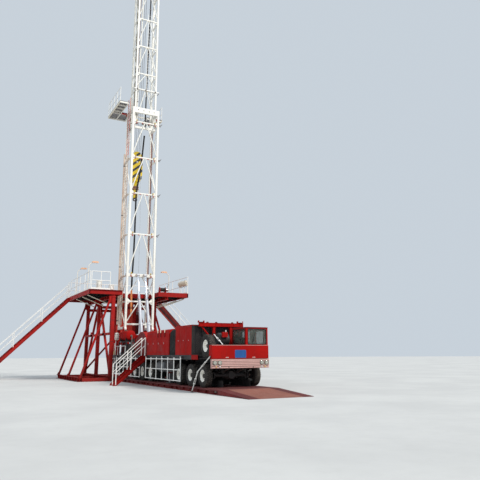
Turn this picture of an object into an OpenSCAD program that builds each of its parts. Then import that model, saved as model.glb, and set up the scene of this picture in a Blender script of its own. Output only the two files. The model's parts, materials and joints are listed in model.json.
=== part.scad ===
// Truck mounted workover rig standing on its base mat, with a telescoping
// mast raised at the rear and a drill floor behind it.
// Millimetres. Work frame of the modules: x = 0 on the centre line, y = 0 at
// the front panel and growing to the rear, z = 0 on the ground. The whole is
// then shifted so that the origin is at the bottom centre of its box.

/* [Base] */
// Width of the base mat under the truck
mat_w = 3000; // [2960:10:3100]
// Height of the mat's top above the ground
mat_top = 212; // [205:1:212]
// Length of the entry ramp
ramp_l = 2700; // [2000:50:3200]

/* [Truck] */
// Width over the bodywork
truck_w = 2900; // [2880:10:2920]
// Height of the deck
deck_z = 1640; // [1620:10:1650]
// Height of the wheel centres
wheel_z = 725; // [724:1:740]
// Radius of the tyres
tyre_r = 505; // [480:1:506]
// Width of a single tyre
tyre_w = 340; // [300:10:350]
// Height of the cab roof
cab_top = 2880; // [2860:10:2900]
// Height of the engine house
house_top = 3050; // [3000:10:3060]

/* [Mast] */
// Lean of the mast towards the well, degrees
lean = 0.8; // [0:0.1:1.5]
// Distance of the mast pivot from the front panel
mast_y = 14700; // [14700:10:14720]
// Height of the mast pivot
mast_z = 3350; // [3345:1:3360]
// Width between the chord centres of the lower section
low_w = 1920; // [1920:10:1940]
// Depth between the chord centres of the lower section
low_d = 1450; // [1450:10:1470]
// Length of the lower section
low_l = 16300; // [16200:50:16500]
// Height in the mast of the upper section's lower end
up_h0 = 14700; // [14600:50:14750]
// Height in the mast of the crown frame
crown_h = 29800; // [29500:50:30200]

/* [Drill floor] */
// Height of the floor plate
floor_z = 5900; // [5880:10:5920]
// Half width of the floor
floor_hw = 3540; // [3500:10:3600]
// Distance of the well centre from the front panel
well_y = 16850; // [16840:10:16900]
// Radius of the table's opening
bore_r = 222.25; // [200:0.25:225]
// Height of the handrails
rail_h = 1200; // [1000:50:1300]

/* [Hidden] */
$fn = 32;
rear_y = 21750;
y_shift = -(rear_y - 705 - ramp_l)/2;
hw = truck_w/2;
red = [0.76, 0.06, 0.05];
dkred = [0.45, 0.06, 0.06];
white = [0.93, 0.92, 0.88];
black = [0.05, 0.05, 0.055];
steel = [0.62, 0.66, 0.72];

// axle table: [y, 1 = steered single tyre, 0 = twin tyre]
AXLES = [[1110, 1], [2500, 1], [3930, 1], [8120, 0], [9510, 0], [10910, 0]];
function axle_y(i) = AXLES[i][0];
king_x = 930;
spin_r = 50;
low_hw = low_w/2;
low_c = 150;                 // chord size of the lower section
up_hw = 780;                 // half width of the upper section, chord centres
up_c = 130;                  // chord size of the upper section
up_d0 = 200;                 // its front chord, behind the lower front chord
up_d1 = 1250;                // its rear chord
// ring heights of the lower and upper sections, in the mast
LOW_RINGS = [1850, 3650, 6600, 9600, 12350, 15150];
UP_RINGS = [17900, 19250, 21600, 24000, 26400, 28700];
// hinge line of the folding board, in the mast
brd_y = 1700;
brd_h = low_l + 60;
// raising cylinders: base pin and rod eye, seen from the side
cyl_x = 265;
cyl_b = [12950, 1790];
cyl_h = 3650;                // rod eye height in the mast
cyl_d = -230;                // rod eye in front of the front chords
cyl_e = [mast_y + cyl_d*cos(lean) + cyl_h*sin(lean), mast_z - cyl_d*sin(lean) + cyl_h*cos(lean)];
cyl_len = norm(cyl_e - cyl_b);
cyl_short = norm([mast_y - cyl_h, mast_z + cyl_d] - cyl_b);
cyl_tilt = atan2(cyl_e[0] - cyl_b[0], cyl_e[1] - cyl_b[1]);

// ---------- helpers ----------
module bx(x0, x1, y0, y1, z0, z1) translate([x0, y0, z0]) cube([x1 - x0, y1 - y0, z1 - z0]);
module both() { children(); mirror([1, 0, 0]) children(); }
module aim(a, b) {
    v = b - a;
    translate(a) rotate([0, acos(v[2]/norm(v)), atan2(v[1], v[0])]) children();
}
module rod(a, b, d) aim(a, b) cylinder(h = norm(b - a), d = d, $fn = 24);
module bar(a, b, w) aim(a, b) translate([-w/2, -w/2, 0]) cube([w, w, norm(b - a)]);
// profile given as [y, z] points, extruded along x from x0 to x1
module side_profile(x0, x1, pts) translate([x0, 0, 0]) rotate([90, 0, 90]) linear_extrude(x1 - x0) polygon(pts);
// profile given as [x, z] points, extruded along y from y0 to y1
module front_profile(y0, y1, pts) translate([0, y1, 0]) rotate([90, 0, 0]) linear_extrude(y1 - y0) polygon(pts);
module mast_frame() translate([0, mast_y, mast_z]) rotate([-lean, 0, 0]) children();

// ---------- base ----------
module base_mat() color(dkred) {
    bx(-mat_w/2, mat_w/2, -700, 16300, mat_top - 30, mat_top);
    for (x = [-mat_w/2 + 100, -500, 500, mat_w/2 - 100])
        bx(x - 100, x + 100, -700, 16300, 0, mat_top - 30);
    for (y = [-700, 2700, 6100, 9500, 12900, 16150])
        bx(-mat_w/2 + 100, mat_w/2 - 100, y, y + 150, 0, mat_top - 30);
    side_profile(-mat_w/2, mat_w/2, [[-700, 0], [-700, mat_top], [-705 - ramp_l, 12], [-705 - ramp_l, 0]]);
}

// ---------- chassis ----------
JACKS = [5900, 13600];        // y of the levelling jacks
module chassis() color(black) difference() {
    chassis_body();
    for (y = JACKS) both() bx(934, 1086, y + 34, y + 186, 690, 1420);
}
module chassis_body() {
    both() bx(340, 440, 120, 16250, 1080, 1430);
    bx(-hw + 40, hw - 40, 110, 16250, 1430, 1480);
    // deck plate with its side channels
    bx(-hw + 40, hw - 40, 1500, 16250, deck_z - 30, deck_z);
    both() bx(hw - 40, hw, 1500, 16250, 1430, deck_z);
    bx(-hw, hw, 1500, 1540, 1430, deck_z);
    for (y = [5000, 12000, 16210]) bx(-hw + 40, hw - 40, y, y + 40, 1480, deck_z - 30);
    // cross members
    for (y = [120, 1800, 3200, 4800, 7200, 8800, 10200, 11800, 15900]) bx(-340, 340, y, y + 120, 1150, 1330);
    // axle hangers
    for (a = AXLES) both() bx(360, 420, a[0] - 110, a[0] + 110, wheel_z + 92, 1090);
    // sleeves of the levelling jacks
    for (y = JACKS) both() bx(900, 1120, y, y + 220, 700, 1430);
    for (y = JACKS) bx(-900, 900, y + 60, y + 160, 1180, 1380);
    // hinge brackets and pins of the guards
    for (g = GUARDS, k = [0, 0.5, 1], s = [-1, 1]) {
        y = guard_y(g, k);
        for (o = [-48, 38]) bx(min(s*(hw - 5), s*(rail_x + 25)), max(s*(hw - 5), s*(rail_x + 25)), y + o, y + o + 10, rail_hz - 25, rail_hz + 25);
        translate([s*rail_x, y - 48, rail_hz]) rotate([-90, 0, 0]) cylinder(h = 96, r = 15);
    }
}
// a pair of jack legs on the mat
module jack_pair(y) color(steel) both() {
    bx(940, 1080, y + 40, y + 180, mat_top + 40, 1100);
    bx(820, 1200, y - 80, y + 300, mat_top + 0.5, mat_top + 40);
}
module jack_legs_front() jack_pair(JACKS[0]);
module jack_legs_rear() jack_pair(JACKS[1]);

module axles() color(black)
    for (a = AXLES) {
        if (a[1] == 1) {
            difference() {
                union() {
                    translate([-king_x + 150, a[0], wheel_z]) rotate([0, 90, 0]) cylinder(h = 2*king_x - 300, r = 80);
                    both() bx(king_x - 160, king_x - 100, a[0] - 80, a[0] + 80, wheel_z - 135, wheel_z + 135);
                    both() for (z = [-135, 105]) bx(king_x - 160, king_x + 50, a[0] - 70, a[0] + 70, wheel_z + z, wheel_z + z + 30);
                }
            }
            both() translate([king_x, a[0], wheel_z - 135]) cylinder(h = 270, r = 25);
        } else {
            translate([-700, a[0], wheel_z]) rotate([0, 90, 0]) cylinder(h = 1400, r = 90);
            translate([-1340, a[0], wheel_z]) rotate([0, 90, 0]) cylinder(h = 2680, r = spin_r);
        }
        translate([-230, a[0] - 30, wheel_z - 150]) bx(0, 460, -120, 180, 0, 300);
    }

// knuckle with its spindle; s = -1 on the truck's right side
module knuckle(i, s) color(black) translate([0, axle_y(i), wheel_z]) {
    difference() {
        union() {
            bx(min(s*(king_x - 55), s*(king_x + 70)), max(s*(king_x - 55), s*(king_x + 70)), -60, 60, -98, 98);
            translate([s > 0 ? king_x + 60 : -king_x - 410, 0, 0]) rotate([0, 90, 0]) cylinder(h = 350, r = spin_r);
        }
        translate([0, 0, -120]) translate([s*king_x, 0, 0]) cylinder(h = 240, r = 25.06);
    }
}
module knuckle_1_right() knuckle(0, -1);
module knuckle_1_left() knuckle(0, 1);
module knuckle_2_right() knuckle(1, -1);
module knuckle_2_left() knuckle(1, 1);
module knuckle_3_right() knuckle(2, -1);
module knuckle_3_left() knuckle(2, 1);

// ---------- wheels ----------
// single wheel, centred on its own middle plane, dish on the +x side
module single_wheel() rotate([90, 0, 90]) rotate_extrude($fn = 64) polygon([
    [spin_r + 0.06, -60], [110, -60], [130, -20], [235, -20], [255, -tyre_w/2 + 25], [300, -tyre_w/2], [tyre_r - 60, -tyre_w/2],
    [tyre_r, -tyre_w/2 + 60], [tyre_r, tyre_w/2 - 60], [tyre_r - 60, tyre_w/2], [300, tyre_w/2], [255, tyre_w/2 - 25],
    [225, 20], [140, 20], [115, 60], [spin_r + 0.06, 60]]);
module twin_wheel() rotate([90, 0, 90]) rotate_extrude($fn = 64) polygon([
    [spin_r + 0.06, -60], [255, -60], [255, -300], [300, -320], [tyre_r - 50, -320], [tyre_r, -275], [tyre_r, -65], [tyre_r - 50, -20],
    [290, -20], [290, 20], [tyre_r - 50, 20], [tyre_r, 65], [tyre_r, 275], [tyre_r - 50, 320], [300, 320], [255, 300],
    [225, 60], [spin_r + 0.06, 60]]);
module wheel(i, s) color(white) translate([s*(AXLES[i][1] == 1 ? hw - 40 - tyre_w/2 : hw - 40 - 320), axle_y(i), wheel_z])
    mirror([s < 0 ? 1 : 0, 0, 0]) if (AXLES[i][1] == 1) single_wheel(); else twin_wheel();
module wheel_1_right() wheel(0, -1);
module wheel_1_left() wheel(0, 1);
module wheel_2_right() wheel(1, -1);
module wheel_2_left() wheel(1, 1);
module wheel_3_right() wheel(2, -1);
module wheel_3_left() wheel(2, 1);
module wheel_4_right() wheel(3, -1);
module wheel_4_left() wheel(3, 1);
module wheel_5_right() wheel(4, -1);
module wheel_5_left() wheel(4, 1);
module wheel_6_right() wheel(5, -1);
module wheel_6_left() wheel(5, 1);

// ---------- cab and front ----------
cab_x0 = 300;
cab_x1 = hw;
cab_y0 = 60;
cab_y1 = 1470;
cab_w = 45;                  // wall thickness
door_y0 = 330;
door_y1 = 1230;
// door hinge: heights of the knuckles, place of the axis
HINGES = [1720, 2560];
hinge_p = [cab_x1 + 15, door_y0 + 5];
module cab() color(red) difference() {
    union() {
        bx(cab_x0, cab_x1, cab_y0, cab_y1, 1481, cab_top - 30);
        bx(cab_x0 - 10, cab_x1 + 15, cab_y0 - 30, cab_y1 + 20, cab_top - 30, cab_top);
        for (z = HINGES) {
            for (o = [-32, 82]) {
                translate([hinge_p[0], hinge_p[1], z + o]) cylinder(h = 30, r = 13);
                bx(cab_x1 - 5, cab_x1 + 8, 240, door_y0 - 6, z + o, z + o + 30);
                bx(cab_x1, cab_x1 + 12, door_y0 - 10, hinge_p[1], z + o, z + o + 30);
            }
            translate([hinge_p[0], hinge_p[1], z - 31]) cylinder(h = 142, r = 6);
        }
    }
    bx(cab_x0 + cab_w, cab_x1 - cab_w, cab_y0 + cab_w, cab_y1 - cab_w, 1560, cab_top - 60);
    bx(cab_x0 + 100, cab_x1 - 80, cab_y0 - 1, cab_y0 + cab_w + 1, 2110, 2790);
    bx(cab_x0 - 1, cab_x0 + cab_w + 1, cab_y0 + 120, cab_y1 - 110, 2110, 2790);
    bx(cab_x0 + 150, cab_x1 - 150, cab_y1 - cab_w - 1, cab_y1 + 1, 2150, 2740);
    bx(cab_x1 - cab_w - 1, cab_x1 + 1, door_y0, door_y1, 1600, 2800);
}
module cab_door() color(red) difference() {
    union() {
        bx(cab_x1 - cab_w, cab_x1, door_y0 + 6, door_y1 - 6, 1606, 2794);
        for (z = HINGES) {
            translate([hinge_p[0], hinge_p[1], z]) cylinder(h = 80, r = 13);
            bx(cab_x1, cab_x1 + 12, hinge_p[1], door_y0 + 85, z, z + 80);
        }
    }
    bx(cab_x1 - cab_w - 1, cab_x1 + 1, door_y0 + 90, door_y1 - 90, 2130, 2720);
    for (z = HINGES) translate([hinge_p[0], hinge_p[1], z - 1]) cylinder(h = 82, r = 6.06);
}
module cab_glass() color([0.6, 0.7, 0.75]) {
    bx(cab_x0 + 100, cab_x1 - 80, cab_y0 + 18, cab_y0 + 26, 2110, 2790);
    bx(cab_x0 + 18, cab_x0 + 26, cab_y0 + 120, cab_y1 - 110, 2110, 2790);
    bx(cab_x0 + 150, cab_x1 - 150, cab_y1 - 27, cab_y1 - 19, 2150, 2740);
}
module nose_panel() color(red) {
    bx(-hw, hw, 0, 55, 1462, 2070);
    bx(-hw, cab_x0 - 15, 55, 285, 2030, 2070);
    bx(-hw, -hw + 40, 55, 285, 1484, 2030);
}
module bumper_grille() color([0.88, 0.68, 0.68]) {
    bx(-hw, hw, 20, 110, 1060, 1455);
    for (z = [1075, 1155, 1225, 1295, 1365, 1425]) bx(-hw, hw, -25, 20, z, z + 28);
    both() bx(980, hw, -20, 20, 1180, 1420);
    for (x = [-1200, 1200]) bx(x - 90, x + 90, 110, 200, 1200, 1400);
    both() bx(350, 430, 110, 120, 1100, 1400);
}
module headlights() color([0.95, 0.93, 0.85]) {
    for (x = [-1310, -1070, 1070, 1310]) translate([x, -25, 1300]) rotate([90, 0, 0]) cylinder(h = 45, r = 100);
    for (x = [-1240, -1060, 1060, 1240]) translate([x, -25, 1128]) rotate([90, 0, 0]) cylinder(h = 25, r = 38);
}
module spare_wheel() color(black) {
    translate([-hw + 200, 800, 2040]) rotate([90, 0, -90]) rotate_extrude($fn = 64)
        polygon([[60, -20], [235, -20], [255, -150], [300, -170], [440, -170], [500, -110], [500, 110], [440, 170], [300, 170], [255, 150], [225, 20], [60, 20]]);
    // its carrier with the stub
    bx(-1060, -760, 740, 860, 1480, 2110);
    translate([-1330, 800, 2040]) rotate([0, 90, 0]) cylinder(h = 300, r = 58);
}
module air_cleaner() color(black) {
    translate([-620, 1200, 2330]) rotate([0, 90, 0]) cylinder(h = 560, r = 290);
    bx(-560, -120, 1150, 1250, 1481, 2060);
}

// ---------- deck machinery ----------
module mast_rest() color(red) {
    bx(-1150, 1200, 1960, 2160, 2960, 3140);
    for (x = [-1050, 1050]) { bx(x - 70, x + 70, 1930, 2190, 3140, 3180); bx(x - 150, x - 120, 1990, 2130, 3140, 3240); bx(x + 120, x + 150, 1990, 2130, 3140, 3240); }
    for (x = [-380, 530]) bx(x - 60, x + 60, 2000, 2120, deck_z, 2960);
    rod([-1050, 2060, 3000], [-420, 2060, 2300], 80);
    rod([1050, 2060, 3000], [560, 2060, 2300], 80);
}
module engine() color(black) bx(-450, 450, 2520, 4000, deck_z + 60, 2650);
module engine_house() color(red) difference() {
    bx(-hw, 1300, 2250, 4300, deck_z, house_top);
    bx(-hw + 40, 1260, 2290, 4260, deck_z - 1, house_top - 40);
    bx(-hw + 90, 1210, 2249, 2291, deck_z + 80, house_top - 90);
}
module radiator() color(black) {
    bx(-hw + 90, 1210, 2255, 2285, deck_z + 80, house_top - 90);
    for (x = [-1250 : 250 : 1000]) bx(x, x + 30, 2243, 2255, deck_z + 90, house_top - 100);
}
module coupling_cover() color(black) side_profile(-1420, 1420, [[4310, deck_z], [5180, deck_z], [5180, 2850], [5020, 2950], [4500, 2950], [4310, 2830]]);
// hood over the hoist: flat front part and round rear part, with a slot for the cylinders
hood_r = 1240;
module drawworks_hood() color(red) difference() {
    union() {
        side_profile(-hw, hw, [[5200, deck_z], [8650, deck_z], [8650, 2700], [8450, 2900], [8200, 2970], [5400, 2970], [5260, 2920], [5200, 2800]]);
        intersection() {
            translate([-1250, 10300, deck_z + 110]) rotate([0, 90, 0]) cylinder(h = 2500, r = hood_r, $fn = 96);
            bx(-1250, 1250, 8600, 11700, deck_z, 3000);
        }
        bx(-1250, 1250, 8600, 10300, deck_z, 2650);
    }
    bx(-520, 520, 10450, 12000, deck_z - 10, 3100);
    bx(-150, 150, 9300, 10460, 2500, 3100);
}
module mast_base() color(red) {
    both() {
        // pillars under the pivots, with two cheeks and the pin
        bx(810, 1110, 14500, 14900, deck_z, 3060);
        bx(818, 858, 14560, 14840, 3060, 3480);
        bx(1062, 1102, 14560, 14840, 3060, 3480);
        translate([818, mast_y, mast_z]) rotate([0, 90, 0]) cylinder(h = 284, r = 60);
        // rear rests and diagonals
        bx(870, 1050, 16020, 16240, deck_z, mast_z - low_d*sin(lean) - 10);
        intersection() {
            bar([960, 14600, 2900], [960, 12900, deck_z + 40], 160);
            bx(800, 1120, 12000, 14900, deck_z, 3060);
        }
        bx(900, 1020, 14900, 16020, 2300, 2450);
    }
    bx(-810, 810, 14560, 14840, 2700, 2960);
    bx(-870, 870, 16060, 16200, 2700, 2900);
    // cylinder brackets
    for (x = [-cyl_x - 175, -cyl_x + 145, cyl_x - 175, cyl_x + 145])
        difference() {
            side_profile(x, x + 30, [[cyl_b[0] - 240, deck_z], [cyl_b[0] - 110, cyl_b[1] + 60], [cyl_b[0] - 60, cyl_b[1] + 110], [cyl_b[0] + 60, cyl_b[1] + 110], [cyl_b[0] + 110, cyl_b[1] + 60], [cyl_b[0] + 240, deck_z]]);
        }
    for (x = [-cyl_x, cyl_x]) translate([x - 160, cyl_b[0], cyl_b[1]]) rotate([0, 90, 0]) cylinder(h = 320, r = 44.94);
    bx(-480, 480, cyl_b[0] - 300, cyl_b[0] + 300, deck_z, deck_z + 20);
}

module side_stair() color(red) {
    for (y = [8610, 9250]) difference() {
        front_profile(y, y + 60, [[-hw - 5, 1640], [-hw - 5, 1380], [-3130, 0], [-3330, 0], [-3330, 60], [-1560, 1640]]);
    }
    for (k = [1 : 6]) bx(-hw - 30 - k*235 - 120, -hw - 30 - k*235 + 120, 8670, 9250, 1640 - k*210 - 170, 1640 - k*210 - 130);
    color(white) for (y = [8640, 9280]) {
        p0 = [-3180, y, 1150];
        p1 = [-1560, y, 2600];
        rod([-3180, y, 60], p0 + [0, 0, 30], 52);
        rod([-1560, y, 1600], p1 + [0, 0, 30], 52);
        rod(p0, p1, 40);
        rod([-3180, y, 720], [-1560, y, 2170], 40);
        rod([-2370, y, 830], [-2370, y, 1910], 52);
    }
}
// hanging guard of pipe between y0 and y1 on side s, hinged at the deck edge
rail_x = hw + 120;
rail_hz = 1540;
// guards: [first y, last y]
GUARDS = [[3290, 8400], [9480, 14250]];
function guard_n(g) = round((g[1] - g[0])/850);
function guard_y(g, f) = g[0] + (g[1] - g[0])*round(f*guard_n(g))/guard_n(g);
module deck_rail(g, s) color(white) {
    y0 = g[0];
    y1 = g[1];
    n = guard_n(g);
    difference() {
    union() {
    for (k = [0 : n]) rod([s*rail_x, y0 + k*(y1 - y0)/n, rail_hz - 10], [s*rail_x, y0 + k*(y1 - y0)/n, 390], 50);
    for (z = [1440, 930, 420]) rod([s*rail_x, y0 - 32, z], [s*rail_x, y1 + 32, z], 44);
    for (f = [0, 0.5, 1]) translate([s*rail_x, guard_y(g, f) - 30, rail_hz]) rotate([-90, 0, 0]) cylinder(h = 60, r = 32);
    }
    for (f = [0, 0.5, 1]) translate([s*rail_x, guard_y(g, f) - 31, rail_hz]) rotate([-90, 0, 0]) cylinder(h = 62, r = 15.06);
    }
}
module deck_rail_front_right() deck_rail(GUARDS[0], -1);
module deck_rail_front_left() deck_rail(GUARDS[0], 1);
module deck_rail_rear_right() deck_rail(GUARDS[1], -1);
module deck_rail_rear_left() deck_rail(GUARDS[1], 1);

// ---------- drill floor ----------
sub_x = 1900;
leg_w = 230;
front_y = 14540;
module raker(y) {
    bx(sub_x - leg_w/2, sub_x + leg_w/2, y, y + leg_w, 320, floor_z - 400);
    bar([sub_x + 180, y + leg_w/2, floor_z - 520], [3830, y + leg_w/2, 150], 170);
}
module substructure() color(red) {
    both() {
        bx(sub_x - 150, sub_x + 150, 14300, rear_y, 0, 320);
        bx(3700, 3950, 14400, rear_y - 200, 0, 260);
        for (y = [14400, 17950, rear_y - 430]) bx(sub_x + 150, 3700, y, y + 230, 0, 220);
        for (y = [17950, rear_y - 430]) raker(y);
        bar([sub_x, 14520, 400], [sub_x, 18000, floor_z - 500], 140);
        bar([sub_x, 21400, 400], [sub_x, 18100, floor_z - 500], 140);
        bx(sub_x - 90, sub_x + 90, 14600, rear_y - 400, 2950, 3110);
        bx(sub_x - 100, sub_x + 100, 14400, rear_y, floor_z - 520, floor_z - 301);
    }
    // front legs: right side with a raking leg, left side further back and without
    mirror([1, 0, 0]) raker(14400);
    bx(sub_x - leg_w/2, sub_x + leg_w/2, 16900, 16900 + leg_w, 320, floor_z - 400);
    bx(-sub_x, sub_x, rear_y - 300, rear_y - 80, 0, 220);
    bx(-sub_x, sub_x, 18560, 18760, 0, 200);
    for (y = [18000, rear_y - 400]) bx(-sub_x, sub_x, y, y + 160, 4900, 5100);
    bar([-sub_x, rear_y - 310, 500], [sub_x, rear_y - 310, 4900], 120);
    // panel and columns behind the mast foot
    both() bx(620, 820, 18000, 18160, 200, 4900);
    bx(-620, 620, 18040, 18120, 2600, 5590);
}
module drill_floor() color(red) difference() {
    union() {
        // edge beams
        both() {
            bx(floor_hw - 90, floor_hw, front_y, rear_y, floor_z - 300, floor_z);
            bx(1270, floor_hw - 90, front_y, front_y + 110, floor_z - 300, floor_z);
            bx(1270, 1380, front_y + 110, 16360, floor_z - 300, floor_z);
            for (y = [16500, 18300, 20000]) bx(600, floor_hw - 90, y, y + 90, floor_z - 260, floor_z - 30);
        }
        bx(-1380, 1380, 16340, 16420, floor_z - 300, floor_z);
        bx(-floor_hw + 90, floor_hw - 90, rear_y - 110, rear_y, floor_z - 300, floor_z);
        bx(-floor_hw + 20, floor_hw - 20, 16380, rear_y - 20, floor_z - 30, floor_z);
        both() bx(1290, floor_hw - 20, front_y + 20, 16400, floor_z - 30, floor_z);
        // main beams and the table's housing
        for (x = [-760, 660]) bx(x, x + 100, 16420, rear_y - 110, floor_z - 300, floor_z - 30);
        translate([0, well_y, floor_z - 300]) cylinder(h = 300, r = 460, $fn = 64);
        bx(-660, 660, 16600, 17100, floor_z - 300, floor_z - 200);
    }
    translate([0, well_y, floor_z - 240]) cylinder(h = 300, r = 385, $fn = 64);
    translate([0, well_y, floor_z - 400]) cylinder(h = 300, r = 300, $fn = 64);
}
module rotary_table() color(steel) translate([0, well_y, floor_z - 234]) difference() {
    union() {
        cylinder(h = 254, r = 375, $fn = 64);
    }
    translate([0, 0, -1]) cylinder(h = 300, r = bore_r, $fn = 64);
}
st_y0 = 20650;
st_y1 = 21600;
st_run = floor_z;            // stairs at 45 degrees
module stringer(y0, y1) front_profile(y0, y1, [[floor_hw + 2, floor_z - 20], [floor_hw + 2, floor_z - 330], [floor_hw + st_run - 310, 0], [floor_hw + st_run, 0]]);
module floor_stairs() color(red) both() {
    for (y = [st_y0, st_y1 - 60]) stringer(y, y + 60);
    for (k = [1 : 20]) bx(floor_hw - 170 + k*280, floor_hw + 90 + k*280, st_y0 + 60, st_y1 - 60, floor_z - k*280 - 90, floor_z - k*280 - 50);
}
module rail_run(a, b, n) {
    for (k = [0 : n]) { p = a + (b - a)*k/n; rod(p, p + [0, 0, rail_h], 50); }
    for (h = [0.5, 1]) rod(a + [0, 0, rail_h*h], b + [0, 0, rail_h*h], 50);
}
module floor_rails() color(white) {
    both() {
        rail_run([floor_hw - 40, front_y + 60, floor_z], [floor_hw - 40, st_y0 - 60, floor_z], 4);
        // handrails of the stairs
        for (y = [st_y0 + 30, st_y1 - 30]) {
            a = [floor_hw + 60, y, floor_z - 60];
            b = [floor_hw + st_run - 400, y, 400];
            for (k = [0 : 3]) difference() {
                p = a + (b - a)*k/3;
                rod(p + [0, 0, -80], p + [0, 0, 1030], 52);
                stringer(y - 40, y + 40);
            }
            for (h = [560, 1000]) rod(a + [0, 0, h], b + [0, 0, h], 40);
        }
    }
    rail_run([-2160, front_y + 50, floor_z], [-floor_hw + 130, front_y + 50, floor_z], 2);
    rail_run([-floor_hw + 60, rear_y - 60, floor_z], [floor_hw - 60, rear_y - 60, floor_z], 5);
    // braces under the wings
    for (y = [15200, 16700, 18600]) both() rod([sub_x + 130, y, floor_z - 900], [floor_hw - 60, y, floor_z - 345], 70);
}
// lamps: [x, y], the head points inward
LAMPS = [[-3500, 15600], [-3500, 19000], [3500, 18200]];
module floor_lamps() color([0.95, 0.6, 0.35]) for (l = LAMPS) {
    s = l[0] < 0 ? 1 : -1;
    rod([l[0] + s*80, l[1], floor_z], [l[0] + s*80, l[1], floor_z + 1750], 60);
    rod([l[0] + s*80, l[1], floor_z + 1730], [l[0] + s*330, l[1], floor_z + 1960], 50);
    translate([l[0] + s*500, l[1], floor_z + 1970]) translate([-230, -110, -60]) cube([460, 220, 110]);
}
module floor_locker() color(white) {
    bx(-2950, -2620, 14900, 15200, floor_z, floor_z + 650);
    bx(-2050, -1750, 15000, 15400, floor_z, floor_z + 420);
}

// ---------- raising cylinders ----------
module cyl_place(x) translate([x, cyl_b[0], cyl_b[1]]) rotate([-cyl_tilt, 0, 0]) children();
module cylinder_barrels() color(steel) for (x = [-cyl_x, cyl_x]) cyl_place(x) difference() {
    union() {
        translate([0, 0, 60]) cylinder(h = 1940, r = 128);
        translate([0, 0, 1850]) cylinder(h = 150, r = 140);
        translate([-110, 0, 0]) rotate([0, 90, 0]) cylinder(h = 220, r = 120);
    }
    translate([0, 0, 180]) cylinder(h = 2000, r = 104);
    translate([-120, 0, 0]) rotate([0, 90, 0]) cylinder(h = 240, r = 45);
}
stage_h = 1900;
stage_out = (cyl_len - cyl_short)/2;
module cylinder_stages() color([0.75, 0.78, 0.82]) for (x = [-cyl_x, cyl_x]) cyl_place(x) translate([0, 0, 190 + stage_out]) difference() {
    union() {
        cylinder(h = stage_h - 60, r = 98);
        translate([0, 0, stage_h - 60]) cylinder(h = 60, r = 112);
    }
    translate([0, 0, 20]) cylinder(h = stage_h, r = 78);
}
module cylinder_rods() color([0.85, 0.87, 0.9]) for (x = [-cyl_x, cyl_x]) cyl_place(x) difference() {
    union() {
        translate([0, 0, 230 + 2*stage_out]) cylinder(h = cyl_len - 60 - 230 - 2*stage_out, r = 72);
        translate([-70, 0, cyl_len]) rotate([0, 90, 0]) cylinder(h = 140, r = 95);
    }
    translate([-80, 0, cyl_len]) rotate([0, 90, 0]) cylinder(h = 160, r = 45);
}

// ---------- mast ----------
// one open section: chords at +-w, d0 and d1, rings at the heights in r, open to the rear
module section(w, d0, d1, c, h0, h1, r, b) {
    for (x = [-w, w], d = [d0, d1]) translate([x - c/2, d - c/2, h0]) cube([c, c, h1 - h0]);
    for (h = r) {
        bx(-w, w, d0 - b/2, d0 + b/2, h - b/2, h + b/2);
        for (x = [-w, w]) bx(x - b/2, x + b/2, d0, d1, h - b/2, h + b/2);
    }
    n = len(r);
    for (k = [0 : n - 1]) {
        lo = k == 0 ? h0 + 60 : r[k - 1];
        for (s = [-1, 1]) {
            rod([s*w, d0, lo + 0.22*(r[k] - lo)], [s*60, d0, r[k]], b*0.8);
            rod([s*w, k % 2 == 0 ? d0 : d1, lo + 60], [s*w, k % 2 == 0 ? d1 : d0, r[k] - 60], b*0.7);
        }
    }
}
module mast_lower() color(white) mast_frame() difference() {
    union() {
        section(low_hw, 0, low_d, low_c, 0, low_l, LOW_RINGS, 100);
        // heavy cross beams at the cylinder eyes and at the top
        bx(-low_hw - 90, low_hw + 90, -75, 75, cyl_h - 110, cyl_h + 110);
        bx(-low_hw - 75, low_hw + 75, -75, 75, low_l - 450, low_l);
        for (x = [-low_hw, low_hw]) bx(x - 75, x + 75, 0, low_d, low_l - 300, low_l);
        for (x = [-low_hw, low_hw]) bx(x - 75, x + 75, 0, low_d, 0, 160);
        bx(-low_hw, low_hw, -60, 60, 250, 370);
        // feet
        for (x = [-low_hw, low_hw]) translate([x - 75, 0, 0]) rotate([0, 90, 0]) cylinder(h = 150, r = 130);
        // lugs and pins of the folding board
        for (s = [-1, 1]) {
            side_profile(s > 0 ? 1000 : -1060, s > 0 ? 1060 : -1000, [[low_d - 60, low_l - 260], [low_d - 60, low_l], [brd_y - 72, brd_h - 22],
                [brd_y - 41, brd_h + 18], [brd_y - 18, brd_h + 41], [brd_y, brd_h + 45], [brd_y + 18, brd_h + 41], [brd_y + 41, brd_h + 18],
                [brd_y + 45, brd_h], [brd_y + 41, brd_h - 18], [brd_y + 18, brd_h - 41], [brd_y - 60, low_l - 200]]);
            translate([s > 0 ? 1060 : -1190, brd_y, brd_h]) rotate([0, 90, 0]) cylinder(h = 130, r = 25);
        }
        // lugs for the raising cylinders
        for (x = [-cyl_x - 110, -cyl_x + 80, cyl_x - 110, cyl_x + 80]) translate([x, 0, 0])
            side_profile(0, 30, [[-60, cyl_h - 110], [-300, cyl_h - 90], [-330, cyl_h + 60], [-60, cyl_h + 110]]);
    }
    for (x = [-low_hw, low_hw]) translate([x - 80, 0, 0]) rotate([0, 90, 0]) cylinder(h = 160, r = 60.06);
    translate([-500, cyl_d, cyl_h]) rotate([0, 90, 0]) cylinder(h = 1000, r = 40);
}
lad_x = low_hw + 130;
module mast_ladder() color([0.8, 0.72, 0.64]) mast_frame() {
    for (d = [520, 960]) bx(-lad_x - 25, -lad_x + 25, d - 20, d + 20, 250, low_l + 900);
    for (k = [0 : 27]) bx(-lad_x - 12, -lad_x + 12, 540, 940, 400 + k*600, 430 + k*600);
    for (h = LOW_RINGS) bx(-lad_x + 25, -low_hw - 50, 500, 980, h - 20, h + 20);
}
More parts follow.
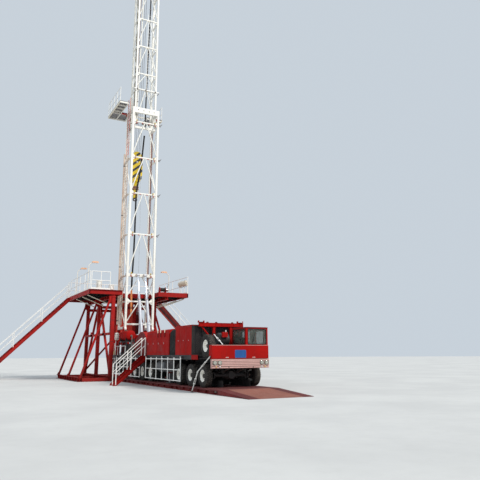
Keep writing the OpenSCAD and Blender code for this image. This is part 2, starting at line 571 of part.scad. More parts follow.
module standpipe() color([0.55, 0.38, 0.28]) mast_frame() {
    translate([-low_hw - 145, low_d - 30, 350]) cylinder(h = 12600, r = 60);
    for (h = LOW_RINGS) if (h < 12900) bx(-low_hw - 100, -low_hw - 75, low_d - 60, low_d, h - 30, h + 30);
}
blk = [1950, 9550, 13450];   // depth in the mast, lower and upper end
module travelling_block() color([0.95, 0.78, 0.05]) mast_frame() {
    translate([0, blk[0] + 230, 0]) rotate([90, 0, 0]) linear_extrude(460)
        polygon([[-230, blk[1] + 1500], [230, blk[1] + 1500], [420, blk[1] + 2100], [420, blk[2] - 500], [260, blk[2] - 80], [120, blk[2]],
                 [-120, blk[2]], [-260, blk[2] - 80], [-420, blk[2] - 500], [-420, blk[1] + 2100]]);
    translate([0, blk[0], blk[1] + 250]) cylinder(h = 1255, r = 165);
    translate([0, blk[0], blk[1] + 900]) cylinder(h = 250, r = 240);
    translate([0, blk[0] + 60, blk[1]]) rotate([90, 0, 0]) linear_extrude(120)
        polygon([[-90, 260], [-210, 120], [-200, -60], [-60, -160 + 160], [110, 0], [210, 110], [215, 220], [130, 200], [100, 130], [0, 90], [-80, 140], [-40, 260]]);
    // side lugs that reach the rear chords' guides
}
module mast_upper() color(white) mast_frame() {
    section(up_hw, up_d0, up_d1, up_c, up_h0, crown_h, UP_RINGS, 85);
    for (x = [-up_hw, up_hw]) bx(x - 60, x + 60, up_d0, up_d1, up_h0, up_h0 + 140);
    bx(-up_hw, up_hw, up_d0 - 60, up_d0 + 60, up_h0, up_h0 + 180);
    for (h = UP_RINGS) bx(-up_hw, -up_hw + 80, 540, 960, h - 15, h + 15);
    // ladder inside the right side
    for (d = [560, 940]) bx(-up_hw + 60, -up_hw + 95, d - 17, d + 17, up_h0 + 200, crown_h);
    for (k = [0 : 14]) bx(-up_hw + 66, -up_hw + 88, 570, 930, up_h0 + 500 + k*1000, up_h0 + 530 + k*1000);
}
module crown_block() color([0.9, 0.86, 0.7]) mast_frame() {
    both() bx(720, 880, 60, 2450, crown_h + 2, crown_h + 300);
    for (d = [60, 1000, 2300]) bx(-720, 720, d, d + 150, crown_h + 40, crown_h + 260);
    // sheaves on their shaft, and the fast line sheave
    for (x = [-420, -260, -100, 100, 260, 420]) translate([x - 50, 1730, crown_h + 420]) rotate([0, 90, 0]) cylinder(h = 100, r = 440, $fn = 48);
    translate([-600, 1730, crown_h + 420]) rotate([0, 90, 0]) cylinder(h = 1200, r = 70);
    both() bx(560, 720, 1600, 1860, crown_h + 100, crown_h + 520);
    translate([-50, 620, crown_h + 420]) rotate([0, 90, 0]) cylinder(h = 100, r = 380, $fn = 48);
    translate([-200, 620, crown_h + 420]) rotate([0, 90, 0]) cylinder(h = 400, r = 60);
    for (x = [-200, 140]) bx(x, x + 60, 200, 1010, crown_h + 180, crown_h + 480);
    // handrail
    for (x = [-860, 860]) {
        for (d = [100, 1250, 2400]) rod([x, d, crown_h + 280], [x, d, crown_h + 1350], 45);
        for (h = [800, 1350]) rod([x, 80, crown_h + h], [x, 2420, crown_h + h], 45);
    }
    for (d = [100, 2400], h = [800, 1350]) rod([-860, d, crown_h + h], [860, d, crown_h + h], 45);
}
// folding board behind the mast: arms each side of an open slot, and a side walkway
module monkey_board() color(white) mast_frame() translate([0, 0, brd_h]) difference() {
    union() {
        for (x = [-1180, 1080]) bx(x, x + 100, brd_y - 60, brd_y + 60, -60, 60);
        for (x = [-1480, 1180]) bx(x, x + 300, brd_y, brd_y + 60, -60, 60);
        bx(-2100, -650, brd_y, brd_y + 1300, 60, 110);
        bx(650, 1900, brd_y, brd_y + 1300, 60, 110);
        bx(-2100, -1420, -250, brd_y, 60, 110);
        for (x = [-2100, -1480, -750, 650, 1250, 1840]) bx(x, x + 60, x == -2100 || x == -1480 ? -250 : brd_y, brd_y + 1300, -60, 60);
        for (d = [brd_y + 50, brd_y + 1240]) { bx(-2100, -650, d, d + 60, -60, 60); bx(650, 1900, d, d + 60, -60, 60); }
        bx(-2100, -1420, -250, -190, -60, 60);
        bx(-1080, 1080, brd_y + 50, brd_y + 110, -60, 60);
        // railing along the outer sides
        for (d = [-220, 600, 1400, 2200, brd_y + 1260]) rod([-2070, d, 100], [-2070, d, 1200], 45);
        for (h = [620, 1200]) rod([-2070, -240, h], [-2070, brd_y + 1280, h], 45);
        for (d = [brd_y + 60, brd_y + 660, brd_y + 1260]) rod([1870, d, 100], [1870, d, 1200], 45);
        for (h = [620, 1200]) rod([1870, brd_y + 40, h], [1870, brd_y + 1280, h], 45);
    }
    translate([-1190, brd_y, 0]) rotate([0, 90, 0]) cylinder(h = 120, r = 25.06);
    translate([1070, brd_y, 0]) rotate([0, 90, 0]) cylinder(h = 120, r = 25.06);
}

module place() translate([0, y_shift, 0]) children();

place() base_mat();
place() chassis();
place() axles();
place() jack_legs_front();
place() jack_legs_rear();
place() knuckle_1_right();
place() knuckle_1_left();
place() knuckle_2_right();
place() knuckle_2_left();
place() knuckle_3_right();
place() knuckle_3_left();
place() wheel_1_right();
place() wheel_1_left();
place() wheel_2_right();
place() wheel_2_left();
place() wheel_3_right();
place() wheel_3_left();
place() wheel_4_right();
place() wheel_4_left();
place() wheel_5_right();
place() wheel_5_left();
place() wheel_6_right();
place() wheel_6_left();
place() cab();
place() cab_door();
place() cab_glass();
place() nose_panel();
place() bumper_grille();
place() headlights();
place() spare_wheel();
place() air_cleaner();
place() mast_rest();
place() engine();
place() engine_house();
place() radiator();
place() coupling_cover();
place() drawworks_hood();
place() mast_base();
place() side_stair();
place() deck_rail_front_right();
place() deck_rail_front_left();
place() deck_rail_rear_right();
place() deck_rail_rear_left();
place() substructure();
place() drill_floor();
place() floor_stairs();
place() floor_rails();
place() floor_lamps();
place() floor_locker();
place() rotary_table();
place() cylinder_barrels();
place() cylinder_stages();
place() cylinder_rods();
place() mast_lower();
place() mast_ladder();
place() standpipe();
place() travelling_block();
place() mast_upper();
place() crown_block();
place() monkey_board();
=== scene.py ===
import sys
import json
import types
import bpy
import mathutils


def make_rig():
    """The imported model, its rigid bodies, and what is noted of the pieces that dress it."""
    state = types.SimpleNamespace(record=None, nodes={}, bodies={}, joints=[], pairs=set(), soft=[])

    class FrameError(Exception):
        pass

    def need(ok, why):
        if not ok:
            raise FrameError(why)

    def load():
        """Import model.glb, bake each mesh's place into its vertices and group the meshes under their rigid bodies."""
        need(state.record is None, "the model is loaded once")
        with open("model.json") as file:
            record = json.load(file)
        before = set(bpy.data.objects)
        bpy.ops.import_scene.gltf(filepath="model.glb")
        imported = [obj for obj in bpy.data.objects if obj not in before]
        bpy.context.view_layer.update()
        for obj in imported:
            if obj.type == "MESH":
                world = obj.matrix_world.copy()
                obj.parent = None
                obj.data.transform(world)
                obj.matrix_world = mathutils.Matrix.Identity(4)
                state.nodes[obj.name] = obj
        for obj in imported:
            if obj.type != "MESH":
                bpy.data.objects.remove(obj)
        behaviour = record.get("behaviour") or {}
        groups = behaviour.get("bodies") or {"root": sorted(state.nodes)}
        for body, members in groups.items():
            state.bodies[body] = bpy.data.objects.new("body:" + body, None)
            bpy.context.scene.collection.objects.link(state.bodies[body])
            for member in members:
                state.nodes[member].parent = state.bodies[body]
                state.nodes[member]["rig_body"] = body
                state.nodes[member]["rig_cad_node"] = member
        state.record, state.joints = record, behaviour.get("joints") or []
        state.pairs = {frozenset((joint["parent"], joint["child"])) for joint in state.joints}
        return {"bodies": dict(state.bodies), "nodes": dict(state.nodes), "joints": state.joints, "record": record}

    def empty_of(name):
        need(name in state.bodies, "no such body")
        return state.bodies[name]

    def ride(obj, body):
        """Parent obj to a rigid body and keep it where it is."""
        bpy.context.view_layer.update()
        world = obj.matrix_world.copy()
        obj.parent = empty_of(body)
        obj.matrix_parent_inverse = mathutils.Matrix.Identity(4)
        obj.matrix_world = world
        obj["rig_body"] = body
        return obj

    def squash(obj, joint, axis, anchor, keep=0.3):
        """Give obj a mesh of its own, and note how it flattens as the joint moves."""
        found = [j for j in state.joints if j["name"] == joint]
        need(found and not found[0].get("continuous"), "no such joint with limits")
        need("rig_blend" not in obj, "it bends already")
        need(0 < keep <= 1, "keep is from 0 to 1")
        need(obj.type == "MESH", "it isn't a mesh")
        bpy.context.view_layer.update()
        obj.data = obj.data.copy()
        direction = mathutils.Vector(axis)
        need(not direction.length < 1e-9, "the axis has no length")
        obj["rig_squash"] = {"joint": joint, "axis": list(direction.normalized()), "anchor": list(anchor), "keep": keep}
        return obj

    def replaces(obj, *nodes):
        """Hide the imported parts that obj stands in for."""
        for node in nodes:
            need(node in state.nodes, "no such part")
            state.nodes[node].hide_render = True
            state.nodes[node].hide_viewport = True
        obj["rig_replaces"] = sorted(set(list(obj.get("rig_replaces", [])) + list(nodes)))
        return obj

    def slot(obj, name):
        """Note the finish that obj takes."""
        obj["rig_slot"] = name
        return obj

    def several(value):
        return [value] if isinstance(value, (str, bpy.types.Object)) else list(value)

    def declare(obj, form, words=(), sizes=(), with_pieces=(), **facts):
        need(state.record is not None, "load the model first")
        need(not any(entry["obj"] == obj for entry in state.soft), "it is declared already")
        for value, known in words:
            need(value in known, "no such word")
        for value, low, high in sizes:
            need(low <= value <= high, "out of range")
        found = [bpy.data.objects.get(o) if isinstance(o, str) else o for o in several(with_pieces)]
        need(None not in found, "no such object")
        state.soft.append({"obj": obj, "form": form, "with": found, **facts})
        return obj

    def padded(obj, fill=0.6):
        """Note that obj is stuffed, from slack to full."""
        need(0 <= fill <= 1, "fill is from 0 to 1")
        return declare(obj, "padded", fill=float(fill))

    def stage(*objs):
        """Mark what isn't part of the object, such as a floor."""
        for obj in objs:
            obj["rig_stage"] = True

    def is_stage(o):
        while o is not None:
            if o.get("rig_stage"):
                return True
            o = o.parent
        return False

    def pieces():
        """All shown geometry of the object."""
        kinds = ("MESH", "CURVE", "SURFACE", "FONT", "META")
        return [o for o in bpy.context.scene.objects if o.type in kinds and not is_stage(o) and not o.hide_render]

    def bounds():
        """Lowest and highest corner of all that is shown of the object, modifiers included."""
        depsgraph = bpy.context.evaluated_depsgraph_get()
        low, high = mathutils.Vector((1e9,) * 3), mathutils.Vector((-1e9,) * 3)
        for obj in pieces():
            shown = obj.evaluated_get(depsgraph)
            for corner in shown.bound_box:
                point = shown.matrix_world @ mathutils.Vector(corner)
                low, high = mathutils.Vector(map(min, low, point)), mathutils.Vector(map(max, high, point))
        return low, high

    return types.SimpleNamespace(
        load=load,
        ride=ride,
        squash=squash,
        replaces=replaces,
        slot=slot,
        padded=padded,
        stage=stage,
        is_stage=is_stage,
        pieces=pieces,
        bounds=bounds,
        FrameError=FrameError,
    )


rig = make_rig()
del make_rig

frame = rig.load()

import json
import math

import bpy
import numpy as np
from mathutils import Matrix, Vector

CAD_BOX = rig.bounds()
rad = math.radians
sin, cos, pi = math.sin, math.cos, math.pi

# The modules below work in metres with x = 0 on the centre line, y = 0 at the front panel and z = 0 on the ground.
YS = -9.1725
TRUCK = Matrix.Translation((0, YS, 0))
MAST = Matrix.Translation((0, 14.7 + YS, 3.35)) @ Matrix.Rotation(-rad(0.8), 4, "X")
BRD_H = 16.36


# ------------------------------------------------------------------ camera
def make_camera():
    yaw, pitch, roll = 0.4923, 0.2443, -0.0047
    cam = bpy.data.cameras.new("view")
    cam.sensor_width = 36.0
    cam.lens = 560.08 / 480 * 36.0
    cam.shift_x = 0.0
    cam.shift_y = -26.0 / 480
    cam.clip_start, cam.clip_end = 0.1, 2000
    o = bpy.data.objects.new("view", cam)
    bpy.context.scene.collection.objects.link(o)
    fwd = Vector((sin(yaw) * cos(pitch), cos(yaw) * cos(pitch), sin(pitch)))
    right = Vector((cos(yaw), -sin(yaw), 0))
    up = right.cross(fwd)
    r2 = right * cos(roll) + up * sin(roll)
    u2 = -right * sin(roll) + up * cos(roll)
    m = Matrix((r2, u2, -fwd)).transposed().to_4x4()
    m.translation = Vector((-12.285, -22.879 + YS, 1.691))
    o.matrix_world = m
    bpy.context.scene.camera = o


make_camera()

# ------------------------------------------------------------------ mesh kit
_CB_KEYS = [(sx, sy, sz, a) for sx in (-1, 1) for sy in (-1, 1) for sz in (-1, 1) for a in range(3)]
_CB_I = {k: i for i, k in enumerate(_CB_KEYS)}
_CB_S = np.array([k[:3] for k in _CB_KEYS], float)
_CB_IN = np.array([[0.0 if k[3] == ax else 1.0 for ax in range(3)] for k in _CB_KEYS])


def _cb_faces():
    def pts(i):
        s = _CB_S[i]
        return s * (1 - 0.2 * _CB_IN[i])

    out = []

    def put(ids):
        p = [pts(i) for i in ids]
        n = np.cross(p[1] - p[0], p[2] - p[0])
        if np.dot(n, sum(p) / len(p)) < 0:
            ids = ids[::-1]
        out.append(tuple(ids))

    for a in range(3):
        b, c = [x for x in range(3) if x != a]
        for s in (-1, 1):
            ids = []
            for sb, sc in ((-1, -1), (1, -1), (1, 1), (-1, 1)):
                k = [0, 0, 0]
                k[a], k[b], k[c] = s, sb, sc
                ids.append(_CB_I[(*k, a)])
            put(ids)
    for c in range(3):
        a, b = [x for x in range(3) if x != c]
        for sa in (-1, 1):
            for sb in (-1, 1):
                k0, k1 = [0, 0, 0], [0, 0, 0]
                k0[a] = k1[a] = sa
                k0[b] = k1[b] = sb
                k0[c], k1[c] = -1, 1
                put([_CB_I[(*k0, a)], _CB_I[(*k1, a)], _CB_I[(*k1, b)], _CB_I[(*k0, b)]])
    for sx in (-1, 1):
        for sy in (-1, 1):
            for sz in (-1, 1):
                put([_CB_I[(sx, sy, sz, a)] for a in range(3)])
    return out


_CB_F = _cb_faces()


def aim(a, b, up=None):
    """Matrix with z from a to b, x along the side."""
    a, b = Vector(a), Vector(b)
    z = (b - a).normalized()
    u = Vector(up) if up is not None else (Vector((0, 0, 1)) if abs(z.z) < 0.95 else Vector((0, 1, 0)))
    x = u.cross(z)
    if x.length < 1e-6:
        x = Vector((1, 0, 0)).cross(z)
    x.normalize()
    y = z.cross(x)
    m = Matrix((x, y, z)).transposed().to_4x4()
    m.translation = a
    return m


class G:
    """Collects closed shapes with a material name per face."""

    def __init__(s, base=TRUCK):
        s.v, s.f, s.m, s.names, s.n = [], [], [], [], 0
        s.stack = [np.array(base)]
        s.mat = None

    def push(s, m):
        s.stack.append(s.stack[-1] @ np.array(m))
        return s

    def pop(s):
        s.stack.pop()

    def use(s, name):
        s.mat = name
        return s

    def add(s, verts, faces, m=None):
        m = m or s.mat
        if m not in s.names:
            s.names.append(m)
        k = s.names.index(m)
        v = np.asarray(verts, float)
        t = s.stack[-1]
        v = v @ t[:3, :3].T + t[:3, 3]
        flip = np.linalg.det(t[:3, :3]) < 0
        s.v.append(v)
        n = s.n
        for f in faces:
            ids = [i + n for i in f]
            s.f.append(ids[::-1] if flip else ids)
            s.m.append(k)
        s.n += len(v)

    # -- boxes and beams
    def box(s, x0, x1, y0, y1, z0, z1, b=0.004, m=None):
        lo = np.array([min(x0, x1), min(y0, y1), min(z0, z1)])
        hi = np.array([max(x0, x1), max(y0, y1), max(z0, z1)])
        h = (hi - lo) / 2
        b = min(b, 0.45 * h.min())
        s.add((lo + hi) / 2 + _CB_S * (h - b * _CB_IN), _CB_F, m)

    def beam(s, a, b, w, h=None, bev=0.006, up=None, m=None):
        h = h or w
        L = (Vector(b) - Vector(a)).length
        s.push(aim(a, b, up))
        s.box(-w / 2, w / 2, -h / 2, h / 2, 0, L, bev, m)
        s.pop()

    def extrude(s, poly, a, b, up=None, m=None):
        L = (Vector(b) - Vector(a)).length
        area = sum(poly[i - 1][0] * poly[i][1] - poly[i][0] * poly[i - 1][1] for i in range(len(poly)))
        if area < 0:
            poly = poly[::-1]
        n = len(poly)
        v = [(p[0], p[1], 0) for p in poly] + [(p[0], p[1], L) for p in poly]
        f = [tuple(range(n))[::-1], tuple(range(n, 2 * n))]
        f += [(i, (i + 1) % n, n + (i + 1) % n, n + i) for i in range(n)]
        s.push(aim(a, b, up))
        s.add(v, f, m)
        s.pop()

    def ibeam(s, a, b, w, h, tw=0.01, tf=0.014, up=None, m=None):
        x, y = w / 2, h / 2
        t = tw / 2
        s.extrude([(-x, -y), (x, -y), (x, -y + tf), (t, -y + tf), (t, y - tf), (x, y - tf), (x, y), (-x, y), (-x, y - tf),
                   (-t, y - tf), (-t, -y + tf), (-x, -y + tf)], a, b, up, m)

    def chan(s, a, b, w, h, t=0.01, up=None, m=None, flip=1):
        """Channel whose web is at -w/2 (flip 1) or +w/2 (flip -1)."""
        x, y = w / 2 * flip, h / 2
        t2 = t * flip
        s.extrude([(-x, -y), (x, -y), (x, -y + t), (-x + t2, -y + t), (-x + t2, y - t), (x, y - t), (x, y), (-x, y)], a, b, up, m)

    def angle(s, a, b, w, t=0.008, up=None, m=None, fx=1, fy=1):
        p = [(0, 0), (w, 0), (w, t), (t, t), (t, w), (0, w)]
        s.extrude([(q[0] * fx, q[1] * fy) for q in p], a, b, up, m)

    # -- polygon extruded along x, y or z
    def prism(s, axis, poly, t0, t1, m=None):
        """axis x: (y, z) points; axis y: (x, z); axis z: (x, y)."""
        area = sum(poly[i - 1][0] * poly[i][1] - poly[i][0] * poly[i - 1][1] for i in range(len(poly)))
        if (area < 0) != (axis == "y"):
            poly = poly[::-1]
        n = len(poly)
        v = []
        for t in (min(t0, t1), max(t0, t1)):
            for p in poly:
                v.append({"x": (t, p[0], p[1]), "y": (p[0], t, p[1]), "z": (p[0], p[1], t)}[axis])
        f = [tuple(range(n))[::-1], tuple(range(n, 2 * n))]
        f += [(i, (i + 1) % n, n + (i + 1) % n, n + i) for i in range(n)]
        s.add(v, f, m)

    # -- round shapes
    def tube(s, pts, r, seg=12, m=None, ch=0.0, close=False):
        """Sweep of a circle along points. r is a number or one per point. ch chamfers the two ends."""
        P = [Vector(p) for p in pts]
        rr = list(r) if hasattr(r, "__len__") else [r] * len(P)
        if ch and not close:
            d0, d1 = (P[1] - P[0]).normalized(), (P[-2] - P[-1]).normalized()
            P = [P[0], P[0] + d0 * ch] + P[1:-1] + [P[-1] + d1 * ch, P[-1]]
            rr = [rr[0] - ch, rr[0]] + rr[1:-1] + [rr[-1], rr[-1] - ch]
        n = len(P)
        dirs = []
        for i in range(n):
            if close:
                a = (P[i] - P[i - 1]).normalized()
                b = (P[(i + 1) % n] - P[i]).normalized()
            else:
                a = (P[i] - P[i - 1]).normalized() if i else (P[1] - P[0]).normalized()
                b = (P[i + 1] - P[i]).normalized() if i < n - 1 else (P[-1] - P[-2]).normalized()
            t = (a + b)
            t = t.normalized() if t.length > 1e-6 else b
            dirs.append((t, max(0.5, t.dot(b))))
        t0 = dirs[0][0]
        x = (Vector((0, 0, 1)) if abs(t0.z) < 0.9 else Vector((0, 1, 0))).cross(t0).normalized()
        v = []
        for i, (t, c) in enumerate(dirs):
            x = (x - t * x.dot(t)).normalized()
            y = t.cross(x)
            bend = None
            if c < 0.9999:
                a = (P[i] - P[i - 1]).normalized() if (i or close) else t
                b = (P[(i + 1) % n] - P[i]).normalized() if (i < n - 1 or close) else t
                bend = (b - a)
                bend = bend.normalized() if bend.length > 1e-6 else None
            for k in range(seg):
                q = 2 * pi * (k + 0.5) / seg
                o = (x * cos(q) + y * sin(q)) * rr[i]
                if bend is not None:
                    o = o + bend * o.dot(bend) * (1 / c - 1)
                v.append(P[i] + o)
        f = []
        last = n if close else n - 1
        for i in range(last):
            j = (i + 1) % n
            for k in range(seg):
                l = (k + 1) % seg
                f.append((i * seg + k, i * seg + l, j * seg + l, j * seg + k))
        if not close:
            f.append(tuple(range(seg))[::-1])
            f.append(tuple((n - 1) * seg + k for k in range(seg)))
        s.add([tuple(p) for p in v], f, m)

    def rod(s, a, b, r, seg=12, m=None, ch=0.0):
        s.tube([a, b], r, seg, m, ch)

    def lathe(s, prof, o=(0, 0, 0), axis="x", seg=32, m=None, closed=False):
        """prof: (radius, place along the axis). closed joins the last ring to the first."""
        ax = {"x": Vector((1, 0, 0)), "y": Vector((0, 1, 0)), "z": Vector((0, 0, 1))}[axis] if isinstance(axis, str) else Vector(axis).normalized()
        u = {"x": Vector((0, 1, 0)), "y": Vector((0, 0, 1)), "z": Vector((1, 0, 0))}[axis] if isinstance(axis, str) else ax.orthogonal().normalized()
        w = ax.cross(u)
        o = Vector(o)
        area = sum(prof[i - 1][1] * prof[i][0] - prof[i][1] * prof[i - 1][0] for i in range(len(prof)))
        if area > 0:
            prof = prof[::-1]
        v, rings = [], []
        for r, t in prof:
            if r < 1e-5:
                rings.append((len(v), 1))
                v.append(o + ax * t)
            else:
                rings.append((len(v), seg))
                for k in range(seg):
                    q = 2 * pi * k / seg
                    v.append(o + ax * t + (u * cos(q) + w * sin(q)) * r)
        f = []
        pairs = list(zip(rings, rings[1:])) + ([(rings[-1], rings[0])] if closed else [])
        for (a, na), (b, nb) in pairs:
            if na == 1 and nb == 1:
                continue
            for k in range(seg):
                l = (k + 1) % seg
                if na == 1:
                    f.append((a, b + k, b + l))
                elif nb == 1:
                    f.append((a + l, a + k, b))
                else:
                    f.append((a + l, a + k, b + k, b + l))
        if not closed:
            if rings[0][1] > 1:
                f.append(tuple(rings[0][0] + k for k in range(seg)))
            if rings[-1][1] > 1:
                f.append(tuple(rings[-1][0] + k for k in range(seg))[::-1])
        s.add([tuple(p) for p in v], f, m)

    def disc(s, o, axis, r, t, seg=24, ch=0.003, m=None):
        """Short cylinder with softened edges, centred on o."""
        s.lathe([(0, -t / 2), (r - ch, -t / 2), (r, -t / 2 + ch), (r, t / 2 - ch), (r - ch, t / 2), (0, t / 2)], o, axis, seg, m)

    def hexa(s, o, axis, r, t, m=None):
        s.lathe([(0, 0), (r, 0), (r, t * 0.8), (r * 0.82, t), (0, t)], o, axis, 6, m)

    def ring(s, o, axis, R, r, seg=24, ss=8, m=None):
        """Torus."""
        s.lathe([(R + r * cos(2 * pi * k / ss), r * sin(2 * pi * k / ss)) for k in range(ss)], o, axis, seg, m, closed=True)

    # -- plates with an opening
    def frame(s, axis, out, inn, t0, t1, ro=0.01, ri=0.04, n=4, m=None):
        """Plate with a rounded opening. out and inn: (u0, u1, v0, v1)."""
        def loop(q, r):
            u0, u1, v0, v1 = q
            pts = []
            for cx, cy, a0 in ((u1 - r, v1 - r, 0), (u0 + r, v1 - r, pi / 2), (u0 + r, v0 + r, pi), (u1 - r, v0 + r, 1.5 * pi)):
                for k in range(n + 1):
                    a = a0 + pi / 2 * k / n
                    pts.append((cx + r * cos(a), cy + r * sin(a)))
            return pts
        A, B = loop(out, ro), loop(inn, ri)
        k = len(A)
        v = []
        for t in (t0, t1):
            for L in (A, B):
                for p in L:
                    v.append({"x": (t, p[0], p[1]), "y": (p[0], t, p[1]), "z": (p[0], p[1], t)}[axis])
        f = []
        for i in range(k):
            j = (i + 1) % k
            f.append((i, j, k + j, k + i))
            f.append((2 * k + j, 2 * k + i, 3 * k + i, 3 * k + j))
            f.append((j, i, 2 * k + i, 2 * k + j))
            f.append((k + i, k + j, 3 * k + j, 3 * k + i))
        flip = (axis == "y") == (t1 > t0)
        s.add(v, [x if flip else x[::-1] for x in f], m)

    def plate(s, axis, q, t0, t1, r=0.03, n=4, b=0.003, m=None):
        """Rounded rectangle plate with a chamfered rim; q = (u0, u1, v0, v1)."""
        u0, u1, v0, v1 = q
        t0, t1 = min(t0, t1), max(t0, t1)
        b = min(b, (t1 - t0) * 0.45)

        def loop(d):
            rr = max(0.001, r - d)
            pts = []
            for cx, cy, a0 in ((u1 - r, v1 - r, 0), (u0 + r, v1 - r, pi / 2), (u0 + r, v0 + r, pi), (u1 - r, v0 + r, 1.5 * pi)):
                for k in range(n + 1):
                    a = a0 + pi / 2 * k / n
                    pts.append((cx + rr * cos(a), cy + rr * sin(a)))
            return pts
        L = [(loop(b), t0), (loop(0), t0 + b), (loop(0), t1 - b), (loop(b), t1)]
        k = len(L[0][0])
        v = [{"x": (t, p[0], p[1]), "y": (p[0], t, p[1]), "z": (p[0], p[1], t)}[axis] for P, t in L for p in P]
        f = [tuple(range(k))[::-1], tuple(3 * k + i for i in range(k))]
        for a in range(3):
            for i in range(k):
                j = (i + 1) % k
                f.append((a * k + i, a * k + j, (a + 1) * k + j, (a + 1) * k + i))
        if axis == "y":
            f = [x[::-1] for x in f]
        s.add(v, f, m)


TRIS = {}


def piece(name, g, body="root", replaces=(), slot=None, angle=32, place=None):
    """Makes the object. Its mesh holds its place, unless place gives a matrix."""
    me = bpy.data.meshes.new(name)
    v = np.concatenate(g.v)
    me.from_pydata(v.tolist(), [], g.f)
    for n in g.names:
        me.materials.append(MATS[n])
    me.polygons.foreach_set("material_index", g.m)
    me.polygons.foreach_set("use_smooth", [True] * len(g.f))
    me.update()
    me.set_sharp_from_angle(angle=rad(angle))
    TRIS[name] = sum(len(f) - 2 for f in g.f)
    o = bpy.data.objects.new(name, me)
    bpy.context.scene.collection.objects.link(o)
    if place is not None:
        o.matrix_world = place
    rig.ride(o, body)
    if replaces:
        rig.replaces(o, *([replaces] if isinstance(replaces, str) else replaces))
    if slot:
        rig.slot(o, slot)
    return o


def again(name, o, body, place, replaces=(), slot=None):
    """The same mesh in another place."""
    c = bpy.data.objects.new(name, o.data)
    bpy.context.scene.collection.objects.link(c)
    c.matrix_world = place
    TRIS[name] = TRIS[o.name]
    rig.ride(c, body)
    if replaces:
        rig.replaces(c, *([replaces] if isinstance(replaces, str) else replaces))
    if slot:
        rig.slot(c, slot)
    return c

# ------------------------------------------------------------------ materials
MATS = {}


class N:
    """Small helper for node trees."""

    def __init__(s, name):
        s.m = bpy.data.materials.new(name)
        s.m.use_nodes = True
        s.t = s.m.node_tree
        s.t.nodes.clear()
        out = s.t.nodes.new("ShaderNodeOutputMaterial")
        s.b = s.t.nodes.new("ShaderNodeBsdfPrincipled")
        s.t.links.new(s.b.outputs[0], out.inputs[0])
        s.tc = s.t.nodes.new("ShaderNodeTexCoord")
        s.obj = s.tc.outputs["Object"]
        s.nor = s.tc.outputs["Normal"]
        MATS[name] = s.m

    def link(s, a, sock):
        if isinstance(a, (int, float)):
            sock.default_value = a
        elif isinstance(a, (tuple, list)):
            sock.default_value = (*a, 1.0) if len(a) == 3 and sock.type == "RGBA" else a
        else:
            s.t.links.new(a, sock)

    def map(s, scale=(1, 1, 1), loc=(0, 0, 0), rot=(0, 0, 0), vec=None):
        n = s.t.nodes.new("ShaderNodeMapping")
        s.link(vec or s.obj, n.inputs["Vector"])
        n.inputs["Location"].default_value = loc
        n.inputs["Rotation"].default_value = rot
        n.inputs["Scale"].default_value = scale
        return n.outputs[0]

    def noise(s, scale, detail=4, rough=0.55, vec=None, dist=0.0):
        n = s.t.nodes.new("ShaderNodeTexNoise")
        s.link(vec or s.obj, n.inputs["Vector"])
        n.inputs["Scale"].default_value = scale
        n.inputs["Detail"].default_value = detail
        n.inputs["Roughness"].default_value = rough
        n.inputs["Distortion"].default_value = dist
        return n.outputs["Fac"]

    def voronoi(s, scale, vec=None, feature="F1"):
        n = s.t.nodes.new("ShaderNodeTexVoronoi")
        n.feature = feature
        s.link(vec or s.obj, n.inputs["Vector"])
        n.inputs["Scale"].default_value = scale
        return n.outputs["Distance"]

    def ramp(s, fac, lo, hi, a=0.0, b=1.0):
        n = s.t.nodes.new("ShaderNodeMapRange")
        n.interpolation_type = "SMOOTHSTEP"
        s.link(fac, n.inputs["Value"])
        n.inputs["From Min"].default_value = lo
        n.inputs["From Max"].default_value = hi
        n.inputs["To Min"].default_value = a
        n.inputs["To Max"].default_value = b
        return n.outputs["Result"]

    def math(s, op, a, b=0.0, c=None):
        n = s.t.nodes.new("ShaderNodeMath")
        n.operation = op
        s.link(a, n.inputs[0])
        s.link(b, n.inputs[1])
        if c is not None:
            s.link(c, n.inputs[2])
        return n.outputs[0]

    def mul(s, a, b):
        return s.math("MULTIPLY", a, b)

    def mix(s, f, a, b, mode="MIX"):
        n = s.t.nodes.new("ShaderNodeMix")
        n.data_type = "RGBA"
        n.blend_type = mode
        s.link(f, n.inputs[0])
        s.link(a, n.inputs[6])
        s.link(b, n.inputs[7])
        return n.outputs[2]

    def xyz(s, vec=None):
        n = s.t.nodes.new("ShaderNodeSeparateXYZ")
        s.link(vec or s.obj, n.inputs[0])
        return n.outputs

    def bump(s, h, k=0.2, d=0.01, prev=None):
        n = s.t.nodes.new("ShaderNodeBump")
        n.inputs["Strength"].default_value = k
        n.inputs["Distance"].default_value = d
        s.link(h, n.inputs["Height"])
        if prev is not None:
            s.link(prev, n.inputs["Normal"])
        s.link(n.outputs[0], s.b.inputs["Normal"])
        return n.outputs[0]

    def tear(s, p=0.055):
        """Raised pattern of a tread plate, in the xy plane, 0 to 1."""
        x, y, z = s.xyz()[0:3]
        u = s.math("FRACT", s.mul(s.math("ADD", x, y), 1 / p))
        v = s.math("FRACT", s.mul(s.math("SUBTRACT", x, y), 1 / p))

        def near(q, w0, w1):
            return s.ramp(s.math("ABSOLUTE", s.math("SUBTRACT", q, 0.5)), w1, w0)
        a = s.mul(near(u, 0.36, 0.44), near(v, 0.08, 0.14))
        u2 = s.math("FRACT", s.math("ADD", u, 0.5))
        v2 = s.math("FRACT", s.math("ADD", v, 0.5))
        b = s.mul(near(u2, 0.08, 0.14), near(v2, 0.36, 0.44))
        return s.math("MAXIMUM", a, b)

    def set(s, **k):
        for q, v in k.items():
            s.link(v, s.b.inputs[q.replace("_", " ")])
        return s


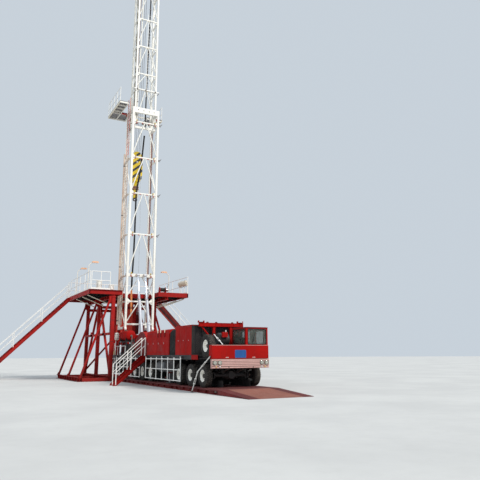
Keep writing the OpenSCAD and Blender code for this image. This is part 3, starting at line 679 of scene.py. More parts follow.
def paint(name, a, b, rough=(0.32, 0.5), dirt=(0.16, 0.11, 0.08), streak=0.22, chips=0.0, chip=(0.10, 0.045, 0.03), low=None,
          dust=0.0, dust_col=(0.36, 0.31, 0.26), metallic=0.0, fine=0.12, var=0.7, plate=None, spec=0.5):
    n = N(name)
    col = n.mix(n.ramp(n.noise(var, 5, 0.6), 0.32, 0.68), a, b)
    small = n.noise(9, 6, 0.65)
    col = n.mix(n.ramp(small, 0.45, 0.8, 0, 0.35), col, tuple(c * 0.62 for c in b))
    # streaks run down the surface
    run = n.noise(1.0, 5, 0.6, n.map((9, 9, 0.55)))
    patch = n.ramp(n.noise(0.9, 3), 0.42, 0.66)
    sf = n.mul(n.mul(n.ramp(run, 0.52, 0.72), patch), streak)
    col = n.mix(sf, col, dirt)
    ro = n.ramp(n.noise(3.2, 5), 0.3, 0.7, rough[0], rough[1])
    ro = n.math("ADD", ro, n.mul(sf, 0.5))
    if low:
        z = n.xyz()[2]
        lf = n.mul(n.ramp(z, low[1], low[0]), n.ramp(n.noise(4.5, 6, 0.7), 0.25, 0.7, 0.25, low[2]))
        col = n.mix(lf, col, dirt)
        ro = n.math("ADD", ro, n.mul(lf, 0.35))
    if dust:
        up = n.ramp(n.xyz(n.nor)[2], 0.55, 0.95)
        df = n.mul(n.mul(up, n.ramp(n.noise(2.6, 7, 0.7), 0.3, 0.72, 0.25, 1.0)), dust)
        col = n.mix(df, col, dust_col)
        ro = n.math("ADD", ro, n.mul(df, 0.4))
    h = n.noise(70, 3)
    if chips:
        c1 = n.ramp(n.noise(17, 8, 0.72), 0.60, 0.66)
        c2 = n.ramp(n.noise(1.7, 4), 0.48, 0.66)
        cf = n.mul(n.mul(c1, c2), chips)
        col = n.mix(cf, col, chip)
        ro = n.math("ADD", ro, n.mul(cf, 0.35))
        h = n.math("SUBTRACT", h, n.mul(cf, 1.4))
    nn = n.bump(h, fine, 0.002)
    if plate:
        t = n.tear(plate)
        col = n.mix(n.mul(t, 0.28), col, tuple(min(1, c * 1.5 + 0.03) for c in a))
        n.bump(t, 0.55, 0.006, nn)
    n.set(Base_Color=col, Roughness=n.math("MINIMUM", ro, 0.97))
    n.b.inputs["Metallic"].default_value = metallic
    n.b.inputs["Specular IOR Level"].default_value = spec
    return n


RED = (0.365, 0.0085, 0.0068)
RED2 = (0.295, 0.0072, 0.0060)
paint("red", RED, RED2, (0.46, 0.62), dirt=(0.09, 0.016, 0.013), streak=0.32, chips=0.35, low=(0.9, 2.0, 0.35), dust=0.10, dust_col=(0.26, 0.18, 0.15), spec=0.04)
paint("red_deck", (0.26, 0.014, 0.011), (0.20, 0.012, 0.010), (0.5, 0.7), dirt=(0.10, 0.04, 0.03), streak=0.2, chips=0.9, dust=0.55,
      dust_col=(0.30, 0.17, 0.13), plate=0.055)
paint("red_sub", (0.37, 0.011, 0.009), (0.27, 0.009, 0.007), (0.48, 0.66), dirt=(0.08, 0.02, 0.015), streak=0.35, chips=0.6,
      low=(0.1, 2.6, 0.50), dust=0.15, dust_col=(0.26, 0.17, 0.14), spec=0.14)
paint("red_dark", (0.17, 0.010, 0.009), (0.12, 0.009, 0.008), (0.5, 0.75), dirt=(0.05, 0.018, 0.014), streak=0.35, chips=0.7, dust=0.2,
      dust_col=(0.18, 0.10, 0.08), spec=0.28)
paint("mat_red", (0.125, 0.016, 0.016), (0.085, 0.013, 0.013), (0.6, 0.85), dirt=(0.05, 0.028, 0.024), streak=0.3, chips=0.8, dust=0.35,
      dust_col=(0.13, 0.085, 0.075), plate=0.07, spec=0.3)
paint("ramp_red", (0.25, 0.085, 0.060), (0.19, 0.062, 0.045), (0.6, 0.88), dirt=(0.10, 0.05, 0.04), streak=0.3, chips=0.8, dust=0.5,
      dust_col=(0.27, 0.17, 0.13), plate=0.07, spec=0.3)
paint("white", (0.86, 0.845, 0.79), (0.80, 0.775, 0.70), (0.36, 0.54), dirt=(0.34, 0.25, 0.17), streak=0.22, chips=0.55,
      chip=(0.22, 0.10, 0.05), var=0.35)
paint("white_rail", (0.88, 0.87, 0.83), (0.82, 0.80, 0.75), (0.32, 0.5), dirt=(0.34, 0.26, 0.18), streak=0.18, chips=0.4, chip=(0.25, 0.10, 0.06))
paint("white_rim", (0.92, 0.90, 0.84), (0.82, 0.79, 0.71), (0.4, 0.65), dirt=(0.30, 0.24, 0.17), streak=0.15, chips=0.7, chip=(0.20, 0.12, 0.07), var=4.0)
paint("black", (0.013, 0.011, 0.013), (0.021, 0.019, 0.020), (0.42, 0.62), dirt=(0.09, 0.075, 0.06), streak=0.4, chips=0.3, chip=(0.12, 0.07, 0.05),
      low=(0.2, 1.4, 0.30), dust=0.22, dust_col=(0.12, 0.10, 0.09), spec=0.35)
paint("drum_black", (0.012, 0.012, 0.013), (0.020, 0.019, 0.019), (0.62, 0.8), dirt=(0.05, 0.045, 0.04), streak=0.25, dust=0.18, dust_col=(0.08, 0.075, 0.07))
paint("black_deck", (0.030, 0.029, 0.030), (0.050, 0.047, 0.044), (0.55, 0.8), dirt=(0.11, 0.09, 0.07), streak=0.3, chips=0.5, chip=(0.14, 0.10, 0.08),
      dust=0.6, dust_col=(0.20, 0.17, 0.15), plate=0.055)
paint("black_satin", (0.014, 0.013, 0.015), (0.022, 0.020, 0.023), (0.36, 0.5), dirt=(0.06, 0.05, 0.045), streak=0.25, dust=0.2, dust_col=(0.10, 0.09, 0.085), spec=0.3)
paint("pink", (0.60, 0.37, 0.33), (0.53, 0.31, 0.275), (0.34, 0.48), dirt=(0.30, 0.12, 0.10), streak=0.25, chips=0.3, chip=(0.40, 0.08, 0.06), var=1.4)
paint("pink_dark", (0.22, 0.075, 0.065), (0.17, 0.06, 0.055), (0.5, 0.65), streak=0.2, spec=0.35)
paint("tan", (0.70, 0.56, 0.45), (0.58, 0.42, 0.32), (0.45, 0.65), dirt=(0.34, 0.18, 0.10), streak=0.5, chips=0.9, chip=(0.26, 0.10, 0.05), var=1.1)
paint("tan_red", (0.66, 0.22, 0.19), (0.58, 0.34, 0.28), (0.45, 0.65), dirt=(0.34, 0.14, 0.09), streak=0.4, chips=0.8, chip=(0.26, 0.10, 0.05), var=1.3)
paint("brown", (0.42, 0.22, 0.13), (0.30, 0.13, 0.07), (0.5, 0.7), dirt=(0.14, 0.07, 0.04), streak=0.4, chips=0.6, chip=(0.30, 0.24, 0.18), var=1.5)
paint("grey_plank", (0.17, 0.17, 0.18), (0.24, 0.24, 0.245), (0.55, 0.75), dirt=(0.08, 0.07, 0.065), streak=0.2, chips=0.6, chip=(0.30, 0.29, 0.27), var=2.0)
# near-black that paints the shade under the drill floor, in the deck machinery and below the rear deck
paint("under", (0.020, 0.010, 0.010), (0.012, 0.008, 0.008), (0.6, 0.85), dirt=(0.03, 0.018, 0.015), streak=0.3, chips=0.5, chip=(0.05, 0.02, 0.015))
paint("lamp_pole", (0.80, 0.76, 0.68), (0.72, 0.66, 0.56), (0.34, 0.5), dirt=(0.30, 0.20, 0.13), streak=0.25, chips=0.4, chip=(0.3, 0.12, 0.07), var=2.0)
paint("lamp_head", (0.86, 0.50, 0.30), (0.80, 0.44, 0.25), (0.3, 0.45), dirt=(0.28, 0.14, 0.09), streak=0.2, chips=0.3, var=3.0)
paint("rail_brown", (0.22, 0.075, 0.050), (0.15, 0.050, 0.035), (0.5, 0.7), dirt=(0.10, 0.05, 0.03), streak=0.4, chips=0.5, chip=(0.26, 0.20, 0.16), var=1.5)
paint("dull_yellow", (0.62, 0.43, 0.05), (0.50, 0.33, 0.04), (0.4, 0.6), dirt=(0.20, 0.13, 0.06), streak=0.4, chips=0.7, chip=(0.2, 0.13, 0.08), var=2.0)
# darker red that paints shade on the drum cover's sides, the pump's cooler, the valve bank's top and the near stair
# stringer
paint("red_shade", (0.17, 0.008, 0.007), (0.12, 0.007, 0.006), (0.5, 0.7), dirt=(0.04, 0.013, 0.012), streak=0.35, chips=0.5, low=(1.6, 2.6, 0.5), spec=0.25)
# bright red that paints light on the ribbed panel behind the mast, which stands in shade
paint("panel_red", (0.72, 0.085, 0.055), (0.60, 0.060, 0.042), (0.6, 0.8), dirt=(0.16, 0.035, 0.025), streak=0.5, chips=0.4, var=2.0, spec=0.1)
# bright red that paints sunlight on the stair's rear stiffening plate
paint("stringer_red", (0.88, 0.085, 0.050), (0.78, 0.070, 0.042), (0.5, 0.7), dirt=(0.25, 0.04, 0.03), streak=0.3, chips=0.3, var=2.0, spec=0.1)
# dark red that paints the shade on the stair's underside
paint("soffit", (0.13, 0.014, 0.018), (0.10, 0.012, 0.015), (0.6, 0.8), dirt=(0.05, 0.018, 0.016), streak=0.3, chips=0.5, spec=0.2)
paint("orange", (0.80, 0.30, 0.10), (0.70, 0.25, 0.09), (0.3, 0.45), dirt=(0.25, 0.12, 0.07), streak=0.2, chips=0.4, var=3.0)
paint("lamp_red", (0.42, 0.10, 0.07), (0.34, 0.08, 0.06), (0.35, 0.5), dirt=(0.14, 0.06, 0.05), streak=0.3, chips=0.5, chip=(0.5, 0.4, 0.34), var=3.0)
paint("cream", (0.76, 0.70, 0.56), (0.70, 0.62, 0.48), (0.35, 0.5), dirt=(0.34, 0.24, 0.15), streak=0.3, chips=0.5, chip=(0.2, 0.11, 0.06), var=1.5)
paint("blue_plate", (0.012, 0.088, 0.29), (0.010, 0.070, 0.24), (0.42, 0.55), dirt=(0.05, 0.07, 0.12), streak=0.25, var=6.0, spec=0.3)
paint("lamp_panel", (0.21, 0.185, 0.155), (0.16, 0.135, 0.115), (0.45, 0.6), dirt=(0.09, 0.06, 0.05), streak=0.3, chips=0.4, chip=(0.30, 0.10, 0.08), var=2.0, spec=0.3)
paint("steel", (0.42, 0.43, 0.45), (0.32, 0.33, 0.34), (0.30, 0.5), dirt=(0.18, 0.13, 0.09), streak=0.3, chips=0.5, chip=(0.24, 0.13, 0.08), metallic=0.75, dust=0.2)
paint("galv", (0.50, 0.52, 0.54), (0.42, 0.44, 0.46), (0.38, 0.55), dirt=(0.24, 0.20, 0.16), streak=0.25, metallic=0.6)
paint("cyl_blue", (0.52, 0.53, 0.58), (0.45, 0.46, 0.50), (0.34, 0.48), dirt=(0.28, 0.26, 0.24), streak=0.3, chips=0.3, metallic=0.15, var=1.5)
paint("iron", (0.10, 0.09, 0.085), (0.16, 0.12, 0.10), (0.5, 0.72), dirt=(0.16, 0.08, 0.05), streak=0.4, chips=0.6, chip=(0.22, 0.11, 0.06), metallic=0.35)
paint("engine_grey", (0.17, 0.18, 0.185), (0.12, 0.125, 0.13), (0.42, 0.6), dirt=(0.05, 0.04, 0.035), streak=0.5, chips=0.4, dust=0.3, dust_col=(0.16, 0.14, 0.12))


def rubber(name, a=(0.015, 0.014, 0.014), b=(0.024, 0.022, 0.021), dust=(0.075, 0.064, 0.054), k=0.42):
    n = N(name)
    col = n.mix(n.ramp(n.noise(2.2, 5), 0.35, 0.7), a, b)
    d = n.mul(n.ramp(n.noise(7, 8, 0.72), 0.36, 0.72), k)
    col = n.mix(d, col, dust)
    n.bump(n.math("ADD", n.noise(120, 4), n.mul(n.noise(30, 3), 0.6)), 0.18, 0.003)
    n.set(Base_Color=col, Roughness=n.ramp(n.noise(5, 4), 0.3, 0.7, 0.72, 0.92))
    n.b.inputs["Specular IOR Level"].default_value = 0.22


rubber("tyre")
rubber("tread", (0.022, 0.021, 0.020), (0.04, 0.037, 0.033), (0.15, 0.125, 0.10), 0.75)
rubber("gasket", (0.012, 0.012, 0.013), (0.02, 0.02, 0.02), (0.06, 0.055, 0.05), 0.3)
rubber("hose", (0.016, 0.016, 0.018), (0.028, 0.028, 0.03), (0.09, 0.08, 0.07), 0.4)


def chrome():
    n = N("chrome")
    n.bump(n.noise(1.0, 3, 0.5, n.map((160, 160, 6))), 0.05, 0.001)
    col = n.mix(n.ramp(n.noise(3, 4), 0.4, 0.7), (0.74, 0.77, 0.82), (0.62, 0.66, 0.72))
    n.set(Base_Color=col, Roughness=n.ramp(n.noise(6, 5), 0.3, 0.7, 0.10, 0.24))
    n.b.inputs["Metallic"].default_value = 1.0


chrome()


def rope():
    n = N("rope")
    z = n.xyz()[2]
    tw = n.math("SINE", n.mul(z, 120.0))
    col = n.mix(n.ramp(n.noise(8, 5), 0.35, 0.7), (0.075, 0.07, 0.068), (0.16, 0.14, 0.125))
    n.bump(tw, 0.4, 0.003)
    n.set(Base_Color=col, Roughness=n.ramp(n.noise(20, 3), 0.3, 0.7, 0.42, 0.62))
    n.b.inputs["Metallic"].default_value = 0.55


rope()


def glass(name, col, alpha, ro=0.04):
    n = N(name)
    d = n.ramp(n.noise(2.5, 6, 0.7), 0.35, 0.75)
    n.set(Base_Color=n.mix(d, col, tuple(min(1, c * 1.5 + 0.04) for c in col)), Roughness=n.math("ADD", n.mul(d, 0.10), ro))
    n.b.inputs["Alpha"].default_value = alpha
    n.b.inputs["Specular IOR Level"].default_value = 0.9
    n.bump(n.noise(1.1, 2), 0.02, 0.01)


glass("glass", (0.085, 0.105, 0.085), 0.36)
glass("lens", (0.46, 0.46, 0.40), 0.42, 0.05)
glass("lens_amber", (0.85, 0.42, 0.05), 0.75, 0.08)
glass("lens_white", (0.85, 0.85, 0.82), 0.75, 0.08)


def reflector():
    n = N("reflector")
    n.bump(n.voronoi(60), 0.35, 0.004)
    n.set(Base_Color=n.mix(n.ramp(n.noise(30, 3), 0.3, 0.7), (0.50, 0.50, 0.44), (0.36, 0.36, 0.31)), Roughness=n.ramp(n.noise(14, 4), 0.3, 0.7, 0.16, 0.32))
    n.b.inputs["Metallic"].default_value = 0.95


reflector()


def vinyl():
    n = N("vinyl")
    v = n.voronoi(240)
    n.bump(v, 0.25, 0.001)
    n.set(Base_Color=n.mix(n.ramp(n.noise(5, 5), 0.35, 0.7), (0.055, 0.048, 0.042), (0.10, 0.085, 0.07)), Roughness=n.ramp(n.noise(12, 4), 0.3, 0.7, 0.42, 0.6))


vinyl()


def trim():
    n = N("trim")
    n.bump(n.noise(190, 3), 0.3, 0.001)
    n.set(Base_Color=n.mix(n.ramp(n.noise(4, 5), 0.35, 0.7), (0.15, 0.13, 0.11), (0.21, 0.185, 0.155)), Roughness=n.ramp(n.noise(9, 4), 0.3, 0.7, 0.6, 0.8))


trim()


def block_paint():
    """Yellow with slanted black bands on the upper part."""
    n = paint("block_yellow", (0.86, 0.62, 0.015), (0.78, 0.53, 0.012), (0.28, 0.42), dirt=(0.24, 0.15, 0.05), streak=0.3, chips=0.7, chip=(0.20, 0.13, 0.07), var=1.2)
    x, y, z = n.xyz()[0:3]
    s = n.math("FRACT", n.mul(n.math("SUBTRACT", z, n.mul(x, 0.85)), 1 / 0.52))
    band = n.mul(n.ramp(s, 0.55, 0.57), n.ramp(z, 14.55, 14.57))
    base = n.b.inputs["Base Color"].links[0].from_socket
    n.set(Base_Color=n.mix(band, base, n.mix(n.ramp(n.noise(14, 6), 0.5, 0.7), (0.02, 0.02, 0.021), (0.10, 0.08, 0.05))))


block_paint()


def ground():
    n = N("ground")
    col = n.mix(n.ramp(n.noise(0.22, 6, 0.6), 0.35, 0.65), (0.60, 0.60, 0.585), (0.54, 0.54, 0.53))
    col = n.mix(n.ramp(n.noise(2.4, 8, 0.7), 0.45, 0.8, 0, 0.25), col, (0.45, 0.445, 0.43))
    n.bump(n.noise(22, 6), 0.10, 0.01)
    n.set(Base_Color=col, Roughness=0.92)
    n.b.inputs["Specular IOR Level"].default_value = 0.25


ground()

# ------------------------------------------------------------------ base mat and ramp
def make_base():
    g = G()
    ys = [-0.7 + 17.0 * i / 8 for i in range(9)]
    for i in range(8):
        for x0, x1 in ((-1.5, -0.003), (0.003, 1.5)):
            g.box(x0, x1, ys[i] + 0.003, ys[i + 1] - 0.003, 0.186, 0.212, 0.004, "mat_red")
            for x in (x0 + 0.12, x1 - 0.12):
                for y in (ys[i] + 0.1, ys[i + 1] - 0.1):
                    g.hexa((x, y, 0.2105), "z", 0.014, 0.008, "iron")
    for x in (-1.4, -0.5, 0.5, 1.4):
        g.ibeam((x, -0.7, 0.093), (x, 16.3, 0.093), 0.19, 0.186, 0.012, 0.016, (0, 0, 1), "red_dark")
    for s in (-1, 1):
        for k in range(20):
            y = -0.28 + k * 0.86
            g.box(s * 1.408, s * 1.492, y - 0.006, y + 0.006, 0.016, 0.170, 0.002, "red_dark")
        for y in (0.6, 4.7, 8.9, 12.6, 15.6):
            g.lathe([(0.034, 0), (0.058, 0), (0.058, 0.098), (0.034, 0.098)], (s * 1.402, y, 0.094), (s, 0, 0), 20, "red_dark", closed=True)
        # lifting eyes at the corners
        for y in (-0.45, 16.05):
            g.prism("x", [(y - 0.09, 0.09), (y + 0.09, 0.09), (y + 0.05, 0.16), (y - 0.05, 0.16)], s * 1.46, s * 1.485, "iron")
    for y in (-0.68, 2.7, 6.1, 9.5, 12.9, 16.22):
        g.chan((-1.395, y, 0.093), (1.395, y, 0.093), 0.12, 0.18, 0.012, (0, 0, 1), "red_dark")
    # closing angles along both long edges
    for s in (-1, 1):
        g.box(s * 1.494, s * 1.5, -0.7, 16.3, 0.150, 0.186, 0.002, "mat_red")
        g.box(s * 1.494, s * 1.5, -0.7, 16.3, 0.0, 0.03, 0.002, "red_dark")
    # ramp
    y0, y1 = -0.7, -3.405

    def zt(y):
        return 0.212 + (y - y0) / (y1 - y0) * (0.012 - 0.212)
    for x0, x1, m in ((-1.5, -1.02, "mat_red"), (-1.016, 1.016, "ramp_red"), (1.02, 1.5, "mat_red")):
        g.prism("x", [(y0 - 0.004, zt(y0)), (y1, 0.012), (y1, 0.001), (y0 - 0.004, zt(y0) - 0.02)], x0, x1, m)
    for x in (-1.485, -1.02, -0.5, 0.0, 0.5, 1.02, 1.485):
        g.prism("x", [(y0 - 0.004, zt(y0) - 0.019), (y1 + 0.16, 0.002), (y0 - 0.004, 0.002)], x - 0.012, x + 0.012, "red_dark")
    k = 0
    y = -0.84
    while y > -3.34:
        z = zt(y)
        for x0, x1, m in ((-1.47, -1.06, "mat_red"), (-0.99, -0.03, "ramp_red"), (0.03, 0.99, "ramp_red"), (1.06, 1.47, "mat_red")):
            g.prism("x", [(y + 0.018, z + 0.0005), (y + 0.010, z + 0.010), (y - 0.010, z + 0.0085), (y - 0.018, z - 0.004)], x0, x1, m)
        y -= 0.17
    for k in range(9):
        x = -1.32 + k * 0.33
        g.rod((x - 0.07, y0 - 0.012, 0.186), (x + 0.07, y0 - 0.012, 0.186), 0.024, 12, "iron", 0.004)
    piece("base_mat_detail", g, "root", "base_mat", "mat_red")


make_base()


# ------------------------------------------------------------------ chassis
AX = [(1.11, 1), (2.5, 1), (3.93, 1), (8.12, 0), (9.51, 0), (10.91, 0)]
WZ = 0.725


def leaf(g, x, y, z, L, n, w=0.09, t=0.014, sag=0.07):
    for k in range(n):
        l = L * (1 - 0.13 * k)
        pts = [(y + l * (i / 5 - 1), z - k * (t + 0.002) + sag * (i / 5 - 1) ** 2) for i in range(11)]
        g.prism("x", pts + [(p[0], p[1] - t) for p in pts[::-1]], x - w / 2, x + w / 2, "iron")
    for q in (-0.07, 0.07):
        g.box(x - w / 2 - 0.012, x + w / 2 + 0.012, y + q - 0.012, y + q + 0.012, z - n * (t + 0.002) - 0.012, z + 0.02, 0.003, "black")


def make_chassis():
    g = G().use("black")
    for s in (-1, 1):
        g.chan((s * 0.39, 0.12, 1.255), (s * 0.39, 16.25, 1.255), 0.10, 0.35, 0.012, (0, 0, 1), None, s)
        for k in range(33):
            y = 0.35 + k * 0.49
            for z in (1.12, 1.39):
                g.hexa((s * 0.352, y, z), (-s, 0, 0), 0.014, 0.012, "iron")
    for y in (0.12, 1.8, 3.2, 4.8, 7.2, 8.8, 10.2, 11.8, 15.9):
        g.chan((-0.345, y + 0.06, 1.24), (0.345, y + 0.06, 1.24), 0.12, 0.18, 0.012, (0, 0, 1))
        for s in (-1, 1):
            g.prism("z", [(s * 0.345, y - 0.06), (s * 0.345, y + 0.18), (s * 0.18, y + 0.12), (s * 0.18, y)], 1.326, 1.334)
    # sub-deck with cross ribs and the deck of tread plate above it
    g.box(-1.41, 1.41, 0.06, 16.25, 1.462, 1.48, 0.003, "black")
    for k in range(27):
        y = 0.14 + k * 0.61
        g.ibeam((-1.40, y, 1.446), (1.40, y, 1.446), 0.07, 0.034, 0.008, 0.006, (0, 0, 1), "black")
    ys = [1.5, 3.1, 4.7, 6.3, 7.9, 9.5, 11.1, 12.7, 14.3, 16.25]
    for a, b in zip(ys, ys[1:]):
        for x0, x1 in ((-1.41, -0.002), (0.002, 1.41)):
            g.box(x0, x1, a + 0.002, b - 0.002, 1.613, 1.64, 0.003, "black_deck")
    for y in (1.52, 3.1, 5.0, 7.0, 9.0, 10.6, 12.0, 14.0, 16.22):
        g.chan((-1.40, y, 1.546), (1.40, y, 1.546), 0.06, 0.13, 0.008, (0, 0, 1), "black")
    # side channels: red at the front, black along the rest; the black also paints the shade below the house and hood
    for s in (-1, 1):
        for a, b, m in ((1.5, 2.24, "red"), (2.25, 16.25, "black")):
            g.chan((s * 1.43, a, 1.535), (s * 1.43, b, 1.535), 0.04, 0.21, 0.008, (0, 0, 1), m, s)
        for k in range(24):
            y = 1.7 + k * 0.62
            g.prism("y", [(s * 1.412, 1.44), (s * 1.447, 1.44), (s * 1.447, 1.63), (s * 1.412, 1.63)], y - 0.005, y + 0.005, "red" if y < 2.24 else "black")
        for k in range(46):
            y = 2.4 + k * 0.3
            g.disc((s * 1.4505, y, 1.634), "x", 0.009, 0.006, 8, 0.002, "iron")
        # load hooks below the channel
        for k in range(9):
            y = 2.9 + k * 1.42
            g.tube([(s * 1.405, y - 0.05, 1.43), (s * 1.405, y - 0.05, 1.39), (s * 1.405, y + 0.05, 1.39), (s * 1.405, y + 0.05, 1.43)], 0.010, 8, "iron")
    # hangers and springs
    for y, single in AX:
        for s in (-1, 1):
            g.prism("x", [(y - 0.11, 1.10), (y + 0.11, 1.10), (y + 0.07, WZ + 0.092), (y - 0.07, WZ + 0.092)], s * 0.362, s * 0.418)
            leaf(g, s * 0.39, y, WZ + 0.20, 0.52, 6)
            for q in (-0.54, 0.54):
                g.prism("x", [(y + q - 0.05, 1.09), (y + q + 0.05, 1.09), (y + q + 0.025, 0.96), (y + q - 0.025, 0.96)], s * 0.335, s * 0.352)
                g.prism("x", [(y + q - 0.05, 1.09), (y + q + 0.05, 1.09), (y + q + 0.025, 0.96), (y + q - 0.025, 0.96)], s * 0.428, s * 0.445)
                g.rod((s * 0.325, y + q, 0.985), (s * 0.455, y + q, 0.985), 0.018, 12, "iron", 0.003)
            # damper
            g.rod((s * 0.52, y + 0.30, 1.36), (s * 0.52, y + 0.16, 1.02), 0.034, 12, "black_satin", 0.006)
            g.rod((s * 0.52, y + 0.16, 1.02), (s * 0.52, y + 0.10, 0.86), 0.016, 10, "steel", 0.003)
            g.rod((s * 0.43, y + 0.30, 1.35), (s * 0.54, y + 0.30, 1.35), 0.018, 10, "iron")
            g.rod((s * 0.40, y + 0.10, 0.865), (s * 0.54, y + 0.10, 0.865), 0.016, 10, "iron")
    # drive shafts along the middle
    for a, b in ((4.03, 5.35), (5.5, 8.0), (8.25, 9.4), (9.64, 10.8)):
        g.rod((0, a, 0.86), (0, b, 0.86), 0.05, 16, "iron", 0.01)
        for y in (a + 0.03, b - 0.03):
            g.disc((0, y, 0.86), "y", 0.085, 0.03, 20, 0.004, "iron")
    g.box(-0.22, 0.22, 5.02, 5.72, 0.70, 1.12, 0.03, "engine_grey")
    g.box(-0.26, 0.26, 5.18, 5.50, 0.66, 1.16, 0.02, "engine_grey")
    # jack sleeves
    for y in (5.9, 13.6):
        for s in (-1, 1):
            x0, x1 = s * 0.90, s * 1.12
            for a, b, c, d in ((0.90, 0.934, y, y + 0.22), (1.086, 1.12, y, y + 0.22), (0.934, 1.086, y, y + 0.034), (0.934, 1.086, y + 0.186, y + 0.22)):
                g.box(s * a, s * b, c, d, 0.70, 1.43, 0.004, "red_dark")
            for z in (0.72, 1.06):
                g.frame("z", (min(s * 0.888, s * 1.132), max(s * 0.888, s * 1.132), y - 0.012, y + 0.232), (min(s * 0.932, s * 1.088), max(s * 0.932, s * 1.088), y + 0.032, y + 0.188), z, z + 0.03, 0.01, 0.004, 2, "red_dark")
            g.prism("y", [(s * 0.45, 1.20), (s * 0.90, 1.05), (s * 0.90, 1.43), (s * 0.45, 1.43)], y + 0.10, y + 0.12, "red_dark")
        g.ibeam((-0.90, y + 0.11, 1.28), (0.90, y + 0.11, 1.28), 0.10, 0.20, 0.012, 0.016, (0, 0, 1), "red_dark")
    # tanks and lockers between the axles
    for s, y0, y1 in ((-1, 4.72, 5.76), (1, 4.72, 5.76), (-1, 11.62, 13.40), (1, 11.62, 12.7)):
        g.box(s * 0.50, s * 1.34, y0, y1, 0.78, 1.40, 0.012, "black")
        n = max(2, round((y1 - y0) / 0.55))
        for k in range(n):
            a, b = y0 + (y1 - y0) * k / n + 0.02, y0 + (y1 - y0) * (k + 1) / n - 0.02
            g.plate("x", (a, b, 0.81, 1.37), s * 1.338, s * 1.352, 0.03, 4, 0.004, "black")
            g.tube([(s * 1.352, (a + b) / 2 - 0.05, 1.20), (s * 1.378, (a + b) / 2 - 0.05, 1.20), (s * 1.378, (a + b) / 2 + 0.05, 1.20), (s * 1.352, (a + b) / 2 + 0.05, 1.20)], 0.007, 8, "steel")
            for z in (0.88, 1.30):
                g.rod((s * 1.356, a + 0.02, z - 0.04), (s * 1.356, a + 0.02, z + 0.04), 0.009, 8, "steel")
        for y in (y0 + 0.1, y1 - 0.1):
            g.box(s * 0.52, s * 0.60, y - 0.02, y + 0.02, 1.40, 1.46, 0.004, "black")
            g.box(s * 1.20, s * 1.30, y - 0.02, y + 0.02, 1.40, 1.46, 0.004, "black")
    for s in (-1, 1):
        c = (s * 1.0, 6.34, 1.06)
        g.lathe([(0, 0), (0.20, 0.0), (0.28, 0.03), (0.31, 0.08), (0.31, 1.02), (0.28, 1.07), (0.20, 1.10), (0, 1.10)], c, "y", 32, "engine_grey")
        for y in (6.56, 7.22):
            g.lathe([(0.310, -0.03), (0.318, -0.03), (0.318, 0.03), (0.310, 0.03)], (s * 1.0, y, 1.06), "y", 32, "steel", closed=True)
            g.box(s * 0.62, s * 0.74, y - 0.03, y + 0.03, 0.90, 1.46, 0.006, "black")
        g.lathe([(0, 0), (0.045, 0), (0.045, 0.03), (0.03, 0.045), (0, 0.045)], (s * 1.14, 6.9, 1.335), (s * 0.5, 0, 0.866), 16, "steel")
        # air bottles
        for k in range(2):
            g.lathe([(0, 0), (0.06, 0.01), (0.105, 0.05), (0.12, 0.10), (0.12, 0.62), (0.105, 0.67), (0.06, 0.71), (0, 0.72)], (s * 0.60, 14.35 + 0.82 * k, 1.22), "y", 20, "black_satin")
    # hinge brackets and pins of the guards
    g.use("black")
    for a, b in ((3.29, 8.40), (9.48, 14.25)):
        n = round((b - a) * 1000 / 850)
        for f in (0, 0.5, 1):
            y = a + (b - a) * math.floor(f * n + 0.5) / n
            for s in (-1, 1):
                for o in (-0.048, 0.038):
                    g.prism("y", [(s * 1.445, 1.512), (s * 1.580, 1.514), (s * 1.595, 1.53), (s * 1.595, 1.55), (s * 1.580, 1.566), (s * 1.445, 1.568)], y + o, y + o + 0.010)
                g.rod((s * 1.570, y - 0.056, 1.54), (s * 1.570, y + 0.056, 1.54), 0.0148, 12, "iron", 0.002)
    # lines and hoses under the deck edge
    for s in (-1, 1):
        for k, z in enumerate((1.405, 1.380)):
            g.tube([(s * 1.37, 4.60 + 0.05 * k, z), (s * 1.37, 16.1, z)], 0.011, 8, "iron")
    # rear bumper beam with hooks
    g.box(-1.30, 1.30, 16.245, 16.275, 1.30, 1.46, 0.008, "black")
    for s in (-1, 1):
        g.ring((s * 0.8, 16.30, 1.36), "x", 0.05, 0.014, 20, 8, "iron")
    piece("chassis_detail", g, "root", "chassis", "chassis_black")


make_chassis()


def make_jacks():
    for name, y in (("jack_legs_front", 5.9), ("jack_legs_rear", 13.6)):
        g = G().use("steel")
        for s in (-1, 1):
            cx, cy = s * 1.01, y + 0.11
            g.box(cx - 0.07, cx + 0.07, cy - 0.07, cy + 0.07, 0.30, 1.10, 0.006)
            for k in range(5):
                z = 0.40 + 0.06 * k
                g.disc((cx + s * 0.0705, cy, z), "x", 0.014, 0.004, 12, 0.001, "iron")
            g.lathe([(0, 0), (0.085, 0), (0.085, 0.02), (0.055, 0.055), (0, 0.055)], (cx, cy, 0.250), "z", 24, "steel")
            g.box(cx - 0.19, cx + 0.19, cy - 0.19, cy + 0.19, 0.2125, 0.24, 0.006, "iron")
            g.box(cx - 0.11, cx + 0.11, cy - 0.11, cy + 0.11, 0.238, 0.254, 0.004, "iron")
            for a in range(4):
                q = pi / 2 * a
                d = Vector((cos(q), sin(q), 0))
                e = Vector((-sin(q), cos(q), 0))
                p0 = Vector((cx, cy, 0.24))
                pts = [p0 + d * 0.08, p0 + d * 0.18, p0 + d * 0.08 + Vector((0, 0, 0.055))]
                v = [p + e * 0.006 for p in pts] + [p - e * 0.006 for p in pts]
                g.add([tuple(p) for p in v], [(0, 1, 2), (5, 4, 3), (0, 3, 4, 1), (1, 4, 5, 2), (2, 5, 3, 0)], "iron")
                for b in (-0.12, 0.12):
                    g.hexa(tuple(p0 + d * 0.155 + e * b), "z", 0.012, 0.010, "steel")
        piece(name + "_detail", g, name, name, "bare_steel")


make_jacks()


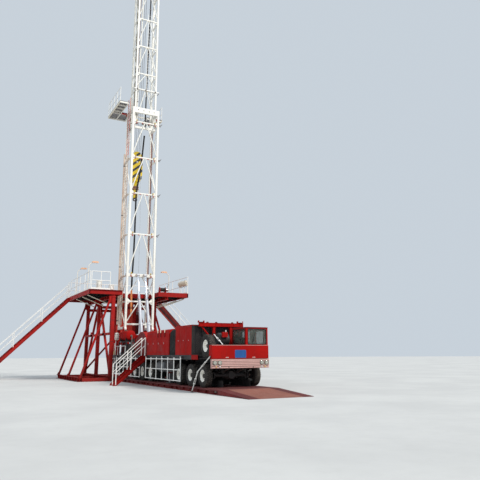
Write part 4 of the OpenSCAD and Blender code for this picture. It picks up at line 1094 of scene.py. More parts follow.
# ------------------------------------------------------------------ axles, knuckles and wheels
def make_axles():
    g = G().use("black")
    for y, single in AX:
        if single:
            g.lathe([(0, -0.80), (0.075, -0.80), (0.085, -0.70), (0.075, -0.45), (0.09, -0.36), (0.15, -0.24), (0.175, -0.12), (0.18, 0), (0.175, 0.12),
                     (0.15, 0.24), (0.09, 0.36), (0.075, 0.45), (0.085, 0.70), (0.075, 0.80), (0, 0.80)], (0, y, WZ), "x", 28)
            g.lathe([(0, 0), (0.10, 0), (0.16, -0.05), (0.17, -0.14), (0, -0.14)], (0, y - 0.06, WZ + 0.02), "y", 24)
            g.lathe([(0, 0), (0.075, 0), (0.075, 0.16), (0.05, 0.26), (0, 0.26)], (0, y + 0.12, WZ + 0.06), "y", 20)
            for k in range(10):
                q = 2 * pi * k / 10
                g.hexa((0.145 * cos(q), y - 0.198, WZ + 0.02 + 0.145 * sin(q)), (0, -1, 0), 0.012, 0.010, "iron")
            for s in (-1, 1):
                g.box(s * 0.77, s * 0.83, y - 0.08, y + 0.08, WZ - 0.135, WZ + 0.135, 0.012)
                for z in (-0.135, 0.105):
                    g.plate("z", (min(s * 0.77, s * 0.98), max(s * 0.77, s * 0.98), y - 0.07, y + 0.07), WZ + z, WZ + z + 0.03, 0.045, 5, 0.004)
                g.rod((s * 0.93, y, WZ - 0.142), (s * 0.93, y, WZ + 0.142), 0.0248, 16, "steel", 0.004)
                g.hexa((s * 0.93, y, WZ + 0.134), "z", 0.034, 0.018, "iron")
                g.beam((s * 0.36, y, WZ + 0.085), (s * 0.42, y, WZ + 0.085), 0.18, 0.03, 0.005, (0, 0, 1))
                # brake chamber
                g.lathe([(0, 0), (0.055, 0), (0.075, 0.02), (0.075, 0.045), (0.082, 0.05), (0.082, 0.06), (0.075, 0.065), (0.06, 0.11), (0, 0.115)],
                        (s * 0.56, y + 0.10, WZ + 0.16), (0, 0.5, 0.866), 20, "black_satin")
        else:
            g.lathe([(0, -1.34), (0.046, -1.34), (0.05, -1.33), (0.05, -0.74), (0.085, -0.735), (0.095, -0.5), (0.10, -0.34), (0.17, -0.24), (0.205, -0.12), (0.21, 0),
                     (0.205, 0.12), (0.17, 0.24), (0.10, 0.34), (0.095, 0.5), (0.085, 0.735), (0.05, 0.74), (0.05, 1.33), (0.046, 1.34), (0, 1.34)], (0, y, WZ), "x", 28)
            g.lathe([(0, 0), (0.12, 0), (0.19, 0.06), (0.20, 0.16), (0, 0.16)], (0, y + 0.06, WZ + 0.02), "y", 24)
            g.lathe([(0, 0), (0.08, 0), (0.08, -0.14), (0.05, -0.24), (0, -0.24)], (0, y - 0.14, WZ + 0.08), "y", 20)
            for k in range(12):
                q = 2 * pi * k / 12
                g.hexa((0.17 * cos(q), y + 0.218, WZ + 0.02 + 0.17 * sin(q)), (0, 1, 0), 0.013, 0.011, "iron")
            for s in (-1, 1):
                g.lathe([(0.055, 0.0), (0.19, 0.0), (0.20, s * 0.012), (0.20, s * 0.022), (0.055, s * 0.022)], (s * 0.715, y, WZ), "x", 32, "black_satin", closed=True)
                g.lathe([(0, 0), (0.06, 0), (0.085, 0.02), (0.085, 0.06), (0.093, 0.065), (0.093, 0.08), (0.085, 0.085), (0.085, 0.18), (0.06, 0.21), (0, 0.215)],
                        (s * 0.58, y + 0.12, WZ + 0.16), (0, 0.6, 0.8), 20, "black_satin")
                g.beam((s * 0.345, y, WZ + 0.095), (s * 0.435, y, WZ + 0.095), 0.2, 0.03, 0.005, (0, 0, 1))
    piece("axles_detail", g, "root", "axles", "chassis_black")


make_axles()


def make_knuckles():
    for i in range(3):
        for s, side in ((-1, "right"), (1, "left")):
            y = AX[i][0]
            g = G(TRUCK @ Matrix.Translation((s * 0.93, y, WZ))).use("black")
            g.lathe([(0.0256, -0.098), (0.05, -0.098), (0.054, -0.09), (0.054, 0.09), (0.05, 0.098), (0.0256, 0.098)], (0, 0, 0), "z", 24, closed=True)
            g.box(s * 0.03, s * 0.072, -0.058, 0.058, -0.094, 0.094, 0.01)
            g.lathe([(0, s * 0.06), (0.075, s * 0.06), (0.075, s * 0.085), (0.0495, s * 0.10), (0.0495, s * 0.395), (0.04, s * 0.41), (0, s * 0.41)], (0, 0, 0), "x", 24, "iron")
            # backing plate with shoes, inside the rim
            g.lathe([(0.0505, s * 0.150), (0.165, s * 0.150), (0.178, s * 0.160), (0.178, s * 0.172), (0.165, s * 0.166), (0.0505, s * 0.166)], (0, 0, 0), "x", 32, "black_satin", closed=True)
            for k in range(8):
                q = 2 * pi * k / 8
                g.hexa((s * 0.151, 0.13 * cos(q), 0.13 * sin(q)), (-s, 0, 0), 0.010, 0.009, "iron")
            piece("knuckle_%d_%s_detail" % (i + 1, side), g, "knuckle_%d_%s" % (i + 1, side), "knuckle_%d_%s" % (i + 1, side), "chassis_black")


make_knuckles()


def tyre(g, x, w, seg=64, blocks=30):
    """One tyre centred at x on the x axis, w wide."""
    h = w / 2
    k = w / 0.34
    prof = [(0.262, -h + 0.045 * k), (0.272, -h + 0.022 * k), (0.292, -h + 0.014 * k), (0.300, -h + 0.020 * k), (0.318, -h + 0.006 * k), (0.345, -h), (0.38, -h), (0.386, -h - 0.0),
            (0.392, -h + 0.004), (0.405, -h + 0.002), (0.43, -h + 0.010 * k), (0.452, -h + 0.022 * k), (0.474, -h + 0.034 * k), (0.487, -h + 0.058 * k), (0.4905, -h + 0.09 * k)]
    full = [(r, x + t) for r, t in prof] + [(0.492, x)] + [(r, x - t) for r, t in prof[::-1]] + [(0.252, x + h - 0.07 * k), (0.252, x - h + 0.07 * k)]
    g.lathe(full, (0, 0, 0), "x", seg, "tyre", closed=True)
    # tread: staggered shoulder lugs and two middle rows
    for n in range(blocks):
        for row, (a, b, off, wd) in enumerate(((-h + 0.028 * k, -0.058 * k, 0.0, 0.62), (-0.048 * k, -0.004 * k, 0.5, 0.74), (0.004 * k, 0.048 * k, 0.0, 0.74), (0.058 * k, h - 0.028 * k, 0.5, 0.62))):
            q0 = 2 * pi * (n + off) / blocks
            dq = 2 * pi / blocks * wd / 2
            sk = 0.035 * (1 if row < 2 else -1)
            v = []
            for t, r0 in ((a, 0.478 if row == 0 else 0.488), (b, 0.488 if row != 3 else 0.478)):
                qs = q0 + (sk if (t == a) == (row < 2) else 0)
                rt = 0.5045 if not ((row == 0 and t == a) or (row == 3 and t == b)) else 0.494
                for q in (qs - dq, qs + dq):
                    for r in (r0 - 0.004, rt):
                        qq = qs + (q - qs) * (1.0 if r < rt else 0.88)
                        v.append((x + t, r * cos(qq), r * sin(qq)))
            # corners: t a/b, q lo/hi, r low/high
            f = [(1, 5, 7, 3), (0, 1, 3, 2), (4, 6, 7, 5), (0, 4, 5, 1), (2, 3, 7, 6)]
            g.add(v, f, "tread")


def rim_single(g, hub="black"):
    """White dished rim, dish opening to +x."""
    g.lathe([(0.252, -0.135), (0.268, -0.140), (0.270, -0.132), (0.258, -0.124), (0.250, -0.09), (0.236, -0.07), (0.232, -0.02), (0.232, 0.05), (0.246, 0.09), (0.256, 0.118),
             (0.270, 0.132), (0.268, 0.141), (0.250, 0.137), (0.243, 0.115), (0.226, 0.055), (0.218, 0.02), (0.205, 0.012), (0.178, 0.028), (0.150, 0.034), (0.122, 0.030),
             (0.112, 0.018), (0.112, 0.002), (0.16, 0.004), (0.205, -0.008), (0.222, -0.02), (0.222, -0.07), (0.238, -0.10)], (0, 0, 0), "x", 56, "white_rim", closed=True)
    # hub with its cap
    g.lathe([(0.0515, -0.06), (0.105, -0.06), (0.112, -0.05), (0.112, 0.035), (0.100, 0.05), (0.098, 0.085), (0.085, 0.10), (0.060, 0.108), (0, 0.110)][::1] + [(0, 0.09), (0.0515, 0.09)], (0, 0, 0), "x", 36, hub, closed=True)
    for k in range(10):
        q = 2 * pi * k / 10
        g.hexa((0.031, 0.150 * cos(q), 0.150 * sin(q)), "x", 0.0165, 0.024, "iron")
        g.rod((0.05, 0.150 * cos(q), 0.150 * sin(q)), (0.064, 0.150 * cos(q), 0.150 * sin(q)), 0.008, 8, "iron")
    for k in range(6):
        q = 2 * pi * (k + 0.5) / 6
        g.hexa((0.084, 0.088 * cos(q), 0.088 * sin(q)), "x", 0.008, 0.018, "iron")
    g.rod((0.13, 0.236, 0.0), (0.155, 0.231, 0.0), 0.005, 8, "iron")


def rim_twin(g):
    """Two rims back to back: the outer one is deep, with the hub standing out of it."""
    for x, d in ((-0.17, -1), (0.17, 1)):
        g.lathe([(0.252, x - d * 0.122), (0.266, x - d * 0.126), (0.256, x - d * 0.10), (0.240, x - d * 0.06), (0.236, x), (0.246, x + d * 0.07), (0.256, x + d * 0.10), (0.270, x + d * 0.118),
                 (0.268, x + d * 0.127), (0.250, x + d * 0.123), (0.240, x + d * 0.09), (0.226, x + d * 0.03), (0.224, x - d * 0.06), (0.215, x - d * 0.10), (0.150, x - d * 0.112),
                 (0.118, x - d * 0.112), (0.118, x - d * 0.128), (0.19, x - d * 0.130), (0.228, x - d * 0.126)], (0, 0, 0), "x", 56, "white_rim", closed=True)
    g.lathe([(0.0515, -0.06), (0.11, -0.06), (0.14, -0.05), (0.14, 0.05), (0.12, 0.07), (0.118, 0.19), (0.105, 0.225), (0.07, 0.236), (0, 0.238), (0, 0.20), (0.0515, 0.20)], (0, 0, 0), "x", 36, "white_rim", closed=True)
    for k in range(10):
        q = 2 * pi * k / 10
        g.hexa((0.056, 0.165 * cos(q), 0.165 * sin(q)), "x", 0.0165, 0.026, "iron")
    for k in range(8):
        q = 2 * pi * (k + 0.5) / 8
        g.hexa((0.205, 0.095 * cos(q), 0.095 * sin(q)), (1, 0, 0.0), 0.008, 0.022, "iron")
    g.lathe([(0, 0), (0.03, 0), (0.03, 0.012), (0, 0.014)], (0.236, 0, 0), "x", 16, "iron")
    # brake drum on the inner side
    g.lathe([(0.10, -0.34), (0.188, -0.34), (0.196, -0.33), (0.196, -0.16), (0.188, -0.15), (0.10, -0.15)], (0, 0, 0), "x", 40, "iron", closed=True)


def make_wheels():
    g1 = G(Matrix.Identity(4))
    tyre(g1, 0.0, 0.34)
    rim_single(g1)
    g1.lathe([(0.10, -0.055), (0.188, -0.06), (0.196, -0.05), (0.196, -0.012), (0.10, -0.010)], (0, 0, 0), "x", 40, "iron", closed=True)
    g2 = G(Matrix.Identity(4))
    tyre(g2, -0.17, 0.296, 64, 30)
    tyre(g2, 0.17, 0.296, 64, 30)
    rim_twin(g2)
    first = {}
    for i in range(6):
        single = AX[i][1]
        for s, side in ((-1, "right"), (1, "left")):
            node = "wheel_%d_%s" % (i + 1, side)
            m = TRUCK @ Matrix.Translation((s * (1.24 if single else 1.09), AX[i][0], WZ))
            turn = Matrix.Rotation(rad(11 * i + (7 if s > 0 else 0)), 4, "X")
            m = m @ (Matrix.Rotation(pi, 4, "Z") if s < 0 else Matrix.Identity(4)) @ turn
            if single not in first:
                first[single] = piece(node + "_detail", g1 if single else g2, node, node, "tyre", 30, m)
            else:
                again(node + "_detail", first[single], node, m, node, "tyre")
    # spare wheel, its dish to the right side
    g = G(TRUCK @ Matrix.Translation((-1.25, 0.8, 2.04)) @ Matrix.Rotation(pi, 4, "Z"))
    tyre(g, 0.0, 0.34)
    g.lathe([(0.252, -0.135), (0.268, -0.140), (0.270, -0.132), (0.258, -0.124), (0.250, -0.09), (0.236, -0.07), (0.232, -0.02), (0.232, 0.05), (0.246, 0.09), (0.256, 0.118),
             (0.270, 0.132), (0.268, 0.141), (0.250, 0.137), (0.243, 0.115), (0.226, 0.055), (0.218, 0.03), (0.205, 0.024), (0.178, 0.036), (0.150, 0.040), (0.108, 0.038),
             (0.100, 0.030), (0.0605, 0.028), (0.0605, 0.012), (0.16, 0.014), (0.205, 0.002), (0.222, -0.02), (0.222, -0.07), (0.238, -0.10)], (0, 0, 0), "x", 56, "white_rim", closed=True)
    for k in range(10):
        q = 2 * pi * k / 10
        g.disc((0.0385, 0.150 * cos(q), 0.150 * sin(q)), "x", 0.015, 0.004, 14, 0.001, "iron")
    g.lathe([(0.059, 0.03), (0.095, 0.03), (0.095, 0.042), (0.059, 0.046)], (0, 0, 0), "x", 28, "iron", closed=True)
    # its carrier: welded post with a gusset and the stub
    g.stack = [np.array(TRUCK)]
    g.box(-1.06, -0.76, 0.745, 0.855, 1.482, 2.10, 0.012, "red")
    g.prism("y", [(-0.76, 1.49), (-0.50, 1.49), (-0.76, 1.95)], 0.79, 0.81, "red")
    g.box(-1.12, -0.70, 0.70, 0.90, 1.481, 1.50, 0.004, "red")
    g.rod((-1.33, 0.8, 2.04), (-1.03, 0.8, 2.04), 0.058, 20, "iron", 0.006)
    g.disc((-1.07, 0.8, 2.04), "x", 0.14, 0.024, 24, 0.004, "iron")
    piece("spare_wheel_detail", g, "root", "spare_wheel", "tyre", 30)


make_wheels()

# ------------------------------------------------------------------ cab
HINGES = (1.72, 2.56)


def gasket(g, axis, q, t, w=0.022, d=0.012, r=0.04, m="gasket"):
    """Rubber rim around a window; q = (u0, u1, v0, v1), t = place of the wall's face, d = how far it stands out."""
    u0, u1, v0, v1 = q
    g.frame(axis, (u0 - w * 0.5, u1 + w * 0.5, v0 - w * 0.5, v1 + w * 0.5), (u0 + w * 0.6, u1 - w * 0.6, v0 + w * 0.6, v1 - w * 0.6), t, t + d, r + w * 0.5, r - 0.01, 4, m)


def make_cab():
    g = G().use("red")
    g.frame("y", (0.300, 1.450, 1.482, 2.85), (0.400, 1.370, 2.110, 2.790), 0.060, 0.105, 0.03, 0.045, 4)
    g.frame("x", (0.106, 1.424, 1.482, 2.85), (0.180, 1.360, 2.110, 2.790), 0.300, 0.345, 0.004, 0.045, 4)
    g.frame("y", (0.300, 1.450, 1.482, 2.85), (0.450, 1.300, 2.150, 2.740), 1.425, 1.470, 0.03, 0.045, 4)
    g.frame("x", (0.106, 1.424, 1.482, 2.85), (0.330, 1.230, 1.600, 2.800), 1.405, 1.450, 0.004, 0.03, 4)
    g.box(0.346, 1.404, 0.106, 1.424, 1.484, 1.548, 0.004)
    g.box(0.346, 1.404, 0.106, 1.424, 2.822, 2.85, 0.003)
    # roof with a gutter and two ribs
    g.plate("z", (0.290, 1.465, 0.030, 1.490), 2.85, 2.872, 0.04, 5, 0.006, "red_dark")
    g.plate("z", (0.33, 1.425, 0.07, 1.45), 2.868, 2.88, 0.05, 5, 0.006, "red_dark")
    g.box(0.294, 1.461, 0.034, 0.046, 2.838, 2.852, 0.003, "red_dark")
    for x in (0.55, 0.88, 1.2):
        g.box(x - 0.02, x + 0.02, 0.10, 1.42, 2.876, 2.8799, 0.001, "red_dark")
    # pressed line under the windows
    g.box(0.306, 1.444, 0.052, 0.064, 2.048, 2.066, 0.003)
    g.box(0.293, 0.304, 0.12, 1.41, 2.048, 2.066, 0.003)
    gasket(g, "y", (0.400, 1.370, 2.110, 2.790), 0.060, 0.026, -0.009)
    gasket(g, "x", (0.180, 1.360, 2.110, 2.790), 0.300, 0.026, -0.009)
    gasket(g, "y", (0.450, 1.300, 2.150, 2.740), 1.470, 0.026, 0.009)
    g.frame("x", (0.318, 1.242, 1.588, 2.812), (0.345, 1.215, 1.615, 2.785), 1.398, 1.406, 0.03, 0.02, 4, "gasket")
    # wipers at the front window's lower edge
    for x, s in ((0.62, 1), (1.16, 1)):
        g.disc((x, 0.044, 2.075), "y", 0.022, 0.03, 16, 0.004, "black_satin")
        g.tube([(x, 0.034, 2.075), (x + 0.05 * s, 0.030, 2.24), (x + 0.10 * s, 0.036, 2.42)], 0.006, 8, "black_satin")
        g.beam((x + 0.02 * s, 0.045, 2.18), (x + 0.17 * s, 0.045, 2.63), 0.010, 0.016, 0.002, None, "gasket")
    # lining, dash, wheel and levers inside
    g.use("trim")
    g.box(0.348, 0.358, 0.12, 1.41, 1.56, 2.09, 0.002)
    g.box(0.36, 1.39, 1.412, 1.422, 1.56, 2.13, 0.002)
    g.box(0.36, 1.39, 0.12, 1.41, 2.810, 2.820, 0.002)
    g.box(0.36, 1.39, 0.12, 1.41, 1.549, 1.560, 0.002, "gasket")
    g.prism("x", [(0.108, 1.95), (0.108, 2.10), (0.20, 2.105), (0.34, 2.04), (0.36, 1.90), (0.24, 1.82), (0.108, 1.86)], 0.37, 1.385, "trim")
    for k in range(4):
        x = 0.74 + 0.115 * k
        g.lathe([(0, 0), (0.040, 0), (0.044, 0.006), (0.040, 0.010), (0, 0.008)], (x, 0.318, 2.01), (0, 0.62, 0.78), 20, "black_satin")
        g.lathe([(0, 0.0085), (0.034, 0.0105), (0, 0.011)], (x, 0.318, 2.01), (0, 0.62, 0.78), 20, "lens_white")
    g.box(0.42, 0.66, 0.30, 0.36, 1.93, 2.02, 0.01, "black_satin")
    for k in range(6):
        g.disc((0.445 + 0.038 * k, 0.364, 1.975), "y", 0.010, 0.02, 12, 0.002, "steel")
    # steering column and wheel
    c = Vector((0.88, 0.52, 2.10))
    ax = Vector((0, 0.42, 0.907)).normalized()
    g.rod(tuple(c - ax * 0.42), tuple(c), 0.028, 16, "black_satin", 0.004)
    g.ring(tuple(c), tuple(ax), 0.215, 0.014, 40, 10, "black_satin")
    e1 = Vector((1, 0, 0))
    e2 = ax.cross(e1)
    for a in (90, 210, 330):
        d = e1 * cos(rad(a)) + e2 * sin(rad(a))
        g.beam(tuple(c - ax * 0.02 + d * 0.03), tuple(c + d * 0.205), 0.03, 0.010, 0.003, None, "black_satin")
    g.lathe([(0, -0.03), (0.05, -0.03), (0.055, 0.0), (0.03, 0.018), (0, 0.02)], tuple(c), tuple(ax), 20, "black_satin")
    # pedals
    for k, x in enumerate((0.74, 0.88, 1.03)):
        g.beam((x, 0.24, 1.80), (x, 0.34, 1.62), 0.018, 0.018, 0.003, None, "iron")
        g.box(x - 0.035, x + 0.035, 0.33, 0.345, 1.58, 1.68, 0.003, "gasket")
    # levers beside the seat
    for k, (x, y) in enumerate(((0.50, 0.72), (0.56, 0.74), (0.62, 0.70))):
        g.rod((x, y, 1.56), (x + 0.01, y - 0.05, 1.98), 0.009, 10, "steel", 0.002)
        g.lathe([(0, -0.02), (0.018, -0.014), (0.024, 0.006), (0.016, 0.024), (0, 0.028)], (x + 0.01, y - 0.05, 2.0), (0, 0, 1), 16, "black_satin")
    g.box(0.44, 0.68, 0.62, 0.84, 1.56, 1.60, 0.006, "black_satin")
    # seat base
    g.box(0.72, 1.04, 0.86, 1.20, 1.56, 1.60, 0.01, "black_satin")
    g.lathe([(0.16, 0), (0.15, 0.04), (0.13, 0.05), (0.13, 0.07), (0.15, 0.08), (0.16, 0.11), (0.15, 0.14), (0.13, 0.15), (0.13, 0.17), (0.16, 0.18), (0.16, 0.20), (0, 0.20), (0, 0)], (0.88, 1.03, 1.60), "z", 28, "gasket")
    g.box(0.66, 1.10, 0.80, 1.24, 1.80, 1.83, 0.01, "black_satin")
    g.box(0.70, 1.06, 1.23, 1.26, 1.82, 2.44, 0.012, "black_satin")
    # extinguisher and heater box
    g.lathe([(0, 0), (0.05, 0), (0.055, 0.01), (0.055, 0.30), (0.035, 0.34), (0.015, 0.35), (0.015, 0.38), (0, 0.38)], (0.43, 1.28, 1.56), "z", 20, "red")
    g.box(1.16, 1.38, 1.16, 1.40, 1.56, 1.78, 0.015, "trim")
    # grab rail in front of the door, on two feet
    g.tube([(1.452, 0.215, 1.80), (1.488, 0.215, 1.80), (1.500, 0.215, 1.815), (1.500, 0.215, 2.585), (1.488, 0.215, 2.60), (1.452, 0.215, 2.60)], 0.014, 12, "white_rail")
    for z in (1.80, 2.60):
        g.disc((1.456, 0.215, z), "x", 0.032, 0.012, 16, 0.002, "white_rail")
        for d in (-0.02, 0.02):
            g.hexa((1.461, 0.215, z + d), "x", 0.006, 0.005, "iron")
    g.tube([(1.452, 1.33, 1.70), (1.492, 1.33, 1.70), (1.500, 1.33, 1.715), (1.500, 1.33, 2.485), (1.492, 1.33, 2.50), (1.452, 1.33, 2.50)], 0.014, 12, "white_rail")
    # hinge lugs and pins
    for z in HINGES:
        for o in (-0.032, 0.082):
            g.lathe([(0, 0), (0.013, 0), (0.013, 0.030), (0, 0.030)], (1.465, 0.335, z + o), "z", 16, "red")
            g.box(1.446, 1.458, 0.242, 0.322, z + o + 0.001, z + o + 0.029, 0.003, "red")
            g.box(1.450, 1.461, 0.318, 0.334, z + o + 0.001, z + o + 0.029, 0.002, "red")
            for y in (0.262, 0.296):
                g.hexa((1.457, y, z + o + 0.015), "x", 0.006, 0.005, "iron")
        g.rod((1.465, 0.335, z - 0.031), (1.465, 0.335, z + 0.111), 0.0058, 10, "steel", 0.001)
    # seams and rivet rows
    for z in (1.56, 2.835):
        for k in range(13):
            g.disc((0.34 + 0.088 * k, 0.0590, z), "y", 0.006, 0.004, 8, 0.001, "red_dark")
    for k in range(14):
        g.disc((0.2992, 0.14 + 0.094 * k, 2.835), "x", 0.006, 0.004, 8, 0.001, "red_dark")
    piece("cab_detail", g, "root", "cab", "signal_red")

    g = G()
    g.plate("y", (0.404, 1.366, 2.114, 2.786), 0.078, 0.086, 0.04, 4, 0.001, "glass")
    g.plate("x", (0.184, 1.356, 2.114, 2.786), 0.318, 0.326, 0.04, 4, 0.001, "glass")
    g.plate("y", (0.454, 1.296, 2.154, 2.736), 1.443, 1.451, 0.04, 4, 0.001, "glass")
    piece("cab_glass_detail", g, "root", "cab_glass", "window_glass")

    g = G().use("red")
    g.frame("x", (0.336, 1.224, 1.606, 2.794), (0.420, 1.140, 2.130, 2.720), 1.405, 1.4495, 0.03, 0.045, 4)
    g.frame("x", (0.352, 1.208, 1.622, 2.09), (0.42, 1.14, 1.69, 2.03), 1.4485, 1.4535, 0.03, 0.03, 4)
    gasket(g, "x", (0.420, 1.140, 2.130, 2.720), 1.4485, 0.022, 0.008)
    g.plate("x", (0.424, 1.136, 2.134, 2.716), 1.424, 1.430, 0.04, 4, 0.001, "glass")
    for z in HINGES:
        g.lathe([(0.0061, 0), (0.013, 0), (0.013, 0.080), (0.0061, 0.080)], (1.465, 0.335, z), "z", 16, "red", closed=True)
        g.box(1.450, 1.461, 0.340, 0.413, z + 0.002, z + 0.078, 0.003)
        for y in (0.362, 0.392):
            for o in (0.02, 0.06):
                g.hexa((1.460, y, z + o), "x", 0.006, 0.005, "iron")
    g.box(1.452, 1.462, 1.12, 1.19, 1.98, 2.06, 0.004, "black_satin")
    g.tube([(1.456, 1.135, 2.04), (1.484, 1.135, 2.04), (1.488, 1.13, 2.04), (1.488, 1.02, 2.035)], 0.008, 10, "chrome")
    g.box(1.398, 1.406, 0.40, 1.16, 1.66, 2.05, 0.003, "trim")
    g.tube([(1.398, 0.62, 1.98), (1.372, 0.62, 1.98), (1.366, 0.63, 1.98), (1.366, 0.93, 1.98), (1.372, 0.94, 1.98), (1.398, 0.94, 1.98)], 0.008, 10, "black_satin")
    piece("cab_door_detail", g, "cab_door", "cab_door", "signal_red")


make_cab()


def crowned(name, x0, x1, y0, y1, z0, z1, channels, axis="z", lean=0.0):
    """Stuffed cushion: a crowned closed form whose sides pull in between the corners, with sewn channels across it."""
    n, m = 36, 36
    v, f = [], []
    cx, cy, cz = (x0 + x1) / 2, (y0 + y1) / 2, (z0 + z1) / 2
    hx, hy, hz = (x1 - x0) / 2, (y1 - y0) / 2, (z1 - z0) / 2

    def top(u, w, s):
        ex = (1 - abs(u) ** 5) ** 0.5 if abs(u) < 1 else 0.0
        ey = (1 - abs(w) ** 5) ** 0.5 if abs(w) < 1 else 0.0
        h = 0.42 + 0.58 * (1 - u * u) ** 0.35 * (1 - w * w) ** 0.35 if abs(u) < 1 and abs(w) < 1 else 0.0
        e = min(ex, ey)
        groove = 0.0
        for c in channels:
            groove += 0.16 * math.exp(-((w - c) / 0.035) ** 2)
        soft = 0.012 * sin(9 * u + 2.2) * sin(7 * w + 1.1)
        return s * (h * e * (1 - (groove if s > 0 else 0)) + (soft * e if s > 0 else 0))
    for s in (1, -1):
        for i in range(n + 1):
            for j in range(m + 1):
                u, w = -cos(pi * i / n), -cos(pi * j / m)
                bu = 1 - 0.03 * (1 - w * w)
                bw = 1 - 0.03 * (1 - u * u)
                t = top(u, w, s)
                p = [u * hx * (1 if abs(u) < 0.9 else bu), w * hy * (1 if abs(w) < 0.9 else bw), hz * (t if s > 0 else t * 0.9)]
                if axis == "y":
                    p = [p[0], -p[2], p[1]]
                v.append((cx + p[0], cy + p[1] + lean * p[2], cz + p[2]))
    k = (n + 1) * (m + 1)
    for s in (0, 1):
        for i in range(n):
            for j in range(m):
                a = s * k + i * (m + 1) + j
                q = (a, a + m + 1, a + m + 2, a + 1)
                f.append(q if (s == 0) != (axis == "zz") else q[::-1])
    g = G()
    # close the rim
    def idx(s, i, j):
        return s * k + i * (m + 1) + j
    for j in range(m):
        f.append((idx(0, 0, j), idx(0, 0, j + 1), idx(1, 0, j + 1), idx(1, 0, j)))
        f.append((idx(0, n, j + 1), idx(0, n, j), idx(1, n, j), idx(1, n, j + 1)))
    for i in range(n):
        f.append((idx(0, i + 1, 0), idx(0, i, 0), idx(1, i, 0), idx(1, i + 1, 0)))
        f.append((idx(0, i, m), idx(0, i + 1, m), idx(1, i + 1, m), idx(1, i, m)))
    g.add(v, f, "vinyl")
    o = piece(name, g, "root", angle=60)
    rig.padded(o, 0.75)
    return o


crowned("seat_cushion", 0.67, 1.09, 0.80, 1.23, 1.825, 1.945, (-0.33, 0.33))
crowned("seat_back", 0.69, 1.07, 1.13, 1.245, 1.94, 2.48, (-0.5, 0.0, 0.5), "y")


